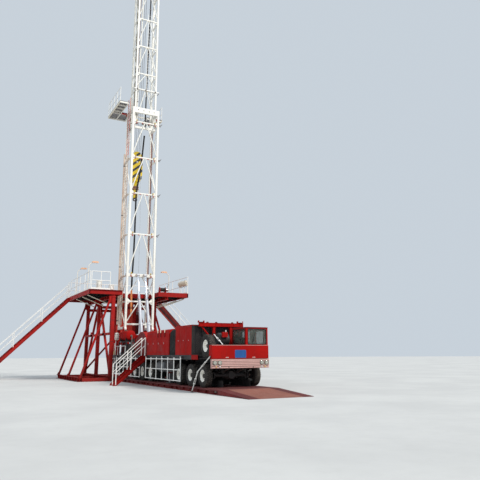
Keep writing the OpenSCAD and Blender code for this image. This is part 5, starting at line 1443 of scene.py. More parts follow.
# ------------------------------------------------------------------ nose, grille and lamps
def make_front():
    g = G().use("red")
    g.plate("y", (-1.450, 1.450, 1.462, 2.070), 0.004, 0.055, 0.02, 4, 0.008)
    g.box(-1.446, 1.446, 0.0, 0.012, 2.052, 2.0695, 0.004, "pink")
    g.box(-1.446, 1.446, 0.0005, 0.010, 1.466, 1.482, 0.003, "red_dark")
    for x in (-1.443, 1.431):
        g.box(x, x + 0.012, 0.0005, 0.010, 1.48, 2.05, 0.003)
    # shelf and side plate behind it
    g.box(-1.449, 0.285, 0.055, 0.285, 2.052, 2.070, 0.003)
    g.box(-1.449, 0.285, 0.270, 0.285, 2.032, 2.055, 0.003)
    g.box(-1.450, -1.436, 0.055, 0.285, 1.486, 2.055, 0.003)
    for x in (-1.1, -0.6, -0.1):
        g.prism("x", [(0.055, 1.80), (0.26, 2.045), (0.26, 2.052), (0.055, 2.052)], x - 0.005, x + 0.005)
    # blank plate in a thin frame
    g.plate("y", (-0.300, 0.270, 1.505, 1.855), 0.0005, 0.006, 0.035, 5, 0.002, "blue_plate")
    for x in (-0.27, 0.24):
        for z in (1.535, 1.825):
            g.hexa((x, 0.001, z), (0, -1, 0), 0.008, 0.0009, "steel")
    # two latches with their catches
    for x in (-0.69, 0.67):
        g.plate("y", (x - 0.075, x + 0.075, 1.512, 1.548), 0.0005, 0.006, 0.012, 3, 0.002, "pink")
        g.box(x - 0.045, x + 0.045, 0.0, 0.0045, 1.522, 1.538, 0.002, "steel")
    for k in range(15):
        for z in (1.495, 2.035):
            g.disc((-1.36 + 0.195 * k, 0.0036, z), "y", 0.008, 0.005, 10, 0.0015, "red_dark")
    for x in (-0.72, 0.72):
        g.box(x - 0.003, x + 0.003, 0.0028, 0.006, 1.56, 2.03, 0.001, "red_dark")
    # brackets at the ends
    for s in (-1, 1):
        g.prism("z", [(s * 1.40, 0.055), (s * 1.45, 0.055), (s * 1.45, 0.10), (s * 1.42, 0.10)], 1.50, 1.60)
    piece("nose_panel_detail", g, "root", "nose_panel", "signal_red")

    g = G().use("pink")
    # shell behind the slats
    g.box(-1.448, 1.448, 0.085, 0.110, 1.062, 1.453, 0.004, "pink_dark")
    g.box(-1.449, 1.449, 0.020, 0.108, 1.438, 1.455, 0.004)
    g.box(-1.449, 1.449, 0.020, 0.108, 1.060, 1.074, 0.004)
    for s in (-1, 1):
        g.box(s * 1.436, s * 1.450, 0.02, 0.108, 1.07, 1.445, 0.004)
    # slats: hollow rails with an inclined face
    for z in (1.075, 1.155, 1.225, 1.295, 1.365, 1.425):
        h = 0.056 if z < 1.4 else 0.028
        g.prism("x", [(-0.024, z + 0.004), (-0.025, z + h - 0.012), (-0.018, z + h - 0.002), (0.060, z + h), (0.060, z + h - 0.010), (-0.010, z + h - 0.014), (-0.012, z + 0.010), (0.05, z + 0.006),
                      (0.05, z - 0.002), (-0.016, z)], -1.449, 1.449)
    for x in (-0.72, 0.0, 0.72):
        g.box(x - 0.012, x + 0.012, 0.02, 0.085, 1.075, 1.44, 0.003, "pink_dark")
    # panels that carry the lamps
    for s in (-1, 1):
        g.plate("y", (min(s * 0.955, s * 1.448), max(s * 0.955, s * 1.448), 1.185, 1.415), -0.0245, 0.02, 0.05, 5, 0.006, "lamp_panel")
    g.use("black")
    for x in (-1.2, 1.2):
        g.box(x - 0.09, x + 0.09, 0.11, 0.20, 1.20, 1.40, 0.006)
    for s in (-1, 1):
        g.box(s * 0.35, s * 0.43, 0.108, 0.12, 1.10, 1.40, 0.002)
        # tow hooks
        g.tube([(s * 0.62, 0.10, 1.085), (s * 0.62, -0.02, 1.085), (s * 0.62, -0.045, 1.105), (s * 0.62, -0.03, 1.135), (s * 0.62, 0.0, 1.135)], 0.013, 10, "iron")
    piece("bumper_detail", g, "root", "bumper_grille", "grille_pink")

    g = G()
    for x in (-1.31, -1.07, 1.07, 1.31):
        o = (x, -0.025, 1.30)
        ax = (0, -1, 0)
        g.lathe([(0.070, 0.0), (0.100, 0.0), (0.100, 0.010), (0.096, 0.026), (0.094, 0.030), (0.082, 0.030), (0.080, 0.022), (0.070, 0.004)], o, ax, 40, "iron", closed=True)
        g.lathe([(0.0, 0.004), (0.030, 0.006), (0.055, 0.012), (0.081, 0.026), (0.083, 0.026), (0.083, 0.002), (0, 0.002)], o, ax, 40, "reflector")
        g.lathe([(0, 0.006), (0.012, 0.006), (0.012, 0.018), (0.007, 0.024), (0, 0.025)], o, ax, 16, "chrome")
        g.lathe([(0.083, 0.026), (0.083, 0.030), (0.070, 0.037), (0.045, 0.042), (0.0, 0.0445), (0.0, 0.041), (0.045, 0.038), (0.070, 0.033)], o, ax, 40, "lens")
        for a in range(3):
            q = 2 * pi * a / 3 + 0.5
            g.disc((x + 0.090 * cos(q), -0.056, 1.30 + 0.090 * sin(q)), "y", 0.005, 0.004, 8, 0.001, "iron")
    for x, lens in ((-1.24, "lens_amber"), (-1.06, "lens_white"), (1.06, "lens_white"), (1.24, "lens_amber")):
        o = (x, -0.025, 1.128)
        g.lathe([(0, 0), (0.038, 0), (0.038, 0.008), (0.034, 0.012), (0, 0.012)], o, (0, -1, 0), 28, "steel")
        g.lathe([(0, 0.011), (0.031, 0.011), (0.031, 0.017), (0.022, 0.023), (0, 0.025)], o, (0, -1, 0), 28, lens)
    piece("headlights_detail", g, "root", "headlights", "lamp_glass")


make_front()


# ------------------------------------------------------------------ machinery behind the nose
def turnbuckle(g, a, b, r=0.021):
    a, b = Vector(a), Vector(b)
    L = (b - a).length
    d = (b - a) / L
    m0, m1 = a + d * (L * 0.36), a + d * (L * 0.64)
    g.rod(tuple(a), tuple(m0 + d * 0.03), r, 14, "white_rail", 0.003)
    g.rod(tuple(m1 - d * 0.03), tuple(b), r, 14, "white_rail", 0.003)
    x = d.cross(Vector((0, 0, 1))).normalized()
    for s in (-1, 1):
        g.rod(tuple(m0 + x * s * 0.034), tuple(m1 + x * s * 0.034), 0.0105, 10, "white_rail")
    for p in (m0, m1):
        g.beam(tuple(p - x * 0.048), tuple(p + x * 0.048), 0.04, 0.05, 0.008, None, "white_rail")
    for p, q in ((a, d), (b, -d)):
        g.ring(tuple(p + q * 0.0), tuple(d.cross(x)), 0.030, 0.010, 20, 8, "white_rail")


def make_nose_machinery():
    g = G()
    # air cleaner: drum on a stand, two bands, ribbed inlet at the end
    y, z = 1.2, 2.33
    g.lathe([(0, 0), (0.20, 0), (0.255, 0.012), (0.282, 0.045), (0.289, 0.09), (0.289, 0.30), (0.282, 0.315), (0.282, 0.33), (0.289, 0.345), (0.289, 0.50), (0.275, 0.535), (0.20, 0.556), (0, 0.559)], (-0.62, y, z), "x", 48, "drum_black")
    for x in (-0.50, -0.17):
        g.lathe([(0.287, -0.022), (0.2898, -0.022), (0.2898, 0.022), (0.287, 0.022)], (x, y, z), "x", 48, "black", closed=True)
    for k in range(6):
        g.ring((-0.618, y, z), "x", 0.05 + 0.03 * k, 0.0015, 32, 6, "black")
    g.box(-0.56, -0.12, 1.155, 1.245, 1.482, 2.06, 0.010, "black")
    for x in (-0.50, -0.18):
        g.prism("x", [(1.02, 2.05), (1.38, 2.05), (1.30, 2.12), (1.24, 2.06), (1.16, 2.06), (1.10, 2.12)], x - 0.015, x + 0.015, "black")
    # intake pipe to the house
    g.tube([(-0.34, 1.30, 2.50), (-0.34, 1.50, 2.56), (-0.34, 1.72, 2.50), (-0.34, 1.94, 2.40), (-0.34, 2.20, 2.36)], [0.085, 0.085, 0.085, 0.085, 0.085], 24, "gasket")
    for y1, z1 in ((1.50, 2.56), (1.94, 2.40)):
        g.ring((-0.34, y1, z1), "y", 0.087, 0.006, 24, 6, "steel")
    # red box with a white lamp beside it
    g.box(-0.53, -0.25, 0.80, 0.90, 2.42, 2.665, 0.012, "red")
    g.plate("y", (-0.515, -0.265, 2.435, 2.65), 0.794, 0.802, 0.02, 3, 0.002, "red")
    g.box(-0.46, -0.32, 0.895, 0.965, 2.425, 2.45, 0.004, "red")
    for x in (-0.50, -0.28):
        for z1 in (2.45, 2.635):
            g.hexa((x, 0.795, z1), (0, -1, 0), 0.008, 0.006, "steel")
    g.lathe([(0, 0), (0.022, 0), (0.022, 0.03), (0.028, 0.035), (0.028, 0.065), (0.018, 0.085), (0, 0.09)], (-0.33, 0.85, 2.663), "z", 20, "lens_white")
    # post that takes the upper end of the tie rod
    g.box(-0.700, -0.640, 1.40, 1.46, 1.50, 2.63, 0.008, "black")
    piece("air_cleaner_detail", g, "root", "air_cleaner", "matt_black")

    g = G()
    turnbuckle(g, (-0.668, 1.385, 2.555), (-0.875, 0.12, 2.108))
    turnbuckle(g, (-1.462, 0.16, 1.56), (-1.695, 0.915, 0.935))
    turnbuckle(g, (-1.70, 0.945, 0.89), (-1.70, 1.500, 0.095))
    g.prism("x", [(1.45, 0.014), (1.57, 0.014), (1.54, 0.105), (1.47, 0.105)], -1.711, -1.689, "iron")
    g.box(-1.76, -1.64, 1.44, 1.58, 0.001, 0.015, 0.003, "iron")
    g.box(-1.47, -1.445, 0.12, 0.22, 1.52, 1.60, 0.004, "iron")
    piece("tie_rods", g, "root", slot="mast_white")

    # mast rest: box beam with pads, clamps and a lamp
    g = G().use("red")
    g.box(-1.15, 1.20, 1.975, 2.145, 2.972, 3.128, 0.006)
    for z in (2.960, 3.126):
        g.box(-1.15, 1.20, 1.960, 2.160, z, z + 0.014, 0.004)
    for k in range(7):
        x = -0.98 + k * 0.33
        g.prism("x", [(1.962, 2.974), (1.976, 2.974), (1.976, 3.126), (1.962, 3.126)], x - 0.006, x + 0.006)
    for x in (-1.05, 1.05):
        g.box(x - 0.07, x + 0.07, 1.93, 2.19, 3.140, 3.154, 0.003)
        g.box(x - 0.064, x + 0.064, 1.935, 2.185, 3.152, 3.180, 0.006, "gasket")
        for s in (-1, 1):
            a, b = x + s * 0.12, x + s * 0.15
            g.prism("y", [(min(a, b), 3.140), (max(a, b), 3.140), (max(a, b), 3.225), ((a + b) / 2 + 0.006, 3.24), ((a + b) / 2 - 0.006, 3.24), (min(a, b), 3.225)], 1.99, 2.13)
            for y in (2.02, 2.10):
                g.hexa((x + s * 0.151, y, 3.17), (s, 0, 0), 0.011, 0.010, "iron")
    for x in (-0.72, -0.25, 0.62):
        g.prism("y", [(x - 0.06, 3.14), (x + 0.06, 3.14), (x + 0.04, 3.19), (x - 0.04, 3.19)], 2.03, 2.07, "red_dark")
        g.rod((x, 2.0, 3.165), (x, 2.10, 3.165), 0.012, 12, "iron")
    for x in (-0.38, 0.53):
        g.box(x - 0.06, x + 0.06, 2.0, 2.12, 1.642, 2.96, 0.010)
        g.box(x - 0.12, x + 0.12, 1.95, 2.17, 1.641, 1.656, 0.003)
        for s in (-1, 1):
            g.prism("y", [(x + s * 0.06, 1.655), (x + s * 0.11, 1.655), (x + s * 0.06, 1.80)], 2.055, 2.065)
            g.prism("y", [(x + s * 0.06, 2.96), (x + s * 0.16, 2.96), (x + s * 0.06, 2.84)], 2.055, 2.065)
            for y in (1.97, 2.15):
                g.hexa((x + s * 0.10, y, 1.655), "z", 0.012, 0.011, "iron")
    for a, b in (((-1.04, 2.06, 2.985), (-0.43, 2.06, 2.31)), ((1.04, 2.06, 2.985), (0.57, 2.06, 2.31))):
        g.rod(a, b, 0.038, 18, "red", 0.004)
        g.prism("y", [(b[0] - 0.05, b[2] - 0.06), (b[0] + 0.05, b[2] - 0.06), (b[0] + 0.05, b[2] + 0.07), (b[0] - 0.05, b[2] + 0.07)], 2.052, 2.068)
    g.lathe([(0, 0), (0.03, 0), (0.035, 0.01), (0.035, 0.06), (0.02, 0.085), (0, 0.09)], (1.13, 2.02, 3.14), "z", 20, "lens_white")
    piece("mast_rest_detail", g, "root", "mast_rest", "signal_red")


make_nose_machinery()


# ------------------------------------------------------------------ engine and its house
def make_engine():
    g = G().use("engine_grey")
    x0, x1, y0, y1, z0, z1 = -0.45, 0.45, 2.52, 4.0, 1.70, 2.65
    g.box(-0.27, 0.27, y0 + 0.10, y1 - 0.12, z0 + 0.18, z1 - 0.30, 0.03)
    g.box(-0.36, 0.36, y0 + 0.14, y1 - 0.16, z0 + 0.02, z0 + 0.22, 0.04)
    for s in (-1, 1):
        # banks of heads with covers
        for k in range(4):
            y = y0 + 0.24 + 0.29 * k
            g.push(Matrix.Translation((s * 0.22, y, z1 - 0.36)) @ Matrix.Rotation(-s * rad(32), 4, "Y"))
            g.box(-0.11, 0.11, -0.125, 0.125, 0.0, 0.18, 0.02)
            g.plate("z", (-0.085, 0.085, -0.10, 0.10), 0.178, 0.20, 0.03, 4, 0.006, "steel")
            for a in (-0.07, 0.07):
                for b in (-0.085, 0.085):
                    g.hexa((a, b, 0.198), "z", 0.009, 0.008, "iron")
            g.pop()
            g.tube([(s * 0.33, y, z1 - 0.42), (s * 0.40, y, z1 - 0.44), (s * 0.415, y + 0.04, z1 - 0.44)], 0.032, 14, "iron")
        g.rod((s * 0.405, y0 + 0.14, z1 - 0.44), (s * 0.405, y1 - 0.14, z1 - 0.44), 0.040, 18, "iron", 0.006)
        for k in range(3):
            g.lathe([(0, 0), (0.05, 0), (0.055, 0.01), (0.055, 0.20), (0.045, 0.22), (0, 0.22)], (s * 0.385, y0 + 0.34 + 0.15 * k, z0 + 0.10), "z", 20, "cream")
        g.box(s * 0.28, s * 0.44, y1 - 0.60, y1 - 0.22, z0 + 0.12, z0 + 0.34, 0.02)
        for y in (y0 + 0.2, y1 - 0.3):
            g.box(s * 0.30, s * 0.445, y - 0.06, y + 0.06, z0 + 0.0, z0 + 0.10, 0.008, "iron")
    # intake on top, turbocharger, pulleys and fan
    g.box(-0.11, 0.11, y0 + 0.22, y1 - 0.34, z1 - 0.24, z1 - 0.13, 0.03, "steel")
    g.lathe([(0, 0), (0.07, 0), (0.12, 0.03), (0.13, 0.07), (0.12, 0.11), (0.07, 0.13), (0, 0.13)], (-0.06, y1 - 0.24, z1 - 0.14), "x", 28, "iron")
    g.tube([(0.0, y1 - 0.24, z1 - 0.14), (0.0, y1 - 0.36, z1 - 0.08), (0.0, y1 - 0.5, z1 - 0.10)], 0.055, 18, "steel")
    for r, z in ((0.14, 1.98), (0.09, 2.30)):
        g.lathe([(0, 0), (r, 0), (r, 0.012), (r - 0.018, 0.022), (r - 0.018, 0.03), (r, 0.04), (r, 0.052), (0, 0.052)], (0, y0 + 0.045, z), "y", 32, "iron")
    g.tube([(0.135, y0 + 0.07, 1.98), (0.088, y0 + 0.07, 2.30), (0.0, y0 + 0.07, 2.39), (-0.088, y0 + 0.07, 2.30), (-0.135, y0 + 0.07, 1.98), (0.0, y0 + 0.07, 1.84)], 0.008, 8, "gasket", close=True)
    for k in range(8):
        q = 2 * pi * k / 8
        g.push(Matrix.Translation((0, y0 + 0.018, 2.18)) @ Matrix.Rotation(q, 4, "Y") @ Matrix.Rotation(rad(28), 4, "Z"))
        g.box(-0.04, 0.04, -0.004, 0.004, 0.07, 0.42, 0.002, "black_satin")
        g.pop()
    g.disc((0, y0 + 0.02, 2.18), "y", 0.08, 0.03, 24, 0.005, "iron")
    piece("engine_detail", g, "root", "engine", "chassis_black")

    g = G().use("red")
    # house: skins on a frame, with doors on both sides
    zt = 3.05
    g.frame("y", (-1.449, 1.299, 1.642, zt), (-1.36, 1.21, 1.72, 2.96), 2.251, 2.289, 0.02, 0.02, 3, "gasket")
    g.plate("y", (-1.449, 1.299, 1.642, zt), 4.262, 4.299, 0.02, 3, 0.004)
    g.plate("z", (-1.450, 1.300, 2.250, 4.300), zt - 0.038, zt - 0.002, 0.03, 4, 0.006)
    for y in (2.6, 3.28, 3.95):
        g.box(-1.44, 1.29, y - 0.02, y + 0.02, zt - 0.003, zt, 0.001)
    for s, x in ((-1, -1.45), (1, 1.30)):
        t0, t1 = x, x - s * 0.036
        g.box(t0, t1, 2.252, 4.298, 1.642, 3.014, 0.004)
        # three doors with louvres, hinges and handles
        for k in range(3):
            a, b = 2.29 + 0.665 * k, 2.29 + 0.665 * (k + 1) - 0.02
            g.frame("x", (a, b, 1.69, 2.98), (a + 0.012, b - 0.012, 1.702, 2.968), x - s * 0.001, x + s * 0.0015, 0.03, 0.022, 3, "red_dark")
            if k == 1:
                for j in range(8):
                    z = 1.84 + 0.055 * j
                    g.prism("y", [(x, z), (x + s * 0.0018, z + 0.004), (x, z + 0.034)], a + 0.09, b - 0.09)
            g.box(x - s * 0.002, x + s * 0.0018, (a + b) / 2 - 0.05, (a + b) / 2 + 0.05, 2.31, 2.34, 0.001, "steel")
            for z in (1.86, 2.80):
                g.rod((x + s * 0.001, a + 0.004, z - 0.05), (x + s * 0.001, a + 0.004, z + 0.05), 0.0009, 8, "iron")
    piece("engine_house_detail", g, "root", "engine_house", "signal_red")

    g = G().use("black_satin")
    # radiator: tubes with fins behind upright slats
    g.box(-1.358, 1.208, 2.268, 2.284, 1.722, 2.958, 0.003, "black")
    for k in range(41):
        z = 1.735 + 0.030 * k
        g.box(-1.355, 1.205, 2.258, 2.269, z, z + 0.006, 0.001, "black_satin")
    for k in range(46):
        x = -1.34 + 0.0565 * k
        g.rod((x, 2.262, 1.73), (x, 2.262, 2.95), 0.004, 6, "iron")
    for x in range(-1250, 1001, 250):
        g.box(x / 1000, x / 1000 + 0.03, 2.243, 2.256, 1.73, 2.95, 0.003)
    for z in (1.728, 2.33, 2.94):
        g.box(-1.356, 1.206, 2.246, 2.256, z, z + 0.014, 0.002)
    piece("radiator_detail", g, "root", "radiator", "chassis_black")

    # cover between engine house and hood: bellows with worn wavy edges
    g = G()
    n, m = 60, 84
    prof = []
    pts = [(1.642, -1.42), (2.79, -1.42), (2.885, -1.39), (2.93, -1.30), (2.945, -1.12), (2.945, 1.12), (2.93, 1.30), (2.885, 1.39), (2.79, 1.42), (1.642, 1.42)]
    # resample the outline
    seg = [0.0]
    for a, b in zip(pts, pts[1:]):
        seg.append(seg[-1] + math.dist(a, b))
    outline = []
    for i in range(m + 1):
        t = seg[-1] * i / m
        for k in range(len(pts) - 1):
            if t <= seg[k + 1] + 1e-9:
                f = (t - seg[k]) / (seg[k + 1] - seg[k])
                outline.append((pts[k][1] + (pts[k + 1][1] - pts[k][1]) * f, pts[k][0] + (pts[k + 1][0] - pts[k][0]) * f))
                break
    wav = [0.018 * sin(0.55 * i + 1.0) + 0.012 * sin(1.3 * i + 0.4) for i in range(m + 1)]
    v, f = [], []
    for j in range(n + 1):
        y = 4.325 + 0.84 * j / n
        fold = 0.026 * (0.5 - 0.5 * cos(2 * pi * j / n * 7))
        edge = 1.0 if 0 < j < n else 0.0
        for i, (x, z) in enumerate(outline):
            k = (1 - (fold + 0.006 + 0.006 * sin(0.9 * i + j * 0.2)) / 1.42)
            yy = y + (wav[i] if j in (0, n) else wav[i] * 0.6) * (1 if 0 < i < m else 0)
            yy = min(5.175, max(4.315, yy))
            top = 2.828 + 0.12 * min(1.0, max(0.0, (yy - 4.31) / 0.19)) - 0.10 * max(0.0, (yy - 5.02) / 0.16)
            v.append((x * k, yy, 1.642 + (z - 1.642) * (1 - (fold + 0.004) * 0.6 / 1.3) * (top - 1.642) / 1.306))
    for j in range(n):
        for i in range(m):
            a = j * (m + 1) + i
            f.append((a, a + 1, a + m + 2, a + m + 1))
    # inner skin
    k0 = len(v)
    for j in range(n + 1):
        for i in range(m + 1):
            x, y, z = v[j * (m + 1) + i]
            v.append((x * 0.985, y, 1.642 + (z - 1.642) * 0.988))
    for j in range(n):
        for i in range(m):
            a = k0 + j * (m + 1) + i
            f.append((a + m + 1, a + m + 2, a + 1, a))
    for i in range(m):
        f.append((i + 1, i, k0 + i, k0 + i + 1))
        e = n * (m + 1)
        f.append((e + i, e + i + 1, k0 + e + i + 1, k0 + e + i))
    for j in range(n):
        a, b = j * (m + 1), (j + 1) * (m + 1)
        f.append((a, b, k0 + b, k0 + a))
        f.append((b + m, a + m, k0 + a + m, k0 + b + m))
    g.add(v, f, "gasket")
    # coupling shaft and hoses under the cover
    g.rod((0, 4.32, 2.05), (0, 5.17, 2.05), 0.06, 20, "iron", 0.006)
    for y in (4.45, 4.75, 5.05):
        g.disc((0, y, 2.05), "y", 0.14, 0.05, 28, 0.006, "iron")
    for k in range(5):
        x = -0.9 + 0.38 * k
        g.tube([(x, 4.33, 1.80), (x + 0.04, 4.6, 1.72), (x - 0.03, 4.9, 1.74), (x, 5.16, 1.82)], 0.022, 10, "hose")
    piece("coupling_cover_detail", g, "root", "coupling_cover", "matt_black", 40)


make_engine()


# ------------------------------------------------------------------ winch hood and drum cover
def make_hood():
    g = G().use("red")
    # hood: shell with rounded upper edges (the roof slopes down at the sides)
    prof = [(-1.45, 1.642), (-1.45, 2.80), (-1.435, 2.87), (-1.40, 2.92), (-1.33, 2.955), (-1.22, 2.969), (1.22, 2.969), (1.33, 2.955), (1.40, 2.92), (1.435, 2.87), (1.45, 2.80), (1.45, 1.642)]
    inner = [(x * 0.976, z if z < 1.7 else z - 0.035) for x, z in prof][::-1]
    g.prism("y", prof + inner, 5.205, 8.595)
    # ends
    for a, b in ((5.201, 5.225), (8.62, 8.649)):
        g.prism("y", [(x * 0.999, min(z, 2.967)) for x, z in prof], a, b)
    # seams, doors with catches and louvres on both sides
    for s in (-1, 1):
        x = s * 1.45
        for k, (a, b) in enumerate(((5.26, 6.05), (6.08, 6.87), (6.90, 7.69), (7.72, 8.55))):
            g.frame("x", (a, b, 1.70, 2.78), (a + 0.014, b - 0.014, 1.714, 2.766), x - s * 0.002, x + s * 0.0008, 0.04, 0.03, 3, "red_dark")
            for z in (2.20,):
                g.box(x - s * 0.004, x + s * 0.0009, b - 0.10, b - 0.04, z, z + 0.09, 0.0004, "steel")
            if k in (1, 3):
                for j in range(7):
                    z = 1.84 + 0.05 * j
                    g.box(x - s * 0.003, x + s * 0.0009, a + 0.12, b - 0.12, z, z + 0.018, 0.0004, "red_dark")
    # bands across the roof
    for y in (5.24, 6.065, 6.885, 7.705, 8.56):
        g.box(-1.20, 1.20, y - 0.02, y + 0.02, 2.962, 2.9699, 0.001, "red_dark")
    # upright bars at the upper edge of the right side: the pale tips paint the highlight on their tops, and the dark
    # red below paints their shade
    for y in (5.80, 6.41, 6.85):
        g.rod((-1.478, y, 2.56), (-1.478, y, 2.80), 0.018, 14, "red_dark", 0.003)
        g.rod((-1.478, y, 2.79), (-1.478, y, 2.945), 0.022, 14, "cream", 0.005)
        for z in (2.60, 2.76):
            g.box(-1.482, -1.446, y - 0.024, y + 0.024, z, z + 0.03, 0.004, "red_dark")
    piece("hood_detail_a", g, "root", "drawworks_hood", "signal_red")

    g = G().use("red")
    # rear box between the hood and the drum
    g.box(-1.249, 1.249, 8.652, 9.0, 1.642, 2.648, 0.02)
    # drum cover: a half-round shell on each side of the rope slot
    cy, cz, R = 10.3, 1.75, 1.238

    def shell(x0, x1, a0, a1, n=44, th=0.02, m="red"):
        p = [(cy + R * cos(rad(a0 + (a1 - a0) * i / n)), cz + R * sin(rad(a0 + (a1 - a0) * i / n))) for i in range(n + 1)]
        q = [(cy + (R - th) * cos(rad(a0 + (a1 - a0) * i / n)), cz + (R - th) * sin(rad(a0 + (a1 - a0) * i / n))) for i in range(n + 1)][::-1]
        g.prism("x", p + q, x0, x1, m)
    for s in (-1, 1):
        shell(min(s * 0.521, s * 1.249), max(s * 0.521, s * 1.249), -4, 184)
        # raised bands
        for x in (0.56, 0.90, 1.22):
            p = []
            for i in range(45):
                a = rad(-4 + 188 * i / 44)
                p.append((cy + (R + 0.0018) * cos(a), cz + (R + 0.0018) * sin(a)))
            q = [(cy + (R - 0.01) * cos(rad(-4 + 188 * i / 44)), cz + (R - 0.01) * sin(rad(-4 + 188 * i / 44))) for i in range(45)][::-1]
            g.prism("x", p + q, s * x - 0.03, s * x + 0.03, "red_dark" if x == 0.90 else "red")
    # side discs with a rim, ribs and an inspection door
    for s in (-1, 1):
        x = s * 1.2495
        pts = [(cy + (R - 0.004) * cos(rad(a)), cz + (R - 0.004) * sin(rad(a))) for a in range(0, 181, 5)]
        # the disc is a darker red that paints the shade on the drum cover's side
        g.prism("x", pts + [(cy - R + 0.004, 1.645), (cy + R - 0.004, 1.645)], min(x, x - s * 0.022), max(x, x - s * 0.022), "red_shade")
        for r0, r1 in ((1.16, 1.20), (0.62, 0.66)):
            o = [(cy + r1 * cos(rad(a)), cz + r1 * sin(rad(a))) for a in range(0, 181, 5)]
            i = [(cy + r0 * cos(rad(a)), cz + r0 * sin(rad(a))) for a in range(0, 181, 5)][::-1]
            g.prism("x", o + i, x - s * 0.003, x + s * 0.0004, "red_dark")
        for a in (30, 60, 90, 120, 150):
            g.push(Matrix.Translation((x, cy, cz)) @ Matrix.Rotation(rad(a - 90), 4, "X"))
            g.box(-0.0025, 0.0004, -0.012, 0.012, 0.66, 1.16, 0.0008, "red_dark")
            g.pop()
        g.plate("x", (cy - 0.34, cy + 0.34, 1.70, 2.26), x - s * 0.004, x + s * 0.0004, 0.06, 4, 0.0008, "red_dark")
        for u, w in ((-0.30, 1.75), (0.30, 1.75), (-0.30, 2.21), (0.30, 2.21)):
            g.disc((x - s * 0.0016, cy + u, w), "x", 0.018, 0.0038, 12, 0.0006, "iron")
    # front half between the sides, open on top for the lines (slit), solid ahead of the drum
    shell(-0.521, -0.152, 84, 184)
    shell(0.152, 0.521, 84, 184)
    shell(-0.152, 0.152, 128, 184)
    # inside walls of the slot
    for s in (-1, 1):
        pts = [(cy + 0.15 + (R - 0.02 - 0.15) * max(0, cos(rad(a))), cz + (R - 0.02) * sin(rad(a))) for a in range(0, 86, 5)]
        g.prism("x", [(cy + 0.15, 1.645)] + [(cy + (R - 0.02), 1.645)] + [(cy + (R - 0.02) * cos(rad(a)), cz + (R - 0.02) * sin(rad(a))) for a in range(0, 84, 6)] + [(cy + 0.15, cz + 1.19)], s * 0.523, s * 0.540)
    # drum with rope turns, flanges and a brake rim seen through the slot
    g.lathe([(0, -0.50), (0.72, -0.50), (0.72, -0.47), (0.36, -0.46), (0.36, 0.46), (0.72, 0.47), (0.72, 0.50), (0, 0.50)], (0, cy, cz + 0.16), "x", 48, "iron")
    t = []
    for k in range(34):
        x = -0.45 + 0.0272 * k
        t += [(0.385 + 0.014, x), (0.385 + 0.026, x + 0.0068), (0.385 + 0.014, x + 0.0136), (0.385 + 0.004, x + 0.0204)]
    g.lathe([(0.30, -0.456)] + t + [(0.30, 0.456)], (0, cy, cz + 0.16), "x", 44, "rope", closed=True)
    piece("hood_detail_b", g, "root", slot="signal_red")


make_hood()


# ------------------------------------------------------------------ mast base and what stands beside it
def bar(g, a, b, w, m=None, bev=0.008, up=None):
    g.beam(a, b, w, w, bev, up, m)


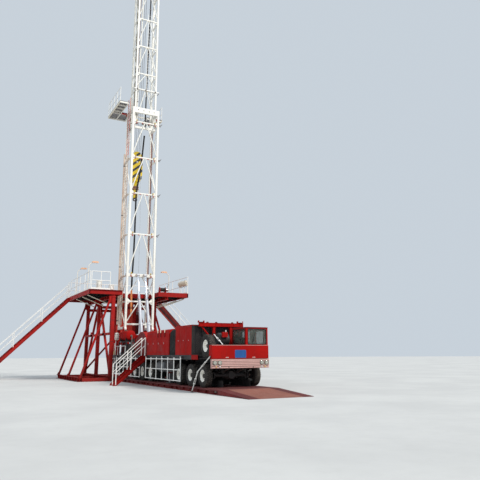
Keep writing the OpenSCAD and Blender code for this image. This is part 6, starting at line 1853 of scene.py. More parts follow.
def make_mast_base():
    g = G().use("red")
    for s in (-1, 1):
        g.box(s * 0.81, s * 1.11, 14.5, 14.9, 1.642, 3.058, 0.012)
        for z in (1.66, 2.25, 2.98):
            g.box(s * 0.8095, s * 1.1105, 14.4992, 14.9008, z, z + 0.05, 0.002, "red_dark")
        for a, b in ((0.819, 0.857), (1.063, 1.101)):
            pts = [(14.565, 3.056), (14.575, 3.34)] + [(14.70 + 0.125 * cos(rad(q)), 3.352 + 0.125 * sin(rad(q))) for q in range(160, 19, -14)] + [(14.825, 3.34), (14.835, 3.056)]
            g.prism("x", pts, s * a, s * b)
        g.lathe([(0, 0.0), (0.056, 0.0), (0.0598, 0.004), (0.0598, 0.280), (0.056, 0.284), (0, 0.284)], (min(s * 0.818, s * 1.102), 14.7, 3.35), "x", 28, "steel")
        # rear rests with pads, diagonals and stretchers
        g.box(s * 0.87, s * 1.05, 16.02, 16.24, 1.642, 3.285, 0.012)
        g.box(s * 0.875, s * 1.045, 16.025, 16.235, 3.284, 3.3185, 0.004, "gasket")
        g.box(s * 0.868, s * 1.052, 16.018, 16.242, 1.642, 1.66, 0.003)
        g.prism("x", [(14.56, 2.94), (14.62, 2.79), (13.12, 1.70), (12.93, 1.643), (12.86, 1.643), (12.87, 1.70)], s * 0.885, s * 1.035)
        g.prism("x", [(14.50, 2.60), (14.50, 2.90), (14.20, 2.66), (14.32, 2.50)], s * 0.952, s * 0.968)
        g.box(s * 0.90, s * 1.02, 14.90, 16.02, 2.302, 2.448, 0.010)
        for k in range(4):
            g.hexa((s * 0.90, 14.99 + 0.3 * k, 2.375), (-s, 0, 0), 0.012, 0.009, "iron")
    g.box(-0.81, 0.81, 14.562, 14.838, 2.702, 2.958, 0.010)
    for x in (-0.5, 0, 0.5):
        g.prism("x", [(14.563, 2.703), (14.561, 2.703), (14.561, 2.957), (14.563, 2.957)], x - 0.02, x + 0.02, "red_dark")
    g.box(-0.87, 0.87, 16.062, 16.198, 2.702, 2.898, 0.010)
    # brackets of the raising cylinders
    for X in (-0.265, 0.265):
        for a in (-0.175, 0.145):
            pts = [(12.71, 1.642), (12.84, 1.85), (12.875, 1.892), (12.92, 1.90), (12.98, 1.90), (13.025, 1.892), (13.06, 1.85), (13.19, 1.642)]
            g.prism("x", pts, X + a, X + a + 0.03)
            g.lathe([(0.0452, -0.002), (0.075, -0.002), (0.075, 0.032), (0.0452, 0.032)], (X + a, 12.95, 1.79), "x", 28, "red_dark", closed=True)
        g.lathe([(0, 0), (0.043, 0), (0.0449, 0.003), (0.0449, 0.317), (0.043, 0.32), (0, 0.32)], (X - 0.16, 12.95, 1.79), "x", 28, "steel")
        for s in (-1, 1):
            g.prism("y", [(X + s * 0.175, 1.66), (X + s * 0.21, 1.66), (X + s * 0.175, 1.80)], 12.945, 12.955)
    g.box(-0.48, 0.48, 12.65, 13.25, 1.641, 1.660, 0.004)
    for x in (-0.44, 0.44):
        for y in (12.70, 12.85, 13.05, 13.20):
            g.hexa((x, y, 1.66), "z", 0.014, 0.012, "iron")
    piece("mast_base_detail", g, "root", "mast_base", "signal_red")

    # drum on a dark frame in front of the mast's foot
    g = G().use("red")
    X, Z, R = -1.12, 2.87, 0.31
    g.push(Matrix.Translation((0, 0.42, 0)))
    g.lathe([(0, 0), (0.12, 0.004), (0.22, 0.022), (0.285, 0.060), (R, 0.12), (R, 1.62), (0.285, 1.68), (0.22, 1.718), (0.12, 1.736), (0, 1.74)], (X, 12.30, Z), "y", 56)
    for y in (12.55, 13.17, 13.79):
        g.lathe([(R - 0.004, -0.025), (R + 0.008, -0.022), (R + 0.008, 0.022), (R - 0.004, 0.025)], (X, y, Z), "y", 56, "red_dark", closed=True)
    for y in (12.55, 13.79):
        # saddles
        pts = [(X - 0.30, 2.50), (X + 0.30, 2.50)] + [(X + (R + 0.002) * cos(rad(a)), Z + (R + 0.002) * sin(rad(a))) for a in range(-20, -161, -10)]
        g.prism("y", pts, y - 0.03, y + 0.03, "black")
    g.lathe([(0, 0), (0.07, 0), (0.07, 0.03), (0.085, 0.035), (0.085, 0.055), (0.05, 0.065), (0, 0.068)], (X, 13.45, Z + R - 0.004), "z", 24, "iron")
    g.tube([(X, 12.31, Z - 0.05), (X, 12.20, Z - 0.05), (X, 12.15, Z - 0.12), (X, 12.15, 1.75)], 0.035, 14, "iron")
    g.disc((X, 12.28, Z - 0.05), "y", 0.07, 0.03, 20, 0.003, "iron")
    for y in (12.38, 13.17, 13.96):
        for x in (-1.40, -0.86):
            g.box(x - 0.03, x + 0.03, y - 0.03, y + 0.03, 1.642, 2.50, 0.005, "black")
    for z in (1.70, 2.46):
        for x in (-1.40, -0.86):
            g.box(x - 0.028, x + 0.028, 12.36, 13.98, z - 0.03, z + 0.03, 0.004, "black")
        for y in (12.38, 13.96):
            g.box(-1.40, -0.86, y - 0.028, y + 0.028, z - 0.03, z + 0.03, 0.004, "black")
    # pump and cooler inside the frame, in near-black and dark red that paint the shade there
    g.box(-1.34, -0.92, 12.48, 13.06, 1.72, 2.34, 0.02, "under")
    for k in range(14):
        g.box(-1.350, -1.338, 12.52 + 0.038 * k, 12.532 + 0.038 * k, 1.78, 2.28, 0.001, "black_satin")
    g.lathe([(0, 0), (0.17, 0), (0.19, 0.02), (0.19, 0.42), (0.16, 0.46), (0, 0.46)], (-1.12, 13.26, 2.02), "y", 36, "red_shade")
    for k in range(9):
        g.ring((-1.12, 13.32 + 0.04 * k, 2.02), "y", 0.191, 0.005, 36, 6, "red_shade")
    g.lathe([(0, 0), (0.10, 0), (0.10, 0.03), (0.16, 0.05), (0.17, 0.16), (0.12, 0.20), (0, 0.20)], (-1.12, 13.72, 2.02), "y", 32, "drum_black")
    g.box(-1.30, -0.94, 13.20, 13.94, 1.66, 1.84, 0.01, "black")
    g.pop()
    piece("deck_tank", g, "root", slot="signal_red")

    # low valve bank between the drum cover and the tank, with hoses on the deck; its top is a darker red that paints
    # shade
    g = G().use("black")
    g.box(-1.37, -1.06, 11.66, 12.06, 1.66, 2.10, 0.01)
    g.box(-1.36, -1.08, 11.68, 12.04, 2.10, 2.16, 0.008, "red_shade")
    for k in range(5):
        g.rod((-1.32 + 0.05 * k, 11.88, 2.15), (-1.34 + 0.05 * k, 11.80, 2.36), 0.008, 8, "steel")
        g.lathe([(0, -0.015), (0.016, -0.008), (0.018, 0.004), (0, 0.02)], (-1.34 + 0.05 * k, 11.80, 2.37), "z", 14, "black_satin")
        g.disc((-1.372, 11.72 + 0.07 * k, 1.86), "x", 0.020, 0.02, 14, 0.003, "steel")
    for k in range(4):
        x = -0.74 + 0.07 * k
        g.tube([(x, 11.62, 1.70), (x, 11.9, 1.675 + 0.01 * k), (x + 0.05, 12.4, 1.68), (x + 0.02, 12.9, 1.70), (x + 0.05, 13.3, 1.72)], 0.019, 10, "hose")
    piece("deck_valves", g, "root", slot="matt_black")

    # white upright tank on a post at the rear right of the deck, with a small pump below, and a low rail
    g = G().use("white")
    x, y = -1.30, 15.38
    g.lathe([(0, 2.585), (0.05, 2.587), (0.10, 2.602), (0.135, 2.640), (0.148, 2.70), (0.148, 3.00), (0.135, 3.06), (0.10, 3.095), (0.05, 3.110), (0, 3.112)], (x, y, 0), "z", 36)
    for z in (2.72, 2.98):
        g.lathe([(0.146, -0.014), (0.152, -0.012), (0.152, 0.012), (0.146, 0.014)], (x, y, z), "z", 36, "steel", closed=True)
    g.lathe([(0, 0), (0.022, 0), (0.022, 0.03), (0.03, 0.035), (0.03, 0.06), (0, 0.065)], (x, y, 3.105), "z", 16, "iron")
    g.box(x - 0.04, x + 0.04, y - 0.04, y + 0.04, 1.642, 2.60, 0.008, "red_sub")
    g.box(x - 0.10, x + 0.10, y - 0.10, y + 0.10, 1.641, 1.656, 0.004, "red_sub")
    g.box(x - 0.11, x + 0.11, y - 0.11, y + 0.11, 2.570, 2.590, 0.005, "red_sub")
    g.tube([(x, y, 2.59), (x + 0.02, y + 0.10, 2.50), (x + 0.04, y + 0.14, 2.30), (x + 0.04, y + 0.14, 1.90)], 0.014, 10, "hose")
    g.lathe([(0, 0), (0.085, 0), (0.095, 0.02), (0.095, 0.20), (0.07, 0.235), (0.03, 0.25), (0.03, 0.28), (0, 0.28)], (x - 0.01, y + 0.26, 1.66), "z", 28, "dull_yellow")
    g.disc((x - 0.01, y + 0.26, 1.652), "z", 0.12, 0.02, 28, 0.004, "iron")
    g.use("white_rail")
    for q in (12.95, 14.60, 15.10):
        g.rod((-1.42, q, 1.642), (-1.42, q, 2.20), 0.018, 12, None, 0.003)
        g.box(-1.448, -1.392, q - 0.03, q + 0.03, 1.641, 1.650, 0.002)
    g.tube([(-1.42, 12.95, 2.16), (-1.42, 12.96, 2.19), (-1.42, 12.99, 2.20), (-1.42, 15.06, 2.20), (-1.42, 15.09, 2.19), (-1.42, 15.10, 2.16)], 0.018, 12)
    g.rod((-1.42, 15.42, 1.642), (-1.42, 15.42, 2.42), 0.020, 12, None, 0.003)
    g.box(-1.448, -1.392, 15.39, 15.45, 1.641, 1.650, 0.002)
    piece("deck_locker", g, "root", slot="mast_white")


make_mast_base()


# ------------------------------------------------------------------ stair beside the hood
def make_side_stair():
    g = G().use("red")
    for y in (8.61, 9.25):
        g.prism("y", [(-1.455, 1.639), (-1.455, 1.381), (-3.132, 0.001), (-3.328, 0.001), (-3.328, 0.059), (-1.561, 1.639)], y + 0.024, y + 0.036)
        # flanges along the edges
        g.beam((-1.50, y + 0.03, 1.662 + 0.0 - 0.03), (-3.30, y + 0.03, 0.075), 0.058, 0.012, 0.002, (0, 1, 0))
        g.beam((-1.465, y + 0.03, 1.395), (-3.125, y + 0.03, 0.03), 0.058, 0.012, 0.002, (0, 1, 0))
        g.box(-3.33, -3.13, y + 0.002, y + 0.058, 0.0, 0.014, 0.003)
        g.box(-1.467, -1.452, y + 0.002, y + 0.058, 1.382, 1.638, 0.003)
        for z in (1.46, 1.56):
            g.hexa((-1.466, y + 0.014, z), (-1, 0, 0), 0.009, 0.008, "iron")
    for k in range(1, 7):
        xc = -1.48 - 0.235 * k
        z = 1.64 - 0.210 * k - 0.132
        g.box(xc - 0.118, xc + 0.118, 8.652, 8.664, z - 0.036, z, 0.002)
        g.box(xc - 0.118, xc + 0.118, 9.236, 9.248, z - 0.036, z, 0.002)
        for x in (xc - 0.118, xc + 0.106):
            g.box(x, x + 0.012, 8.66, 9.24, z - 0.036, z, 0.003)
        for j in range(6):
            x = xc - 0.088 + 0.0335 * j
            g.box(x - 0.0025, x + 0.0025, 8.662, 9.238, z - 0.026, z - 0.002, 0.0008, "galv")
        for j in range(12):
            y = 8.70 + 0.045 * j
            g.box(xc - 0.106, xc + 0.106, y - 0.0025, y + 0.0025, z - 0.008, z - 0.001, 0.0008, "galv")
    g.use("white_rail")
    for y in (8.64, 9.28):
        g.rod((-3.18, y, 0.05), (-3.18, y, 1.152), 0.0255, 16, None, 0.004)
        g.rod((-1.56, y, 1.60), (-1.56, y, 2.602), 0.0255, 16, None, 0.004)
        g.rod((-2.37, y, 0.835), (-2.37, y, 1.900), 0.0255, 16, None, 0.004)
        g.tube([(-3.19, y, 1.135), (-3.18, y, 1.150), (-1.585, y, 2.578), (-1.565, y, 2.592), (-1.545, y, 2.585)], 0.0195, 14)
        g.rod((-3.18, y, 0.72), (-1.56, y, 2.17), 0.0195, 14)
        for x, z in ((-3.18, 0.06), (-2.37, 0.86)):
            g.box(x - 0.035, x + 0.035, y - 0.031, y + 0.031, z, z + 0.006, 0.002)
    piece("side_stair_detail", g, "root", "side_stair", "signal_red")


make_side_stair()


# ------------------------------------------------------------------ folding deck rails
def make_guard(name, body, s, y0, y1):
    g = G().use("white_rail")
    X = s * 1.57
    n = round((y1 - y0) / 0.85)
    hinge = [0, round(0.5 * n), n]
    for k in range(n + 1):
        y = y0 + k * (y1 - y0) / n
        g.rod((X, y, 1.53), (X, y, 0.39), 0.0245, 16, None, 0.005)
        g.prism("x", [(y - 0.085, 1.448), (y + 0.085, 1.448), (y + 0.014, 1.530), (y - 0.014, 1.530)], X - 0.004, X + 0.004)
        # worn sockets where the cross tubes meet the column
        for z in (1.44, 0.93, 0.42):
            g.lathe([(0.0245, -0.034), (0.0262, -0.030), (0.0262, 0.030), (0.0245, 0.034)], (X, y, z), "z", 16, "white_rail", closed=True)
    for z in (1.44, 0.93, 0.42):
        g.rod((X, y0 - 0.030, z), (X, y1 + 0.030, z), 0.0215, 16, None, 0.005)
    for k in hinge:
        y = y0 + k * (y1 - y0) / n
        g.lathe([(0.01506, -0.030), (0.0318, -0.030), (0.0318, 0.030), (0.01506, 0.030)], (X, y, 1.54), "y", 20, "white_rail", closed=True)
        for t in (-0.012, 0.012):
            g.prism("y", [(X - 0.024, 1.44), (X + 0.024, 1.44), (X + 0.012, 1.515), (X - 0.012, 1.515)], y + t - 0.004, y + t + 0.004)
    # locking pins
    for k in (1, n - 1):
        y = y0 + k * (y1 - y0) / n
        g.rod((X - 0.004, y + 0.05, 1.418), (X - 0.004, y + 0.05, 1.395), 0.004, 8, "steel")
    piece(name + "_detail", g, body, name, "mast_white")


for _n, _s, _g in (("deck_rail_front_right", -1, (3.29, 8.40)), ("deck_rail_front_left", 1, (3.29, 8.40)), ("deck_rail_rear_right", -1, (9.48, 14.25)), ("deck_rail_rear_left", 1, (9.48, 14.25))):
    make_guard(_n, _n, _s, *_g)


# ------------------------------------------------------------------ substructure and drill floor
SUB, REAR, FZ, FHW = 1.9, 21.75, 5.9, 3.54


def make_substructure():
    g = G().use("red_sub")
    for s in (-1, 1):
        # base beams as wide-flange profiles, boxed at the ends
        g.ibeam((s * SUB, 14.302, 0.16), (s * SUB, REAR - 0.002, 0.16), 0.298, 0.318, 0.016, 0.024)
        for k in range(14):
            y = 14.42 + 0.545 * k
            for t in (-1, 1):
                g.box(s * SUB + t * 0.010, s * SUB + t * 0.145, y - 0.006, y + 0.006, 0.026, 0.294, 0.002)
        g.ibeam((s * 3.825, 14.402, 0.13), (s * 3.825, REAR - 0.202, 0.13), 0.248, 0.258, 0.014, 0.020)
        for k in range(9):
            y = 14.6 + 0.80 * k
            for t in (-1, 1):
                g.box(s * 3.825 + t * 0.008, s * 3.825 + t * 0.120, y - 0.005, y + 0.005, 0.022, 0.238, 0.002)
        for y in (14.4, 17.95, REAR - 0.43):
            g.box(s * (SUB + 0.149), s * 3.701, y + 0.002, y + 0.228, 0.002, 0.218, 0.010)
        for y, raker in ((14.4 if s < 0 else 16.9, s < 0), (17.95, True), (REAR - 0.43, True)):
            # legs: box columns with head and foot plates, ribs and pinned lugs
            g.box(s * SUB - 0.114, s * SUB + 0.114, y + 0.002, y + 0.228, 0.318, FZ - 0.402, 0.014)
            for z in (0.322, FZ - 0.43):
                g.box(s * SUB - 0.1148, s * SUB + 0.1148, y + 0.0002, y + 0.2298, z, z + 0.024, 0.004)
            for z in (1.6, 2.5, 3.9, 4.7):
                g.frame("z", (s * SUB - 0.1149, s * SUB + 0.1149, y + 0.0001, y + 0.2299), (s * SUB - 0.110, s * SUB + 0.110, y + 0.005, y + 0.225), z - 0.02, z + 0.02, 0.012, 0.01, 3, "red_dark")
            if not raker:
                continue
            # raking legs with plates at both ends
            a, b = (s * (SUB + 0.18), y + 0.115, FZ - 0.52), (s * 3.83, y + 0.115, 0.15)
            g.rod(a, b, 0.074, 22, "red_sub", 0.006)
            d = (Vector(b) - Vector(a)).normalized()
            for q in (a, b):
                v = Vector(q) + d * (0.22 if q is a else -0.22)
                g.ring(tuple(v), tuple(d), 0.076, 0.008, 24, 8)
            for t in (-0.045, 0.045):
                g.prism("y", [(s * (SUB + 0.115), FZ - 0.42), (s * (SUB + 0.115), FZ - 0.92), (s * (SUB + 0.30), FZ - 0.75), (s * (SUB + 0.27), FZ - 0.42)], y + 0.115 + t - 0.006, y + 0.115 + t + 0.006)
                g.prism("y", [(s * 3.72, 0.24), (s * 3.92, 0.24), (s * 3.86, 0.40), (s * 3.70, 0.48)], y + 0.115 + t - 0.006, y + 0.115 + t + 0.006)
        bar(g, (s * SUB, 14.52, 0.40), (s * SUB, 18.0, FZ - 0.5), 0.138)
        bar(g, (s * SUB, 21.4, 0.40), (s * SUB, 18.1, FZ - 0.5), 0.138)
        g.box(s * SUB - 0.088, s * SUB + 0.088, 14.602, REAR - 0.402, 2.952, 3.108, 0.010)
        for y, z in ((16.35, 3.03), (19.75, 3.03)):
            g.prism("x", [(y - 0.30, z - 0.075), (y + 0.30, z - 0.075), (y + 0.2, z + 0.24), (y - 0.2, z + 0.24)], s * SUB - 0.008 + 0.08 * s, s * SUB + 0.008 + 0.08 * s)
        g.ibeam((s * SUB, 14.402, FZ - 0.411), (s * SUB, REAR - 0.002, FZ - 0.411), 0.198, 0.216, 0.012, 0.018)
        for k in range(12):
            y = 14.55 + 0.62 * k
            for t in (-1, 1):
                g.box(s * SUB + t * 0.008, s * SUB + t * 0.096, y - 0.005, y + 0.005, FZ - 0.50, FZ - 0.322, 0.002)
        # columns behind the mast's foot
        g.box(s * 0.622, s * 0.818, 18.002, 18.158, 0.20, 4.898, 0.012)
        for z in (1.2, 2.4, 3.7):
            g.frame("z", (min(s * 0.6205, s * 0.8195), max(s * 0.6205, s * 0.8195), 18.0005, 18.1595), (min(s * 0.626, s * 0.814), max(s * 0.626, s * 0.814), 18.006, 18.154), z - 0.02, z + 0.02, 0.012, 0.01, 3, "red_dark")
    g.box(-SUB, SUB, REAR - 0.298, REAR - 0.082, 0.002, 0.218, 0.010)
    g.box(-SUB, SUB, 18.562, 18.758, 0.002, 0.198, 0.010)
    for y in (18.0, REAR - 0.4):
        g.box(-SUB, SUB, y + 0.002, y + 0.158, 4.902, 5.098, 0.010)
    bar(g, (-SUB, REAR - 0.31, 0.5), (SUB, REAR - 0.31, 4.9), 0.118)
    # panel with pressed ribs, in a bright red that paints light on a panel that stands in shade
    g.box(-0.62, 0.62, 18.052, 18.108, 2.602, 5.589, 0.004, "panel_red")
    for k in range(7):
        x = -0.54 + 0.18 * k
        g.prism("z", [(x - 0.05, 18.052), (x - 0.03, 18.042), (x + 0.03, 18.042), (x + 0.05, 18.052)], 2.66, 5.53, "panel_red")
    # bolts at the base plates
    for s in (-1, 1):
        for y in (14.4 if s < 0 else 16.9, 17.95, REAR - 0.43):
            for dx in (-0.13, 0.13):
                for dy in (0.03, 0.2):
                    g.hexa((s * SUB + dx, y + dy, 0.320), "z", 0.016, 0.016, "iron")
    piece("substructure_detail", g, "root", "substructure", "signal_red")


def make_floor():
    g = G().use("red_sub")
    for s in (-1, 1):
        # edge channels, their webs to the outside
        g.box(s * (FHW - 0.014), s * FHW, 14.541, REAR - 0.001, FZ - 0.299, FZ - 0.001, 0.003)
        for z in (FZ - 0.299, FZ - 0.046):
            g.box(s * (FHW - 0.089), s * (FHW - 0.010), 14.545, REAR - 0.005, z, z + 0.016, 0.003)
        for k in range(9):
            y = 14.9 + 0.80 * k
            g.box(s * (FHW - 0.085), s * (FHW - 0.012), y - 0.005, y + 0.005, FZ - 0.285, FZ - 0.03, 0.002)
        g.chan((s * 1.27, 14.595, FZ - 0.15), (s * (FHW - 0.09), 14.595, FZ - 0.15), 0.108, 0.298, 0.014)
        g.box(s * 1.271, s * 1.379, 14.65, 16.36, FZ - 0.298, FZ - 0.031, 0.006)
        # beams under the wings, in near-black that paints the shade under the floor
        for y in (16.5, 18.3, 20.0):
            g.ibeam((s * 0.6, y + 0.045, FZ - 0.145), (s * (FHW - 0.09), y + 0.045, FZ - 0.145), 0.088, 0.228, 0.008, 0.012, None, "under")
        for y in (15.0, 15.6, 16.2, 17.1, 17.7, 18.9, 19.5, 20.6, 21.2):
            g.ibeam((s * 1.38 if y < 16.3 else s * 0.76, y, FZ - 0.09), (s * (FHW - 0.09), y, FZ - 0.09), 0.06, 0.115, 0.006, 0.008, None, "under")
    g.box(-1.379, 1.379, 16.342, 16.418, FZ - 0.299, FZ - 0.031, 0.006)
    g.box(-FHW + 0.09, FHW - 0.09, REAR - 0.108, REAR - 0.002, FZ - 0.299, FZ - 0.031, 0.006)
    # beams under the middle, in near-black that paints the shade under the floor
    for x in (-0.76, 0.66):
        g.ibeam((x + 0.05, 16.42, FZ - 0.165), (x + 0.05, REAR - 0.11, FZ - 0.165), 0.098, 0.268, 0.010, 0.014, None, "under")
    # plates of the floor, with a raised pattern of seams and a well ring
    def plates(x0, x1, y0, y1, nx, ny, m="red_deck"):
        for i in range(nx):
            for j in range(ny):
                a0, a1 = x0 + (x1 - x0) * i / nx, x0 + (x1 - x0) * (i + 1) / nx
                b0, b1 = y0 + (y1 - y0) * j / ny, y0 + (y1 - y0) * (j + 1) / ny
                g.box(a0 + 0.003, a1 - 0.003, b0 + 0.003, b1 - 0.003, FZ - 0.026, FZ - 0.0006, 0.0025, m)
        # a near-black layer under the plates paints the shade of the floor's underside
        g.box(x0 + 0.002, x1 - 0.002, y0 + 0.002, y1 - 0.002, FZ - 0.0298, FZ - 0.0265, 0.001, "under")
    plates(1.292, FHW - 0.022, 14.562, 16.40, 2, 2)
    plates(-FHW + 0.022, -1.292, 14.562, 16.40, 2, 2)
    plates(-FHW + 0.022, -0.662, 16.40, 17.30, 2, 1)
    plates(0.662, FHW - 0.022, 16.40, 17.30, 2, 1)
    plates(-FHW + 0.022, FHW - 0.022, 17.30, REAR - 0.022, 6, 4)
    # around the table: a plate with a round opening
    N_ = 48
    v, f = [], []
    for z in (FZ - 0.029, FZ - 0.0008):
        for k in range(N_):
            a = 2 * pi * (k + 0.5) / N_
            c, q = cos(a), sin(a)
            t = min(0.659 / abs(c) if abs(c) > 1e-6 else 9, (0.447 if q > 0 else 0.43) / abs(q) if abs(q) > 1e-6 else 9)
            v.append((t * c, 16.85 + t * q, z))
        for k in range(N_):
            a = 2 * pi * (k + 0.5) / N_
            v.append((0.388 * cos(a), 16.85 + 0.388 * sin(a), z))
    for k in range(N_):
        l = (k + 1) % N_
        f += [(2 * N_ + k, 2 * N_ + l, 3 * N_ + l, 3 * N_ + k), (l, k, N_ + k, N_ + l), (k, l, 2 * N_ + l, 2 * N_ + k), (N_ + l, N_ + k, 3 * N_ + k, 3 * N_ + l)]
    g.add(v, f, "red_deck")
    g.lathe([(0.386, -0.298), (0.459, -0.298), (0.459, -0.03), (0.386, -0.03)], (0, 16.85, FZ), "z", 56, "red_dark", closed=True)
    g.lathe([(0.302, -0.298), (0.386, -0.298), (0.386, -0.242), (0.302, -0.242)], (0, 16.85, FZ), "z", 56, "red_dark", closed=True)
    g.box(-0.658, -0.46, 16.602, 17.098, FZ - 0.299, FZ - 0.202, 0.006)
    g.box(0.46, 0.658, 16.602, 17.098, FZ - 0.299, FZ - 0.202, 0.006)
    piece("drill_floor_detail", g, "root", "drill_floor", "signal_red")

    # table: ring with drive slots, master bushing and hinged lifting eyes
    g = G().use("steel")
    b = 0.2226
    g.lathe([(b, 0.0), (0.372, 0.0), (0.3745, 0.003), (0.3745, 0.10), (0.368, 0.104), (0.368, 0.132), (0.3745, 0.136), (0.3745, 0.246), (0.368, 0.2535), (0.30, 0.2538), (0.296, 0.2515), (0.262, 0.2515), (0.258, 0.2538), (0.232, 0.2538), (b, 0.246)],
            (0, 16.85, FZ - 0.234), "z", 64, None, closed=True)
    for k in range(4):
        a = rad(45 + 90 * k)
        g.disc((0.334 * cos(a), 16.85 + 0.334 * sin(a), FZ + 0.0185), "z", 0.026, 0.003, 20, 0.0008, "iron")
    for k in range(12):
        a = rad(15 + 30 * k)
        g.hexa((0.352 * cos(a), 16.85 + 0.352 * sin(a), FZ + 0.0182), "z", 0.010, 0.0016, "iron")
    for k in range(4):
        a = rad(90 * k)
        g.push(Matrix.Translation((0, 16.85, FZ)) @ Matrix.Rotation(a, 4, "Z"))
        g.box(0.236, 0.256, -0.05, 0.05, 0.016, 0.0196, 0.0015, "iron")
        g.pop()
    piece("rotary_detail", g, "rotary_table", "rotary_table", "bare_steel")


make_substructure()
make_floor()


def make_floor_stairs():
    for s, name in ((-1, "right"), (1, "left")):
        g = G().use("red_sub")
        y0, y1 = 20.65, 21.60
        for y in (y0, y1 - 0.06):
            # stringer: web with flanges
            # the near stringer on the left side is a darker red that paints the shade on it
            g.use("red_shade" if s > 0 and y == y0 else "red_sub")
            g.prism("y", [(s * (FHW + 0.004), FZ - 0.026), (s * (FHW + 0.004), FZ - 0.326), (s * (FHW + FZ - 0.312), 0.002), (s * (FHW + FZ - 0.006), 0.002)], y + 0.024, y + 0.036)
            g.beam((s * (FHW + 0.02), y + 0.03, FZ - 0.0475), (s * (FHW + FZ - 0.03), y + 0.03, 0.0025), 0.058, 0.012, 0.002, (0, 1, 0))
            g.beam((s * (FHW + 0.012), y + 0.03, FZ - 0.318), (s * (FHW + FZ - 0.330), y + 0.03, 0.022), 0.058, 0.012, 0.002, (0, 1, 0))
            g.box(s * (FHW + 0.003), s * (FHW + 0.018), y + 0.001, y + 0.059, FZ - 0.32, FZ - 0.04, 0.003)
        # stiffening plate under the rear stringer, in a bright red that paints sunlight on it
        g.prism("y", [(s * (FHW + 0.03), FZ - 0.345), (s * (FHW + FZ - 0.375), 0.030), (s * (FHW + FZ - 0.365), 0.030), (s * (FHW + 0.03), FZ - 0.335)], y1 - 0.27, y1 - 0.004, "stringer_red")
        # plate under the treads, in a dark red that paints the shade of the stair's underside
        g.prism("y", [(s * (FHW + 0.02), FZ - 0.306), (s * (FHW + FZ - 0.345), 0.020), (s * (FHW + FZ - 0.337), 0.020), (s * (FHW + 0.02), FZ - 0.298)], y0 + 0.064, y1 - 0.064, "soffit")
        g.use("red_sub")
        for k in range(1, 21):
            xc = s * (FHW - 0.04 + k * 0.28)
            z = FZ - k * 0.28 - 0.052
            for x in (xc - 0.128, xc + 0.116):
                g.box(x, x + 0.012, y0 + 0.062, y1 - 0.062, z - 0.036, z, 0.003)
            for y in (y0 + 0.062, y1 - 0.074):
                g.box(xc - 0.128, xc + 0.128, y, y + 0.012, z - 0.036, z, 0.003)
            for j in range(6):
                x = xc - 0.095 + 0.038 * j
                g.box(x - 0.0025, x + 0.0025, y0 + 0.07, y1 - 0.07, z - 0.028, z - 0.002, 0.0008, "galv")
            for j in range(9):
                y = y0 + 0.12 + 0.088 * j
                g.box(xc - 0.118, xc + 0.118, y - 0.002, y + 0.002, z - 0.007, z - 0.001, 0.0008, "galv")
        for a in g.v:
            a[:, 2] = np.maximum(a[:, 2], 0.0005)
        piece("floor_stairs_" + name, g, "root", "floor_stairs", "signal_red")


def run(g, a, b, n, h=1.2, toe=True):
    """Railing: posts with base plates, a top tube, a knee tube and a kick plate."""
    a, b = Vector(a), Vector(b)
    for k in range(n + 1):
        p = a + (b - a) * k / n
        g.rod(tuple(p), tuple(p + Vector((0, 0, h))), 0.024, 16, None, 0.004)
        g.box(p.x - 0.045, p.x + 0.045, p.y - 0.045, p.y + 0.045, p.z, p.z + 0.008, 0.003)
        g.lathe([(0.0242, -0.02), (0.0256, -0.016), (0.0256, 0.016), (0.0242, 0.02)], tuple(p + Vector((0, 0, h * 0.5))), "z", 16, None, closed=True)
    for q in (0.5, 1.0):
        z = Vector((0, 0, h * q - (0.001 if q == 1 else 0)))
        g.rod(tuple(a + z), tuple(b + z), 0.0238, 16, None, 0.004)
    if toe:
        d = (b - a).normalized()
        z = Vector((0, 0, 0.06))
        g.beam(tuple(a + z + d * 0.02), tuple(b + z - d * 0.02), 0.10 if abs(d.z) > 0.9 else 0.006, 0.10, 0.002, (0, 0, 1))


def make_floor_rails():
    g = G().use("white_rail")
    for s in (-1, 1):
        run(g, (s * (FHW - 0.04), 14.60, FZ), (s * (FHW - 0.04), 20.59, FZ), 4)
        for y in (20.68, 21.57):
            a = Vector((s * (FHW + 0.06), y, FZ - 0.06))
            b = Vector((s * (FHW + FZ - 0.4), y, 0.40))
            for k in range(4):
                p = a + (b - a) * k / 3
                g.rod(tuple(p + Vector((0, 0, 0.0))), tuple(p + Vector((0, 0, 1.028))), 0.025, 16, None, 0.004)
            for h in (0.56, 1.0):
                g.rod(tuple(a + Vector((0, 0, h))), tuple(b + Vector((0, 0, h))), 0.0195, 14, None, 0.004)
    run(g, (-2.16, 14.59, FZ), (-FHW + 0.13, 14.59, FZ), 2)
    run(g, (-FHW + 0.06, REAR - 0.06, FZ), (FHW - 0.06, REAR - 0.06, FZ), 5)
    # struts under the wings
    for y in (15.2, 16.7, 18.6):
        for s in (-1, 1):
            a, b = (s * (SUB + 0.13), y, FZ - 0.9), (s * (FHW - 0.06), y, FZ - 0.345)
            g.rod(a, b, 0.034, 18, "cream", 0.004)
            for t in (-0.02, 0.02):
                g.prism("y", [(s * (SUB + 0.105), FZ - 1.0), (s * (SUB + 0.105), FZ - 0.80), (s * (SUB + 0.20), FZ - 0.80), (s * (SUB + 0.22), FZ - 0.90)], y + t - 0.005, y + t + 0.005, "cream")
            d = (Vector(b) - Vector(a)).normalized()
            g.ring(tuple(Vector(a) + d * 0.45), tuple(d), 0.035, 0.006, 20, 8, "iron")
    piece("floor_rails_detail", g, "root", "floor_rails", "mast_white")


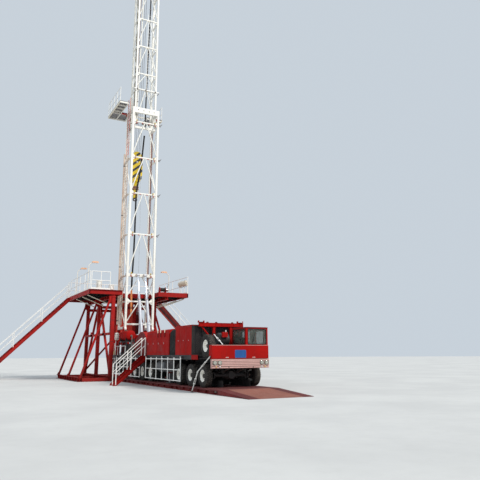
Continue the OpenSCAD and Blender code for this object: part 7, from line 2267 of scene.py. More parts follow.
def make_lamps():
    g = G().use("lamp_pole")
    for x, y in ((-3.5, 15.6), (-3.5, 19.0), (3.5, 18.2)):
        s = 1 if x < 0 else -1
        X = x + s * 0.08
        g.rod((X, y, FZ), (X, y, FZ + 1.70), 0.029, 18, None, 0.004)
        g.box(X - 0.07, X + 0.07, y - 0.07, y + 0.07, FZ, FZ + 0.012, 0.004)
        for t in (-1, 1):
            g.prism("x" if t < 0 else "y", [((y if t < 0 else X) + 0.028, FZ + 0.012), ((y if t < 0 else X) + 0.066, FZ + 0.012), ((y if t < 0 else X) + 0.028, FZ + 0.12)], (X if t < 0 else y) - 0.004, (X if t < 0 else y) + 0.004)
        g.ring((X, y, FZ + 1.2), "z", 0.030, 0.006, 20, 8, "iron")
        g.tube([(X, y, FZ + 1.66), (X, y, FZ + 1.72), (X + s * 0.03, y, FZ + 1.755), (X + s * 0.25, y, FZ + 1.958)], 0.0245, 16)
        # head: shell, diffuser and cooling ribs
        xc = x + s * 0.50
        z = FZ + 1.97 - 0.06
        g.prism("y", [(xc - 0.228, z + 0.030), (xc - 0.21, z + 0.002), (xc + 0.21, z + 0.002), (xc + 0.228, z + 0.030), (xc + 0.205, z + 0.09), (xc + 0.15, z + 0.108), (xc - 0.15, z + 0.108), (xc - 0.205, z + 0.09)], y - 0.108, y + 0.108, "lamp_head")
        g.plate("z", (xc - 0.20, xc + 0.20, y - 0.09, y + 0.09), z - 0.0, z + 0.006, 0.02, 4, 0.002, "lens_white")
        for k in range(7):
            g.box(xc - 0.135 + 0.045 * k - 0.004, xc - 0.135 + 0.045 * k + 0.004, y - 0.08, y + 0.08, z + 0.104, z + 0.1095, 0.001, "lamp_head")
    piece("floor_lamps_detail", g, "root", "floor_lamps", "lamp_orange")

    # two flood lights leaning out over the right edge of the floor
    g = G().use("cream")
    for y in (15.05, 15.75):
        x = 3.46
        g.rod((x, y, FZ + 0.10), (x, y, FZ + 0.62), 0.022, 14, "white_rail", 0.003)
        g.push(Matrix.Translation((x, y, FZ + 0.78)) @ Matrix.Rotation(rad(-28), 4, "Y") @ Matrix.Rotation(rad(18), 4, "Z"))
        g.prism("y", [(-0.05, -0.17), (0.03, -0.20), (0.05, -0.18), (0.05, 0.18), (0.03, 0.20), (-0.05, 0.17), (-0.11, 0.08), (-0.11, -0.08)], -0.22, 0.22)
        g.frame("x", (-0.215, 0.215, -0.19, 0.19), (-0.19, 0.19, -0.165, 0.165), 0.05, 0.062, 0.02, 0.015, 4, "lamp_red")
        g.plate("x", (-0.192, 0.192, -0.167, 0.167), 0.048, 0.054, 0.015, 4, 0.001, "lens_white")
        for k in range(6):
            g.box(-0.125, -0.085, -0.17 + 0.068 * k - 0.004, -0.17 + 0.068 * k + 0.004, -0.075, 0.075, 0.001)
        for t in (-0.235, 0.235):
            g.disc((-0.02, t, 0), "y", 0.035, 0.03, 18, 0.004, "iron")
        g.tube([(-0.02, -0.25, 0.0), (-0.02, -0.255, -0.16), (-0.02, -0.20, -0.225), (-0.02, 0.20, -0.225), (-0.02, 0.255, -0.16), (-0.02, 0.25, 0.0)], 0.012, 10, "iron")
        g.pop()
    piece("flood_lights", g, "root", slot="mast_white")


def make_floor_things():
    g = G().use("white")
    # lockers with doors, legs and latches
    for x0, x1, y0, y1, h in ((-2.95, -2.62, 14.9, 15.2, 0.65), (-2.05, -1.75, 15.0, 15.4, 0.42)):
        g.box(x0 + 0.004, x1 - 0.004, y0 + 0.004, y1 - 0.004, FZ + 0.04, FZ + h - 0.02, 0.012)
        g.box(x0, x1, y0, y1, FZ + h - 0.03, FZ + h, 0.010)
        for x in (x0 + 0.04, x1 - 0.04):
            for y in (y0 + 0.04, y1 - 0.04):
                g.box(x - 0.02, x + 0.02, y - 0.02, y + 0.02, FZ, FZ + 0.045, 0.004)
        n = 2 if x1 - x0 > 0.6 else 1
        for k in range(n):
            a = x0 + 0.03 + (x1 - x0 - 0.06) * k / n
            b = x0 + 0.03 + (x1 - x0 - 0.06) * (k + 1) / n
            g.frame("y", (a + 0.01, b - 0.01, FZ + 0.07, FZ + h - 0.06), (a + 0.03, b - 0.03, FZ + 0.09, FZ + h - 0.08), y0, y0 + 0.006, 0.02, 0.02, 3, "trim")
            g.box(b - 0.09, b - 0.05, y0 - 0.0, y0 + 0.008, FZ + h * 0.5, FZ + h * 0.5 + 0.10, 0.002, "steel")
    piece("floor_locker_detail", g, "root", "floor_locker", "mast_white")

    # small air winch on the floor
    g = G().use("red")
    x, y, z = 1.95, 15.6, FZ
    g.box(x - 0.30, x + 0.30, y - 0.24, y + 0.24, z, z + 0.05, 0.01)
    for s in (-1, 1):
        g.prism("x", [(y - 0.20, z + 0.05), (y + 0.20, z + 0.05), (y + 0.14, z + 0.40), (y, z + 0.50), (y - 0.14, z + 0.40)], x + s * 0.22 - 0.015, x + s * 0.22 + 0.015)
    g.lathe([(0, -0.205), (0.17, -0.205), (0.17, -0.19), (0.09, -0.185), (0.09, 0.185), (0.17, 0.19), (0.17, 0.205), (0, 0.205)], (x, y, z + 0.30), "x", 32, "iron")
    t = []
    for k in range(15):
        q = -0.175 + 0.0235 * k
        t += [(0.125, q), (0.133, q + 0.006), (0.125, q + 0.012), (0.119, q + 0.018)]
    g.lathe([(0.10, -0.18)] + t + [(0.10, 0.18)], (x, y, z + 0.30), "x", 32, "rope", closed=True)
    g.lathe([(0, 0), (0.10, 0), (0.12, 0.02), (0.12, 0.16), (0.09, 0.20), (0, 0.21)], (x + 0.235, y, z + 0.30), "x", 28, "steel")
    g.tube([(x + 0.35, y, z + 0.42), (x + 0.38, y - 0.1, z + 0.60), (x + 0.36, y - 0.2, z + 0.70)], 0.014, 10, "black_satin")
    piece("floor_winch", g, "root", slot="signal_red")


make_floor_stairs()
make_floor_rails()
make_lamps()
make_floor_things()
# ------------------------------------------------------------------ flaps and plates under the deck
def make_flaps():
    # the dark sheets below are painted shade: they stand for the shade under the chassis between and behind the wheels
    # and close the view through
    g = G().use("gasket")
    # apron behind the third axle, in three sheets that overlap
    for x0, x1, y in ((-1.40, -0.44, 4.700), (-0.48, 0.48, 4.712), (0.44, 1.40, 4.700)):
        g.plate("y", (x0, x1, 0.27, 1.02), y, y + 0.010, 0.05, 5, 0.003)
    g.box(-1.40, 1.40, 4.694, 4.728, 1.02, 1.09, 0.005, "black")
    for k in range(12):
        g.hexa((-1.32 + 0.24 * k, 4.694, 1.055), "y", 0.012, -0.010, "iron")
    for y in (1.805, 3.215, 7.40, 8.815, 10.21, 11.60):
        for s in (-1, 1):
            x0, x1 = sorted((s * 0.78, s * 1.36))
            g.plate("y", (x0, x1, 0.30, 1.00), y - 0.005, y + 0.005, 0.05, 5, 0.003)
            # ribs moulded into the sheet
            for k in range(5):
                x = x0 + 0.09 + 0.10 * k
                g.box(x - 0.010, x + 0.010, y - 0.009, y - 0.004, 0.36, 0.94, 0.003)
            g.box(x0 - 0.01, x1 + 0.01, y - 0.016, y + 0.016, 1.00, 1.05, 0.004, "black")
            for k in range(4):
                g.hexa((x0 + 0.07 + 0.147 * k, y - 0.016, 1.025), "y", 0.011, -0.008, "iron")
            g.tube([(s * 0.80, y, 1.04), (s * 0.80, y, 1.20), (s * 0.76, y, 1.25), (s * 0.46, y, 1.25)], 0.018, 10, "black")
    # low sheets that hang from the chassis between the wheels
    for y0, y1 in ((1.82, 2.42), (3.26, 3.86), (4.60, 5.86), (6.16, 7.42)):
        for s in (-1, 1):
            x = s * 0.70
            g.box(x - 0.005, x + 0.005, y0, y1, 0.24, 0.92, 0.003)
            g.box(x - 0.014, x + 0.014, y0, y1, 0.92, 0.97, 0.004, "black")
            for k in range(4):
                g.hexa((x, y0 + 0.06 + (y1 - y0 - 0.12) * k / 3, 0.945), "x", 0.010, 0.018 * s, "iron")
    # lower sheets below the steered axles
    for y0, y1 in ((0.40, 1.80), (2.44, 3.24), (3.88, 4.58)):
        for s in (-1, 1):
            x = s * 0.70
            g.box(x - 0.005, x + 0.005, y0, y1, 0.235, 0.52, 0.003)
            for k in range(3):
                y = y0 + 0.08 + (y1 - y0 - 0.16) * k / 2
                g.box(x - 0.009, x + 0.009, y - 0.02, y + 0.02, 0.25, 0.51, 0.003, "black")
    piece("shade_flaps", g, "root", slot="tyre")


def make_rear_box():
    g = G().use("under")
    # cross plates and side boxes below the rear deck, in front of the feet of the mast's base, in near-black that
    # paints the shade under the deck
    for y in (12.98, 14.26):
        for s in (-1, 1):
            x0, x1 = sorted((s * 0.46, s * 1.40))
            g.box(x0, x1, y - 0.006, y + 0.006, 0.62, 1.425, 0.003)
            for k in range(4):
                x = x0 + 0.14 + 0.22 * k
                g.box(x - 0.006, x + 0.006, y - 0.040, y - 0.004, 0.66, 1.41, 0.002)
            g.box(x0, x1, y - 0.040, y - 0.004, 0.62, 0.655, 0.003)
    for s in (-1, 1):
        g.box(s * 1.02, s * 1.40, 14.70, 16.05, 0.50, 1.42, 0.018)
        for k in range(7):
            y = 14.84 + 0.18 * k
            g.box(s * 1.398, s * 1.412, y - 0.010, y + 0.010, 0.54, 1.38, 0.004)
        for z in (0.56, 1.34):
            g.box(s * 1.398, s * 1.416, 14.74, 16.01, z - 0.022, z + 0.022, 0.004, "red_dark")
    piece("rear_boxes", g, "root", slot="chassis_black")

    # short fixed rail beside the right box
    g = G().use("white_rail")
    X = -1.50
    for y in (14.52, 14.98, 15.44):
        g.rod((X, y, 1.44), (X, y, 0.40), 0.0245, 16, None, 0.005)
        g.box(X, -1.40, y - 0.020, y + 0.020, 1.30, 1.345, 0.003)
        for z in (1.42, 0.93, 0.43):
            g.lathe([(0.0245, -0.034), (0.0262, -0.030), (0.0262, 0.030), (0.0245, 0.034)], (X, y, z), "z", 16, "white_rail", closed=True)
    for z in (1.42, 0.93, 0.43):
        g.rod((X, 14.50, z), (X, 15.46, z), 0.0215, 16, None, 0.005)
    piece("rear_rail", g, "root", slot="mast_white")


def make_side_plates():
    # ribbed plates beside the columns behind the mast
    g = G().use("red_dark")
    for s in (-1, 1):
        x0, x1 = sorted((s * 0.825, s * 1.10))
        g.box(x0, x1, 18.072, 18.090, 3.12, 4.76, 0.003)
        for k in range(3):
            x = x0 + 0.04 + 0.0975 * k
            g.box(x - 0.006, x + 0.006, 18.034, 18.074, 3.16, 4.72, 0.002)
        for z in (3.13, 4.73):
            g.box(x0, x1, 18.034, 18.074, z - 0.010, z + 0.010, 0.002)
    piece("side_plates", g, "root", slot="signal_red")


make_flaps()
make_rear_box()
make_side_plates()




# ------------------------------------------------------------------ raising cylinders
CYL_X, CYL_B = 0.265, (12.95, 1.79)
LEAN = rad(0.8)
LOW_H = (1.85, 3.65, 6.6, 9.6, 12.35, 15.15)
UP_H = (17.9, 19.25, 21.6, 24.0, 26.4, 28.7)
_ey, _ez = 14.7 - 0.23 * cos(LEAN) + 3.65 * sin(LEAN), 3.35 + 0.23 * sin(LEAN) + 3.65 * cos(LEAN)
CYL_L = math.hypot(_ey - CYL_B[0], _ez - CYL_B[1])
STAGE = (CYL_L - 2.3192) / 2
TILT = math.atan2(_ey - CYL_B[0], _ez - CYL_B[1])


def cyl_frame(x):
    return Matrix.Translation((x, CYL_B[0], CYL_B[1])) @ Matrix.Rotation(-TILT, 4, "X")


def make_cylinders():
    g, h, k = G(), G(), G()
    for x in (-CYL_X, CYL_X):
        for q in (g, h, k):
            q.push(cyl_frame(x))
        # barrel: tube, base with the eye, head with bolts, ports and pipes
        g.use("cyl_blue")
        g.lathe([(0, 0.061), (0.119, 0.061), (0.1275, 0.075), (0.1275, 0.150), (0.122, 0.158), (0.122, 1.846), (0.1275, 1.85), (0.1395, 1.855), (0.1395, 1.992), (0.135, 1.9995), (0.1045, 1.9995), (0.1045, 0.185), (0, 0.185)], (0, 0, 0), "z", 44)
        g.lathe([(0.0455, -0.109), (0.112, -0.109), (0.1195, -0.101), (0.1195, 0.101), (0.112, 0.109), (0.0455, 0.109)], (0, 0, 0), "x", 40, None, closed=True)
        for a in range(8):
            q = 2 * pi * a / 8
            g.hexa((0.121 * cos(q), 0.121 * sin(q), 1.9985), "z", 0.011, 0.001, "iron")
        for z in (0.60, 1.20):
            g.lathe([(0.1215, -0.02), (0.1275, -0.018), (0.1275, 0.018), (0.1215, 0.02)], (0, 0, z), "z", 40, "steel", closed=True)
        s = -1 if x < 0 else 1
        g.rod((s * 0.075, -0.115, 0.18), (s * 0.075, -0.115, 1.80), 0.010, 10, "steel")
        for z in (0.24, 1.74):
            g.disc((s * 0.070, -0.108, z), (s * 0.5, -0.86, 0), 0.018, 0.03, 12, 0.003, "iron")
        # stage
        h.push(Matrix.Translation((0, 0, 0.19 + STAGE)))
        h.use("cyl_blue")
        h.lathe([(0, 0.002), (0.094, 0.002), (0.0975, 0.006), (0.0975, 1.838), (0.1115, 1.842), (0.1115, 1.892), (0.108, 1.8995), (0.0785, 1.8995), (0.0785, 0.022), (0, 0.022)], (0, 0, 0), "z", 40)
        h.lathe([(0.1112, 1.846), (0.11198, 1.850), (0.11198, 1.884), (0.1112, 1.888)], (0, 0, 0), "z", 40, "brown", closed=True)
        for a in range(6):
            q = 2 * pi * a / 6
            h.hexa((0.096 * cos(q), 0.096 * sin(q), 1.8985), "z", 0.009, 0.001, "iron")
        h.pop()
        # rod with its eye
        z0 = 0.23 + 2 * STAGE
        k.use("chrome")
        k.lathe([(0, z0), (0.071, z0), (0.0718, z0 + 0.002), (0.0718, CYL_L - 0.11), (0.066, CYL_L - 0.095), (0.064, CYL_L - 0.062), (0, CYL_L - 0.062)], (0, 0, 0), "z", 40)
        k.lathe([(0.0455, -0.069), (0.089, -0.069), (0.0948, -0.063), (0.0948, 0.063), (0.089, 0.069), (0.0455, 0.069)], (0, 0, CYL_L), "x", 36, "cyl_blue", closed=True)
        k.lathe([(0.060, CYL_L - 0.125), (0.0719, CYL_L - 0.12), (0.0719, CYL_L - 0.088), (0.060, CYL_L - 0.083)], (0, 0, 0), "z", 32, "iron", closed=True)
        for q in (g, h, k):
            q.pop()
    piece("barrels_detail", g, "cylinder_barrels", "cylinder_barrels", "bare_steel")
    piece("stages_detail", h, "cylinder_stages", "cylinder_stages", "chrome_rod")
    piece("rods_detail", k, "cylinder_rods", "cylinder_rods", "chrome_rod")


make_cylinders()


# ------------------------------------------------------------------ lower mast section
def tube_h(g, a, b, r=0.034, m=None, seg=16):
    g.rod(a, b, r, seg, m, 0.003)


def clamp(g, x, d, h, s, m="dull_yellow"):
    """Small bracket with a lever at a ring: body in a bright colour, a red plate below."""
    g.box(x - 0.040, x + 0.040, d - 0.115, d - 0.052, h + 0.01, h + 0.10, 0.008, m)
    g.lathe([(0, -0.03), (0.024, -0.03), (0.028, -0.022), (0.028, 0.022), (0.024, 0.03), (0, 0.03)], (x, d - 0.09, h + 0.105), "x", 18, m)
    g.prism("x", [(d - 0.055, h - 0.055), (d - 0.15, h - 0.10), (d - 0.15, h - 0.19), (d - 0.09, h - 0.21), (d - 0.05, h - 0.14)], x + s * 0.02 - 0.035, x + s * 0.02 + 0.035, "lamp_red")
    for t in (-0.03, 0.03):
        g.hexa((x + t * 0.8, d - 0.115, h + 0.05), (0, -1, 0), 0.009, 0.008, "iron")


def horn(g, x, d, h, s):
    """Hooked guide at a ring's end for the lines outside the leg."""
    g.tube([(x, d, h), (x + s * 0.10, d - 0.01, h - 0.005), (x + s * 0.19, d - 0.02, h + 0.03), (x + s * 0.25, d - 0.03, h + 0.12)], [0.028, 0.026, 0.022, 0.017], 12, "iron", 0.004)
    g.tube([(x + s * 0.02, d, h - 0.05), (x + s * 0.12, d - 0.02, h - 0.10), (x + s * 0.16, d - 0.03, h - 0.06)], [0.022, 0.020, 0.016], 12, "iron", 0.003)


def make_lower():
    g = G(MAST).use("white")
    W, D, C = 0.96, 1.45, 0.075
    for s in (-1, 1):
        for d in (0, D):
            g.box(s * W - C, s * W + C, d - C, d + C, 0.002, 16.298, 0.016)
            # splice plates and weld bands
            for h in (0.40, 5.1, 8.1, 11.0, 13.8):
                g.frame("z", (s * W - C - 0.0004, s * W + C + 0.0004, d - C - 0.0004, d + C + 0.0004), (s * W - C + 0.004, s * W + C - 0.004, d - C + 0.004, d + C - 0.004), h - 0.05, h + 0.05, 0.018, 0.014, 3)
        for h in LOW_H:
            # ring: side beams with gussets on both chords
            g.box(s * W - 0.05, s * W + 0.05, 0.05, D - 0.05, h - 0.05, h + 0.05, 0.010)
            for d, u in ((0.075, 1), (D - 0.075, -1)):
                g.prism("x", [(d, h + 0.04), (d, h + 0.20), (d + u * 0.03, h + 0.20), (d + u * 0.22, h + 0.045)], s * W - 0.008, s * W + 0.008)
                g.prism("x", [(d, h - 0.04), (d, h - 0.20), (d + u * 0.03, h - 0.20), (d + u * 0.22, h - 0.045)], s * W - 0.008, s * W + 0.008)
    for h in LOW_H:
        if h != 3.65:
            g.box(-W + 0.07, W - 0.07, -0.049, 0.049, h - 0.049, h + 0.049, 0.010)
            for s in (-1, 1):
                g.prism("y", [(s * (W - 0.075), h + 0.045), (s * (W - 0.075), h + 0.22), (s * (W - 0.10), h + 0.22), (s * (W - 0.28), h + 0.048)], -0.008, 0.008)
                g.prism("y", [(s * (W - 0.075), h - 0.045), (s * (W - 0.075), h - 0.22), (s * (W - 0.10), h - 0.22), (s * (W - 0.28), h - 0.048)], -0.008, 0.008)
    # knees: from the middle of each ring down to the legs, with a bend where they meet them
    lo = 0.06
    for k, h in enumerate(LOW_H):
        H = h - lo
        for s in (-1, 1):
            a = (s * 0.06, 0.0, h - 0.03)
            if k >= 2:
                q = (s * 0.58, 0.0, lo + 0.46 * H)
                b = (s * (W - 0.095), 0.0, lo + 0.12 * H)
                g.tube([a, q, b], [0.038, 0.038, 0.036], 16)
                g.lathe([(0.039, -0.06), (0.046, -0.055), (0.046, 0.055), (0.039, 0.06)], q, Vector(b) - Vector(a), 16, None, closed=True)
            else:
                tube_h(g, a, (s * (W - 0.05), 0.0, lo + 0.22 * H), 0.039)
            # side braces, alternately leaning to the front and to the rear
            d0, d1 = (0, D) if k % 2 == 0 else (D, 0)
            tube_h(g, (s * W, d0, lo + 0.06), (s * W, d1, h - 0.06), 0.034)
            g.lathe([(0.0342, -0.10), (0.042, -0.09), (0.042, 0.09), (0.0342, 0.10)], (s * W, (d0 + d1) / 2, (lo + h) / 2), (0, d1 - d0, h - lo - 0.12), 16, None, closed=True)
        if k >= 1:
            for s in (-1, 1):
                clamp(g, s * 0.70, -0.0 if h != 3.65 else -0.03, h if h != 3.65 else h + 0.07, s)
                if k != 1:
                    g.prism("y", [(s * 0.20, h - 0.045), (s * 0.32, h - 0.045), (s * 0.30, h - 0.11), (s * 0.22, h - 0.11)], -0.075, -0.045, "lamp_red")
        lo = h
    # heavy beam with the cylinder lugs
    g.box(-W - 0.0895, W + 0.0895, -0.0745, 0.0745, 3.541, 3.759, 0.012)
    for x in (-0.70, -0.45, 0.0, 0.45, 0.70):
        g.box(x - 0.006, x + 0.006, -0.0749, 0.0749, 3.56, 3.74, 0.002)
    for s in (-1, 1):
        g.box(s * (W + 0.0885), s * (W + 0.0899), -0.07, 0.07, 3.545, 3.755, 0.0005, "red_dark")
    for X in (-CYL_X, CYL_X):
        for a in (-0.11, 0.08):
            g.prism("x", [(-0.062, 3.542), (-0.299, 3.562), (-0.328, 3.62), (-0.329, 3.70), (-0.30, 3.722), (-0.062, 3.758)], X + a, X + a + 0.03)
        g.lathe([(0, -0.145), (0.036, -0.145), (0.0395, -0.141), (0.0395, 0.141), (0.036, 0.145), (0, 0.145)], (X, -0.23, 3.65), "x", 24, "steel")
        for t in (-0.115, 0.115):
            g.disc((X + t, -0.23, 3.65), "x", 0.062, 0.008, 24, 0.001, "lamp_red")
    # top frame
    g.box(-W - 0.0745, W + 0.0745, -0.0745, 0.0745, 15.852, 16.2995, 0.014)
    for k in range(7):
        x = -0.84 + 0.28 * k
        g.box(x - 0.006, x + 0.006, -0.0749, -0.07, 15.88, 16.27, 0.001)
    for x in (-0.62, -0.2, 0.22, 0.60):
        g.disc((x, -0.0740, 16.08), "y", 0.045, 0.0012, 20, 0.0004, "iron")
    for s in (-1, 1):
        g.box(s * W - 0.0745, s * W + 0.0745, 0.07, D - 0.07, 16.002, 16.2995, 0.010)
        g.box(s * W - 0.0745, s * W + 0.0745, 0.07, D - 0.07, 0.002, 0.158, 0.010)
        # foot: eye plates
        g.lathe([(0.0603, -0.0745), (0.122, -0.0745), (0.1298, -0.067), (0.1298, 0.067), (0.122, 0.0745), (0.0603, 0.0745)], (s * W, 0, 0), "x", 40, None, closed=True)
        # plates that carry the folding board and their pins
        a0, a1 = (1.001, 1.059) if s > 0 else (-1.059, -1.001)
        B, Hh = 1.70, 16.36
        pts = [(D - 0.06, 16.04), (D - 0.06, 16.298), (B - 0.072, Hh - 0.022), (B - 0.041, Hh + 0.018), (B - 0.018, Hh + 0.041), (B, Hh + 0.0448), (B + 0.018, Hh + 0.041), (B + 0.041, Hh + 0.018), (B + 0.0448, Hh), (B + 0.041, Hh - 0.018), (B + 0.018, Hh - 0.041), (B - 0.06, 16.10)]
        g.prism("x", pts, a0, a1, "lamp_red")
        g.lathe([(0, 0.0), (0.022, 0.0), (0.0248, 0.003), (0.0248, 0.128), (0.022, 0.1298), (0, 0.1298)], (1.06 if s > 0 else -1.19, B, Hh), "x", 20, "steel")
    g.box(-W, W, -0.059, 0.059, 0.252, 0.369, 0.010)
    # locking bars at the top on the rear chords: rollers that guide the upper section
    for s in (-1, 1):
        for h in (14.9, 15.7):
            g.box(s * 0.862, s * 0.888, 0.30, 0.52, h - 0.10, h + 0.10, 0.004, "red_dark")
            g.box(s * 0.862, s * 0.888, 1.04, 1.20, h - 0.10, h + 0.10, 0.004, "red_dark")
    # guide rail behind the front plane, in brown
    g.box(0.50, 0.58, 0.048, 0.090, 0.45, 14.45, 0.006, "rail_brown")
    for h in LOW_H[1:-1]:
        g.box(0.51, 0.57, 0.020, 0.052, h - 0.045, h + 0.045, 0.004, "iron")
    g.rod((0.615, 0.070, 0.5), (0.615, 0.070, 14.4), 0.012, 10, "hose")
    # hooked guides at the ends of the rings
    for h in (6.6, 9.6, 12.35, 15.15):
        horn(g, W + 0.072, 0.0, h, 1)
    for h, q in ((4.9, 0.9), (8.3, 0.6), (10.9, 0.8), (13.4, 0.6)):
        g.box(W + 0.074, W + 0.098, -0.02, 0.03, h - q / 2, h + q / 2, 0.005, "iron")
    piece("mast_lower_detail", g, "mast_lower", "mast_lower", "mast_white", 40)


def make_ladder():
    g = G(MAST).use("tan")
    X = -1.09
    for d in (0.52, 0.96):
        g.box(X - 0.0245, X + 0.0245, d - 0.0195, d + 0.0195, 0.252, 12.6, 0.006)
        g.box(X - 0.0245, X + 0.0245, d - 0.0195, d + 0.0195, 12.6, 17.198, 0.006, "tan_red")
    for k in range(56):
        h = 0.415 + 0.3 * k
        if k % 2 == 0:
            g.box(X - 0.0118, X + 0.0118, 0.541, 0.939, h - 0.0145, h + 0.0145, 0.005, "tan" if h < 12.6 else "tan_red")
        else:
            g.rod((X, 0.541, h), (X, 0.939, h), 0.0105, 10, "tan" if h < 12.6 else "tan_red")
    for h in LOW_H:
        g.box(X + 0.025, -1.01, 0.502, 0.978, h - 0.019, h + 0.019, 0.004)
        for d in (0.55, 0.93):
            g.hexa((X - 0.024, d, h), (-1, 0, 0), 0.010, 0.0008, "iron")
    # safety line beside the rungs
    g.rod((X, 0.74, 0.3), (X, 0.74, 17.1), 0.006, 8, "steel")
    piece("mast_ladder_detail", g, "mast_lower", "mast_ladder", "ladder_tan")

    g = G(MAST).use("tan")
    X, d = -1.105, 1.42
    g.lathe([(0, 0.352), (0.056, 0.352), (0.0595, 0.356), (0.0595, 12.944), (0.056, 12.948), (0, 12.948)], (X, d, 0), "z", 28)
    for h in (0.62, 4.4, 8.2, 12.0):
        g.lathe([(0.0593, -0.04), (0.0599, -0.038), (0.0599, 0.038), (0.0593, 0.04)], (X, d, h), "z", 28, "iron", closed=True)
    for h in LOW_H[:-2] + (12.35,):
        if h < 12.9:
            g.box(-1.0598, -1.0352, 1.392, 1.448, h - 0.029, h + 0.029, 0.003, "steel")
    piece("standpipe_detail", g, "mast_lower", "standpipe", "pipe_brown")


def make_block():
    g = G(MAST).use("block_yellow")
    # cheeks with rounded shoulders around the sheaves
    def side(t0, t1, q=0.0):
        pts = [(-0.23 + q, 11.05), (0.23 - q, 11.05), (0.30, 11.24), (0.40 - q, 11.55), (0.419 - q, 11.70), (0.419 - q, 12.90), (0.40 - q, 13.02), (0.262 - q, 13.36), (0.20, 13.41), (0.119, 13.448 - q), (-0.119, 13.448 - q), (-0.20, 13.41), (-0.262 + q, 13.36), (-0.40 + q, 13.02), (-0.419 + q, 12.90), (-0.419 + q, 11.70), (-0.40 + q, 11.55), (-0.30, 11.24)]
        g.prism("y", pts, 1.95 + t0, 1.95 + t1)
    side(-0.229, -0.190)
    side(0.190, 0.229)
    side(-0.020, 0.020, 0.02)
    g.box(-0.40, 0.40, 1.765, 2.135, 11.30, 11.50, 0.02)
    g.prism("y", [(-0.22, 11.052), (0.22, 11.052), (0.34, 11.42), (-0.34, 11.42)], 1.77, 2.13)
    for s in (-1, 1):
        g.box(s * 0.405, s * 0.4185, 1.765, 2.135, 11.72, 12.88, 0.006)
    g.prism("y", [(-0.24, 13.30), (0.24, 13.30), (0.118, 13.44), (-0.118, 13.44)], 1.77, 2.13)
    # sheaves between the cheeks
    for d in (-0.145, -0.070, 0.070, 0.145):
        g.lathe([(0.06, -0.028), (0.385, -0.030), (0.392, -0.026), (0.372, -0.006), (0.372, 0.006), (0.392, 0.026), (0.385, 0.030), (0.06, 0.028)], (0, 1.95 + d, 12.62), "y", 44, "iron", closed=True)
    g.lathe([(0, -0.2295), (0.075, -0.2295), (0.080, -0.225), (0.080, 0.225), (0.075, 0.2295), (0, 0.2295)], (0, 1.95, 12.62), "y", 28, "steel")
    for a in range(8):
        q = 2 * pi * a / 8
        for t, n in ((-0.2292, -1), (0.2292, 1)):
            g.hexa((0.11 * cos(q), 1.95 + t, 12.62 + 0.11 * sin(q)), (0, n, 0), 0.014, 0.0007, "iron")
    # neck, collar and shaft
    g.lathe([(0, 0.0), (0.150, 0.0), (0.1645, 0.02), (0.1645, 0.62), (0, 0.62)], (0, 1.95, 9.802), "z", 36)
    g.lathe([(0.15, 10.44), (0.225, 10.452), (0.2395, 10.468), (0.2395, 10.53), (0.20, 10.545), (0.20, 10.60), (0.2395, 10.615), (0.2395, 10.682), (0.225, 10.698), (0.15, 10.71)], (0, 1.95, 0), "z", 40, "brown", closed=True)
    g.lathe([(0, 10.70), (0.1645, 10.70), (0.1645, 11.052), (0, 11.052)], (0, 1.95, 0), "z", 36)
    for a in range(10):
        q = 2 * pi * a / 10
        g.hexa((0.215 * cos(q), 1.95 + 0.215 * sin(q), 10.6965), "z", 0.013, 0.003, "iron")
    # hook with a latch
    c = [(0.02, 9.80, 0.085), (0.05, 9.80, 0.080), (0.0, 9.765, 0.075)]
    pts = [(0.0, 9.806), (-0.055, 9.775), (-0.125, 9.725), (-0.140, 9.665), (-0.105, 9.612), (-0.03, 9.590), (0.055, 9.602), (0.125, 9.648), (0.155, 9.705), (0.152, 9.735)]
    rr = [0.058, 0.057, 0.055, 0.053, 0.050, 0.047, 0.043, 0.038, 0.032, 0.026]
    g.tube([(p[0], 1.95, p[1]) for p in pts], rr, 16, "iron")
    g.beam((-0.02, 1.95, 9.77), (0.12, 1.95, 9.73), 0.05, 0.012, 0.003, (0, 1, 0), "steel")
    piece("block_detail", g, "mast_lower", "travelling_block", "block_yellow")


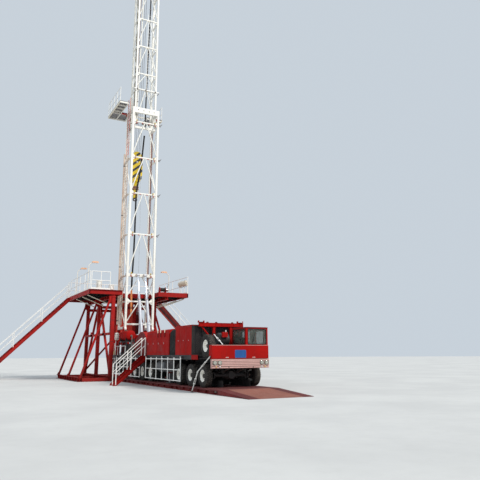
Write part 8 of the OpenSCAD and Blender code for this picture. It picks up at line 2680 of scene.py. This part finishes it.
# ------------------------------------------------------------------ upper mast section
def make_upper():
    g = G(MAST).use("white")
    W, D0, D1, C, H0, H1 = 0.78, 0.2, 1.25, 0.065, 14.7, 29.8
    for s in (-1, 1):
        for d in (D0, D1):
            g.box(s * W - C, s * W + C, d - C, d + C, H0 + 0.002, H1 - 0.001, 0.014)
        for h in UP_H:
            g.box(s * W - 0.0424, s * W + 0.0424, D0 + 0.04, D1 - 0.04, h - 0.0424, h + 0.0424, 0.008)
            for d, u in ((D0 + 0.065, 1), (D1 - 0.065, -1)):
                g.prism("x", [(d, h - 0.04), (d, h - 0.18), (d + u * 0.03, h - 0.18), (d + u * 0.20, h - 0.041)], s * W - 0.007, s * W + 0.007)
        # lacing in the leg: a zigzag between its chords
        z = H0 + 0.35
        k = 0
        while s > 0 and z + 0.72 < H1:
            d0, d1 = (D0, D1) if k % 2 == 0 else (D1, D0)
            g.rod((s * W, d0 + (0.05 if k % 2 == 0 else -0.05), z), (s * W, d1 - (0.05 if k % 2 == 0 else -0.05), z + 0.72), 0.021, 10)
            z += 0.76
            k += 1
    lo = H0 + 0.06
    g.box(-W, W, D0 - 0.0595, D0 + 0.0595, H0 + 0.001, H0 + 0.179, 0.010)
    for s in (-1, 1):
        g.box(s * W - 0.0595, s * W + 0.0595, D0, D1, H0 + 0.001, H0 + 0.139, 0.008)
    for k, h in enumerate(UP_H):
        g.box(-W + 0.06, W - 0.06, D0 - 0.042, D0 + 0.042, h - 0.042, h + 0.042, 0.008)
        for s in (-1, 1):
            g.prism("y", [(s * (W - 0.065), h - 0.04), (s * (W - 0.065), h - 0.20), (s * (W - 0.09), h - 0.20), (s * (W - 0.26), h - 0.041)], D0 - 0.007, D0 + 0.007)
            H = h - lo
            a = (s * 0.06, D0, h - 0.02)
            if H > 2.0:
                g.tube([a, (s * 0.46, D0, lo + 0.50 * H), (s * (W - 0.08), D0, lo + 0.16 * H)], 0.033, 14)
            else:
                tube_h(g, a, (s * (W - 0.04), D0, lo + 0.22 * H), 0.033)
            d0, d1 = (D0, D1) if k % 2 == 0 else (D1, D0)
            tube_h(g, (s * W, d0, lo + 0.06), (s * W, d1, h - 0.06), 0.029)
        g.box(-W + 0.0005, -W + 0.0795, 0.541, 0.959, h - 0.0145, h + 0.0145, 0.003)
        g.box(-0.10, 0.10, D0 - 0.0424, D0 + 0.0424, h - 0.08, h - 0.04, 0.006, "cream")
        lo = h
    # ladder inside the right leg with a cable beside it
    for d in (0.56, 0.94):
        g.box(-W + 0.061, -W + 0.094, d - 0.0165, d + 0.0165, H0 + 0.202, H1 - 0.002, 0.004, "cream")
    for k in range(49):
        h = H0 + 0.515 + 0.3 * k
        if h < H1 - 0.1:
            g.rod((-W + 0.077, 0.57, h), (-W + 0.077, 0.93, h), 0.0095, 8, "cream")
    # second pale ladder towards the middle of the front plane
    for x in (0.02, 0.30):
        g.box(x - 0.014, x + 0.014, D0 + 0.035, D0 + 0.065, 17.4, 24.6, 0.003, "white_rail")
    for k in range(24):
        g.rod((0.02, D0 + 0.05, 17.55 + 0.3 * k), (0.30, D0 + 0.05, 17.55 + 0.3 * k), 0.0085, 8, "white_rail")
    # a bar across at the foot of the section, longer than the section is wide, with hooks
    hb = 17.9
    g.box(-0.95, 1.02, D0 - 0.105, D0 - 0.045, hb - 0.04, hb + 0.04, 0.008, "white_rail")
    for s, x in ((-1, -0.93), (1, 1.0)):
        g.tube([(x, D0 - 0.075, hb - 0.02), (x - s * 0.03, D0 - 0.075, hb - 0.14), (x - s * 0.12, D0 - 0.075, hb - 0.22), (x - s * 0.15, D0 - 0.075, hb - 0.18)], [0.020, 0.020, 0.018, 0.015], 12, "iron", 0.003)
    for x in (-0.70, -0.05, 0.72):
        g.box(x - 0.05, x + 0.05, D0 - 0.112, D0 - 0.040, hb - 0.05, hb + 0.05, 0.006, "iron")
    for x, h in ((-0.62, 15.1), (-0.20, 15.15), (0.24, 15.1), (0.55, 15.2)):
        g.box(x - 0.05, x + 0.05, D0 - 0.058, D0 + 0.02, h - 0.08, h + 0.10, 0.010, "iron")
    piece("mast_upper_detail", g, "mast_upper", "mast_upper", "mast_white", 40)

    # cable along the ladder and hoses down the middle
    g = G(MAST)
    g.tube([(-0.70, 0.75, 29.6), (-0.70, 0.75, 25.0), (-0.705, 0.745, 20.0), (-0.70, 0.75, 15.0)], 0.040, 12, "hose")
    for k in range(3):
        o = 0.034 * (k - 1)
        pts = [(0.24 + o, 0.285 + 0.01 * k, 29.7), (0.20 + o, 0.285 + 0.01 * k, 27.5), (0.15 + o, 0.285, 23.65), (0.09 + o, 0.285, 20.3), (0.055 + o, 0.285, 17.0), (0.05 + o, 0.285, 14.9)]
        g.tube(pts, 0.024 if k == 1 else 0.018, 10, "hose" if k != 2 else "rope")
    for h in (16.4, 18.6, 20.9, 22.8, 25.1, 27.2):
        x = 0.05 + (h - 15) * 0.0117
        g.box(x - 0.075, x + 0.075, 0.262, 0.318, h - 0.02, h + 0.02, 0.005, "iron")
    # pale pipe and a thin dark one inside the right front chord
    way = [(-0.635, 15.1), (-0.605, 16.6), (-0.53, 19.8), (-0.46, 23.5), (-0.43, 26.0), (-0.43, 29.6)]
    g.tube([(x, 0.325, h) for x, h in way], 0.044, 16, "white", 0.004)
    for h in (16.9, 19.9, 22.9, 25.9, 28.6):
        k = max(i for i in range(len(way)) if way[i][1] <= h)
        (xa, ha), (xb, hb) = way[k], way[k + 1]
        x = xa + (xb - xa) * (h - ha) / (hb - ha)
        g.box(x - 0.060, x + 0.060, 0.262, 0.372, h - 0.020, h + 0.020, 0.005, "iron")
    g.tube([(-0.685, 0.31, 15.2), (-0.66, 0.31, 20.4), (-0.62, 0.31, 23.45), (-0.60, 0.31, 29.6)], 0.020, 12, "rail_brown")
    piece("mast_upper_lines", g, "mast_upper", slot="matt_black")

    g = G(MAST)
    # two hoses side by side down the right half, tied to each other
    way = [(0.06, 14.3), (0.03, 13.9), (-0.05, 12.7), (-0.15, 11.6), (-0.30, 10.5), (-0.40, 9.8), (-0.41, 9.0), (-0.41, 6.5), (-0.43, 5.0), (-0.475, 3.6), (-0.485, 2.70)]
    for k in range(2):
        o = 0.062 * (k - 0.5)
        g.tube([(x + o, 0.42, h) for x, h in way], 0.030, 12, "hose")
    for x, h in ((-0.10, 12.2), (-0.395, 9.9), (-0.408, 8.2), (-0.41, 6.7), (-0.43, 5.0), (-0.48, 3.3)):
        g.box(x - 0.070, x + 0.070, 0.385, 0.455, h - 0.02, h + 0.02, 0.006, "iron")
    # orange pipes that the hoses end on
    for k in range(2):
        o = 0.062 * (k - 0.5)
        g.tube([(-0.485 + o, 0.42, 2.74), (-0.485 + o, 0.42, 2.50), (-0.455 + o, 0.42, 1.22), (-0.455 + o, 0.42, 0.95)], 0.034, 14, "orange", 0.004)
        g.lathe([(0.026, -0.05), (0.040, -0.045), (0.040, 0.045), (0.026, 0.05)], (-0.485 + o, 0.42, 2.72), "z", 20, "iron", closed=True)
    g.box(-0.53, -0.39, 0.380, 0.460, 1.40, 1.44, 0.006, "iron")
    # thin pale line
    g.tube([(-0.16, 0.50, 13.05), (-0.12, 0.50, 11.5), (-0.05, 0.50, 9.0), (0.0, 0.50, 7.1), (0.0, 0.50, 1.0)], 0.011, 8, "galv")
    piece("mast_lower_lines", g, "mast_lower", slot="matt_black")


def sheave(g, x, d, h, R, w, m="iron", spokes=6):
    ri = R - 0.075
    g.lathe([(ri, -w * 0.36), (R - 0.02, -w * 0.5), (R, -w * 0.46), (R - 0.045, -w * 0.12), (R - 0.045, w * 0.12), (R, w * 0.46), (R - 0.02, w * 0.5), (ri, w * 0.36)], (x, d, h), "x", 56, m, closed=True)
    g.lathe([(0.0, -w * 0.5), (0.11, -w * 0.5), (0.12, -w * 0.42), (0.12, w * 0.42), (0.11, w * 0.5), (0, w * 0.5)], (x, d, h), "x", 28, m)
    g.lathe([(0.10, -w * 0.12), (ri + 0.01, -w * 0.12), (ri + 0.01, w * 0.12), (0.10, w * 0.12)], (x, d, h), "x", 40, m, closed=True)
    for k in range(spokes):
        a = 2 * pi * k / spokes
        g.push(Matrix.Translation((x, d, h)) @ Matrix.Rotation(a, 4, "X"))
        g.box(-w * 0.32, w * 0.32, -0.016, 0.016, 0.10, ri + 0.005, 0.004, m)
        g.pop()


def make_crown():
    g = G(MAST).use("cream")
    H = 29.8
    for s in (-1, 1):
        g.ibeam((s * 0.80, 0.062, H + 0.151), (s * 0.80, 2.448, H + 0.151), 0.158, 0.296, 0.014, 0.020)
        for d in (0.30, 0.8, 1.4, 2.0):
            for t in (-1, 1):
                g.box(s * 0.80 + t * 0.009, s * 0.80 + t * 0.074, d - 0.005, d + 0.005, H + 0.024, H + 0.278, 0.002)
        # pillow blocks
        g.prism("x", [(1.602, H + 0.102), (1.858, H + 0.102), (1.858, H + 0.42), (1.80, H + 0.50), (1.73, H + 0.519), (1.66, H + 0.50), (1.602, H + 0.42)], s * 0.562, s * 0.718)
    for d in (0.06, 1.0, 2.3):
        g.box(-0.72, 0.72, d + 0.002, d + 0.148, H + 0.042, H + 0.258, 0.010)
    for x in (-0.42, -0.26, -0.10, 0.10, 0.26, 0.42):
        sheave(g, x, 1.73, H + 0.42, 0.4395, 0.098, "iron")
    g.lathe([(0, -0.599), (0.062, -0.599), (0.0695, -0.59), (0.0695, 0.59), (0.062, 0.599), (0, 0.599)], (0, 1.73, H + 0.42), "x", 32, "steel")
    sheave(g, 0.0, 0.62, H + 0.42, 0.3795, 0.098, "iron")
    g.lathe([(0, -0.199), (0.052, -0.199), (0.0595, -0.192), (0.0595, 0.192), (0.052, 0.199), (0, 0.199)], (0, 0.62, H + 0.42), "x", 28, "steel")
    for x in (-0.2, 0.14):
        g.prism("x", [(0.202, H + 0.182), (1.008, H + 0.182), (1.008, H + 0.25), (0.74, H + 0.478), (0.50, H + 0.478), (0.202, H + 0.25)], x + 0.001, x + 0.059)
    # walkway plates and railing
    for s in (-1, 1):
        g.box(s * 0.60, s * 0.72, 0.22, 1.55, H + 0.258, H + 0.268, 0.003, "galv")
        g.use("white_rail")
        for d in (0.10, 1.25, 2.40):
            g.rod((s * 0.86, d, H + 0.28), (s * 0.86, d, H + 1.349), 0.0215, 14, None, 0.004)
            g.box(s * 0.86 - 0.019, s * 0.86 + 0.019, d - 0.04, d + 0.04, H + 0.298, H + 0.306, 0.002)
        for h in (0.8, 1.328):
            g.rod((s * 0.86, 0.08, H + h), (s * 0.86, 2.42, H + h), 0.0215, 14, None, 0.004)
        g.use("cream")
    for d in (0.10, 2.40):
        for h in (0.8, 1.328):
            g.rod((-0.86, d, H + h), (0.86, d, H + h), 0.0215, 14, "white_rail", 0.004)
    # beacon kept inside the railing's height
    g.lathe([(0, 0), (0.05, 0), (0.05, 0.04), (0.07, 0.05), (0.07, 0.16), (0.045, 0.20), (0, 0.21)], (-0.60, 2.375, H + 0.26), "z", 24, "lamp_red")
    piece("crown_detail", g, "mast_upper", "crown_block", "mast_white", 40)


def make_board():
    g = G(MAST @ Matrix.Translation((0, 0, 16.36))).use("white")
    B = 1.70
    # cross beam at the hinge, knuckles and brackets
    g.box(-1.079, 1.079, B + 0.052, B + 0.108, -0.059, 0.059, 0.008)
    for s in (-1, 1):
        a0, a1 = (1.081, 1.179) if s > 0 else (-1.179, -1.081)
        g.prism("x", [(B - 0.058, -0.030), (B - 0.03, -0.058), (B + 0.058, -0.058), (B + 0.058, 0.058), (B - 0.03, 0.058), (B - 0.058, 0.030)], a0, a1, "red")
        g.box(s * 1.18, s * 1.479, B + 0.002, B + 0.058, -0.059, 0.059, 0.006, "red")
        g.box(s * 1.08, s * 1.30, B + 0.06, B + 0.10, -0.055, 0.055, 0.006, "red")
    # edge beams as channels, cross members
    g.use("cream")
    g.box(-2.0995, -2.041, -0.2495, 2.9995, -0.059, 0.0595, 0.008)
    g.use("white")
    for x, y0 in ((-1.48, -0.25), (-0.75, B), (0.65, B), (1.25, B), (1.84, B)):
        g.box(x + 0.001, x + 0.059, y0 + 0.001, 2.999, -0.059, 0.0585, 0.006, "cream" if x == 1.84 else "white")
    for d in (B + 0.05, B + 1.24):
        g.box(-2.10 + 0.06, -0.651, d + 0.001, d + 0.059, -0.0585, 0.059, 0.006)
        g.box(0.651, 1.899, d + 0.001, d + 0.059, -0.0585, 0.059, 0.006)
    g.box(-2.099, -1.421, -0.249, -0.191, -0.0595, 0.0585, 0.006)
    for d in (0.30, 0.85, 1.40):
        g.box(-2.04, -1.48, d, d + 0.05, -0.055, 0.058, 0.005)
    # planks: narrow boards with gaps
    def planks(x0, x1, y0, y1, along, n):
        for k in range(n):
            if along == "x":
                a, b = y0 + (y1 - y0) * k / n, y0 + (y1 - y0) * (k + 1) / n
                g.box(x0 + 0.001, x1 - 0.001, a + 0.004, b - 0.004, 0.0605, 0.108 - 0.0015 * (k % 3), 0.004, "grey_plank")
            else:
                a, b = x0 + (x1 - x0) * k / n, x0 + (x1 - x0) * (k + 1) / n
                g.box(a + 0.004, b - 0.004, y0 + 0.001, y1 - 0.001, 0.0605, 0.108 - 0.0015 * (k % 3), 0.004, "grey_plank")
    planks(-2.10, -0.65, B, B + 1.30, "x", 6)
    planks(0.65, 1.90, B, B + 1.30, "x", 6)
    planks(-2.10, -1.42, -0.25, B, "y", 4)
    # fingers that hold the pipes: bars across the slot side, on the floor's edge
    for k in range(6):
        d = B + 0.20 + 0.19 * k
        for s in (-1, 1):
            x0, x1 = (s * 0.70, s * 0.652)
            g.box(x0, x1, d - 0.012, d + 0.012, 0.108, 0.16, 0.003, "iron")
    g.use("white_rail")
    for d in (-0.22, 0.6, 1.4, 2.2, B + 1.26):
        g.rod((-2.07, d, 0.10), (-2.07, d, 1.198), 0.0215, 14, None, 0.004)
    for h in (0.62, 1.178):
        g.rod((-2.07, -0.24, h), (-2.07, B + 1.28, h), 0.0215, 14, None, 0.004)
    for d in (B + 0.06, B + 0.66, B + 1.26):
        g.rod((1.87, d, 0.10), (1.87, d, 1.198), 0.0215, 14, None, 0.004)
    for h in (0.62, 1.178):
        g.rod((1.87, B + 0.04, h), (1.87, B + 1.28, h), 0.0215, 14, None, 0.004)
    g.beam((-2.075, -0.23, 0.16), (-2.075, B + 1.27, 0.16), 0.005, 0.10, 0.001, (0, 0, 1))
    g.beam((1.875, B + 0.05, 0.16), (1.875, B + 1.27, 0.16), 0.005, 0.10, 0.001, (0, 0, 1))
    piece("board_detail", g, "monkey_board", "monkey_board", "mast_white")


def make_hoist_lines():
    g = G(MAST).use("rope")
    top = 13.40
    xs = (-0.42, -0.26, -0.10, 0.10, 0.26, 0.42)
    for k, x in enumerate(xs):
        x1 = (-0.30, -0.18, -0.06, 0.06, 0.18, 0.30)[k]
        g.rod((x1, 1.945, top), (x, 2.125, 30.05), 0.0125, 8)
    o = piece("hoist_lines", g, "mast_lower", slot="bare_steel")
    a = MAST @ Vector((0, 1.95, top))
    ax = (MAST.to_3x3() @ Vector((0, 0, 1))).normalized()
    L = 30.05 - top
    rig.squash(o, "mast_extend", tuple(ax), tuple(a), (L - 10.8) / L)


make_lower()
make_ladder()
make_block()
make_upper()
make_crown()
make_board()
make_hoist_lines()

# ------------------------------------------------------------------ carried-over nodes, light and floor
for _name, _o in frame["nodes"].items():
    if not _o.hide_render:
        _m = MATS[KEEP.get(_name, "red")] if "KEEP" in globals() else MATS["red"]
        _o.data.materials.clear()
        _o.data.materials.append(_m)


def make_stage():
    me = bpy.data.meshes.new("floor")
    n, R = 64, 260.0
    v = [(0, 0, 0)] + [(R * cos(2 * pi * k / n), R * sin(2 * pi * k / n), 0) for k in range(n)]
    me.from_pydata(v, [], [(0, 1 + k, 1 + (k + 1) % n) for k in range(n)])
    me.materials.append(MATS["ground"])
    o = bpy.data.objects.new("floor", me)
    o.location = (0, 0, -0.002)
    bpy.context.scene.collection.objects.link(o)
    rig.stage(o)
    w = bpy.data.worlds.new("studio")
    w.use_nodes = True
    bg = w.node_tree.nodes["Background"]
    bg.inputs[0].default_value = (0.72, 0.80, 0.88, 1)
    bg.inputs[1].default_value = 0.80
    bpy.context.scene.world = w
    for name, e, az, strength, angle, col in (("key", 42, 25, 2.75, 14, (1.0, 0.965, 0.91)), ("fill", 30, -75, 0.55, 40, (0.90, 0.95, 1.0))):
        L = bpy.data.lights.new(name, "SUN")
        L.energy = strength
        L.angle = rad(angle)
        L.color = col
        q = bpy.data.objects.new(name, L)
        a, b = rad(az), rad(e)
        d = Vector((sin(a) * cos(b), -cos(a) * cos(b), sin(b)))
        q.rotation_mode = "QUATERNION"
        q.rotation_quaternion = d.to_track_quat("Z", "Y")
        q.location = d * 60
        bpy.context.scene.collection.objects.link(q)
    vs = bpy.context.scene.view_settings
    vs.view_transform = "Standard"
    vs.look = "None"
    vs.exposure = 0.0


make_stage()
with open("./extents.json", "w") as _f:
    _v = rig.bounds()
    json.dump({"cad": [list(CAD_BOX[0]), list(CAD_BOX[1])], "visual": [list(_v[0]), list(_v[1])]}, _f)
print("triangles", sum(TRIS.values()), {k: v for k, v in sorted(TRIS.items(), key=lambda q: -q[1])[:12]})
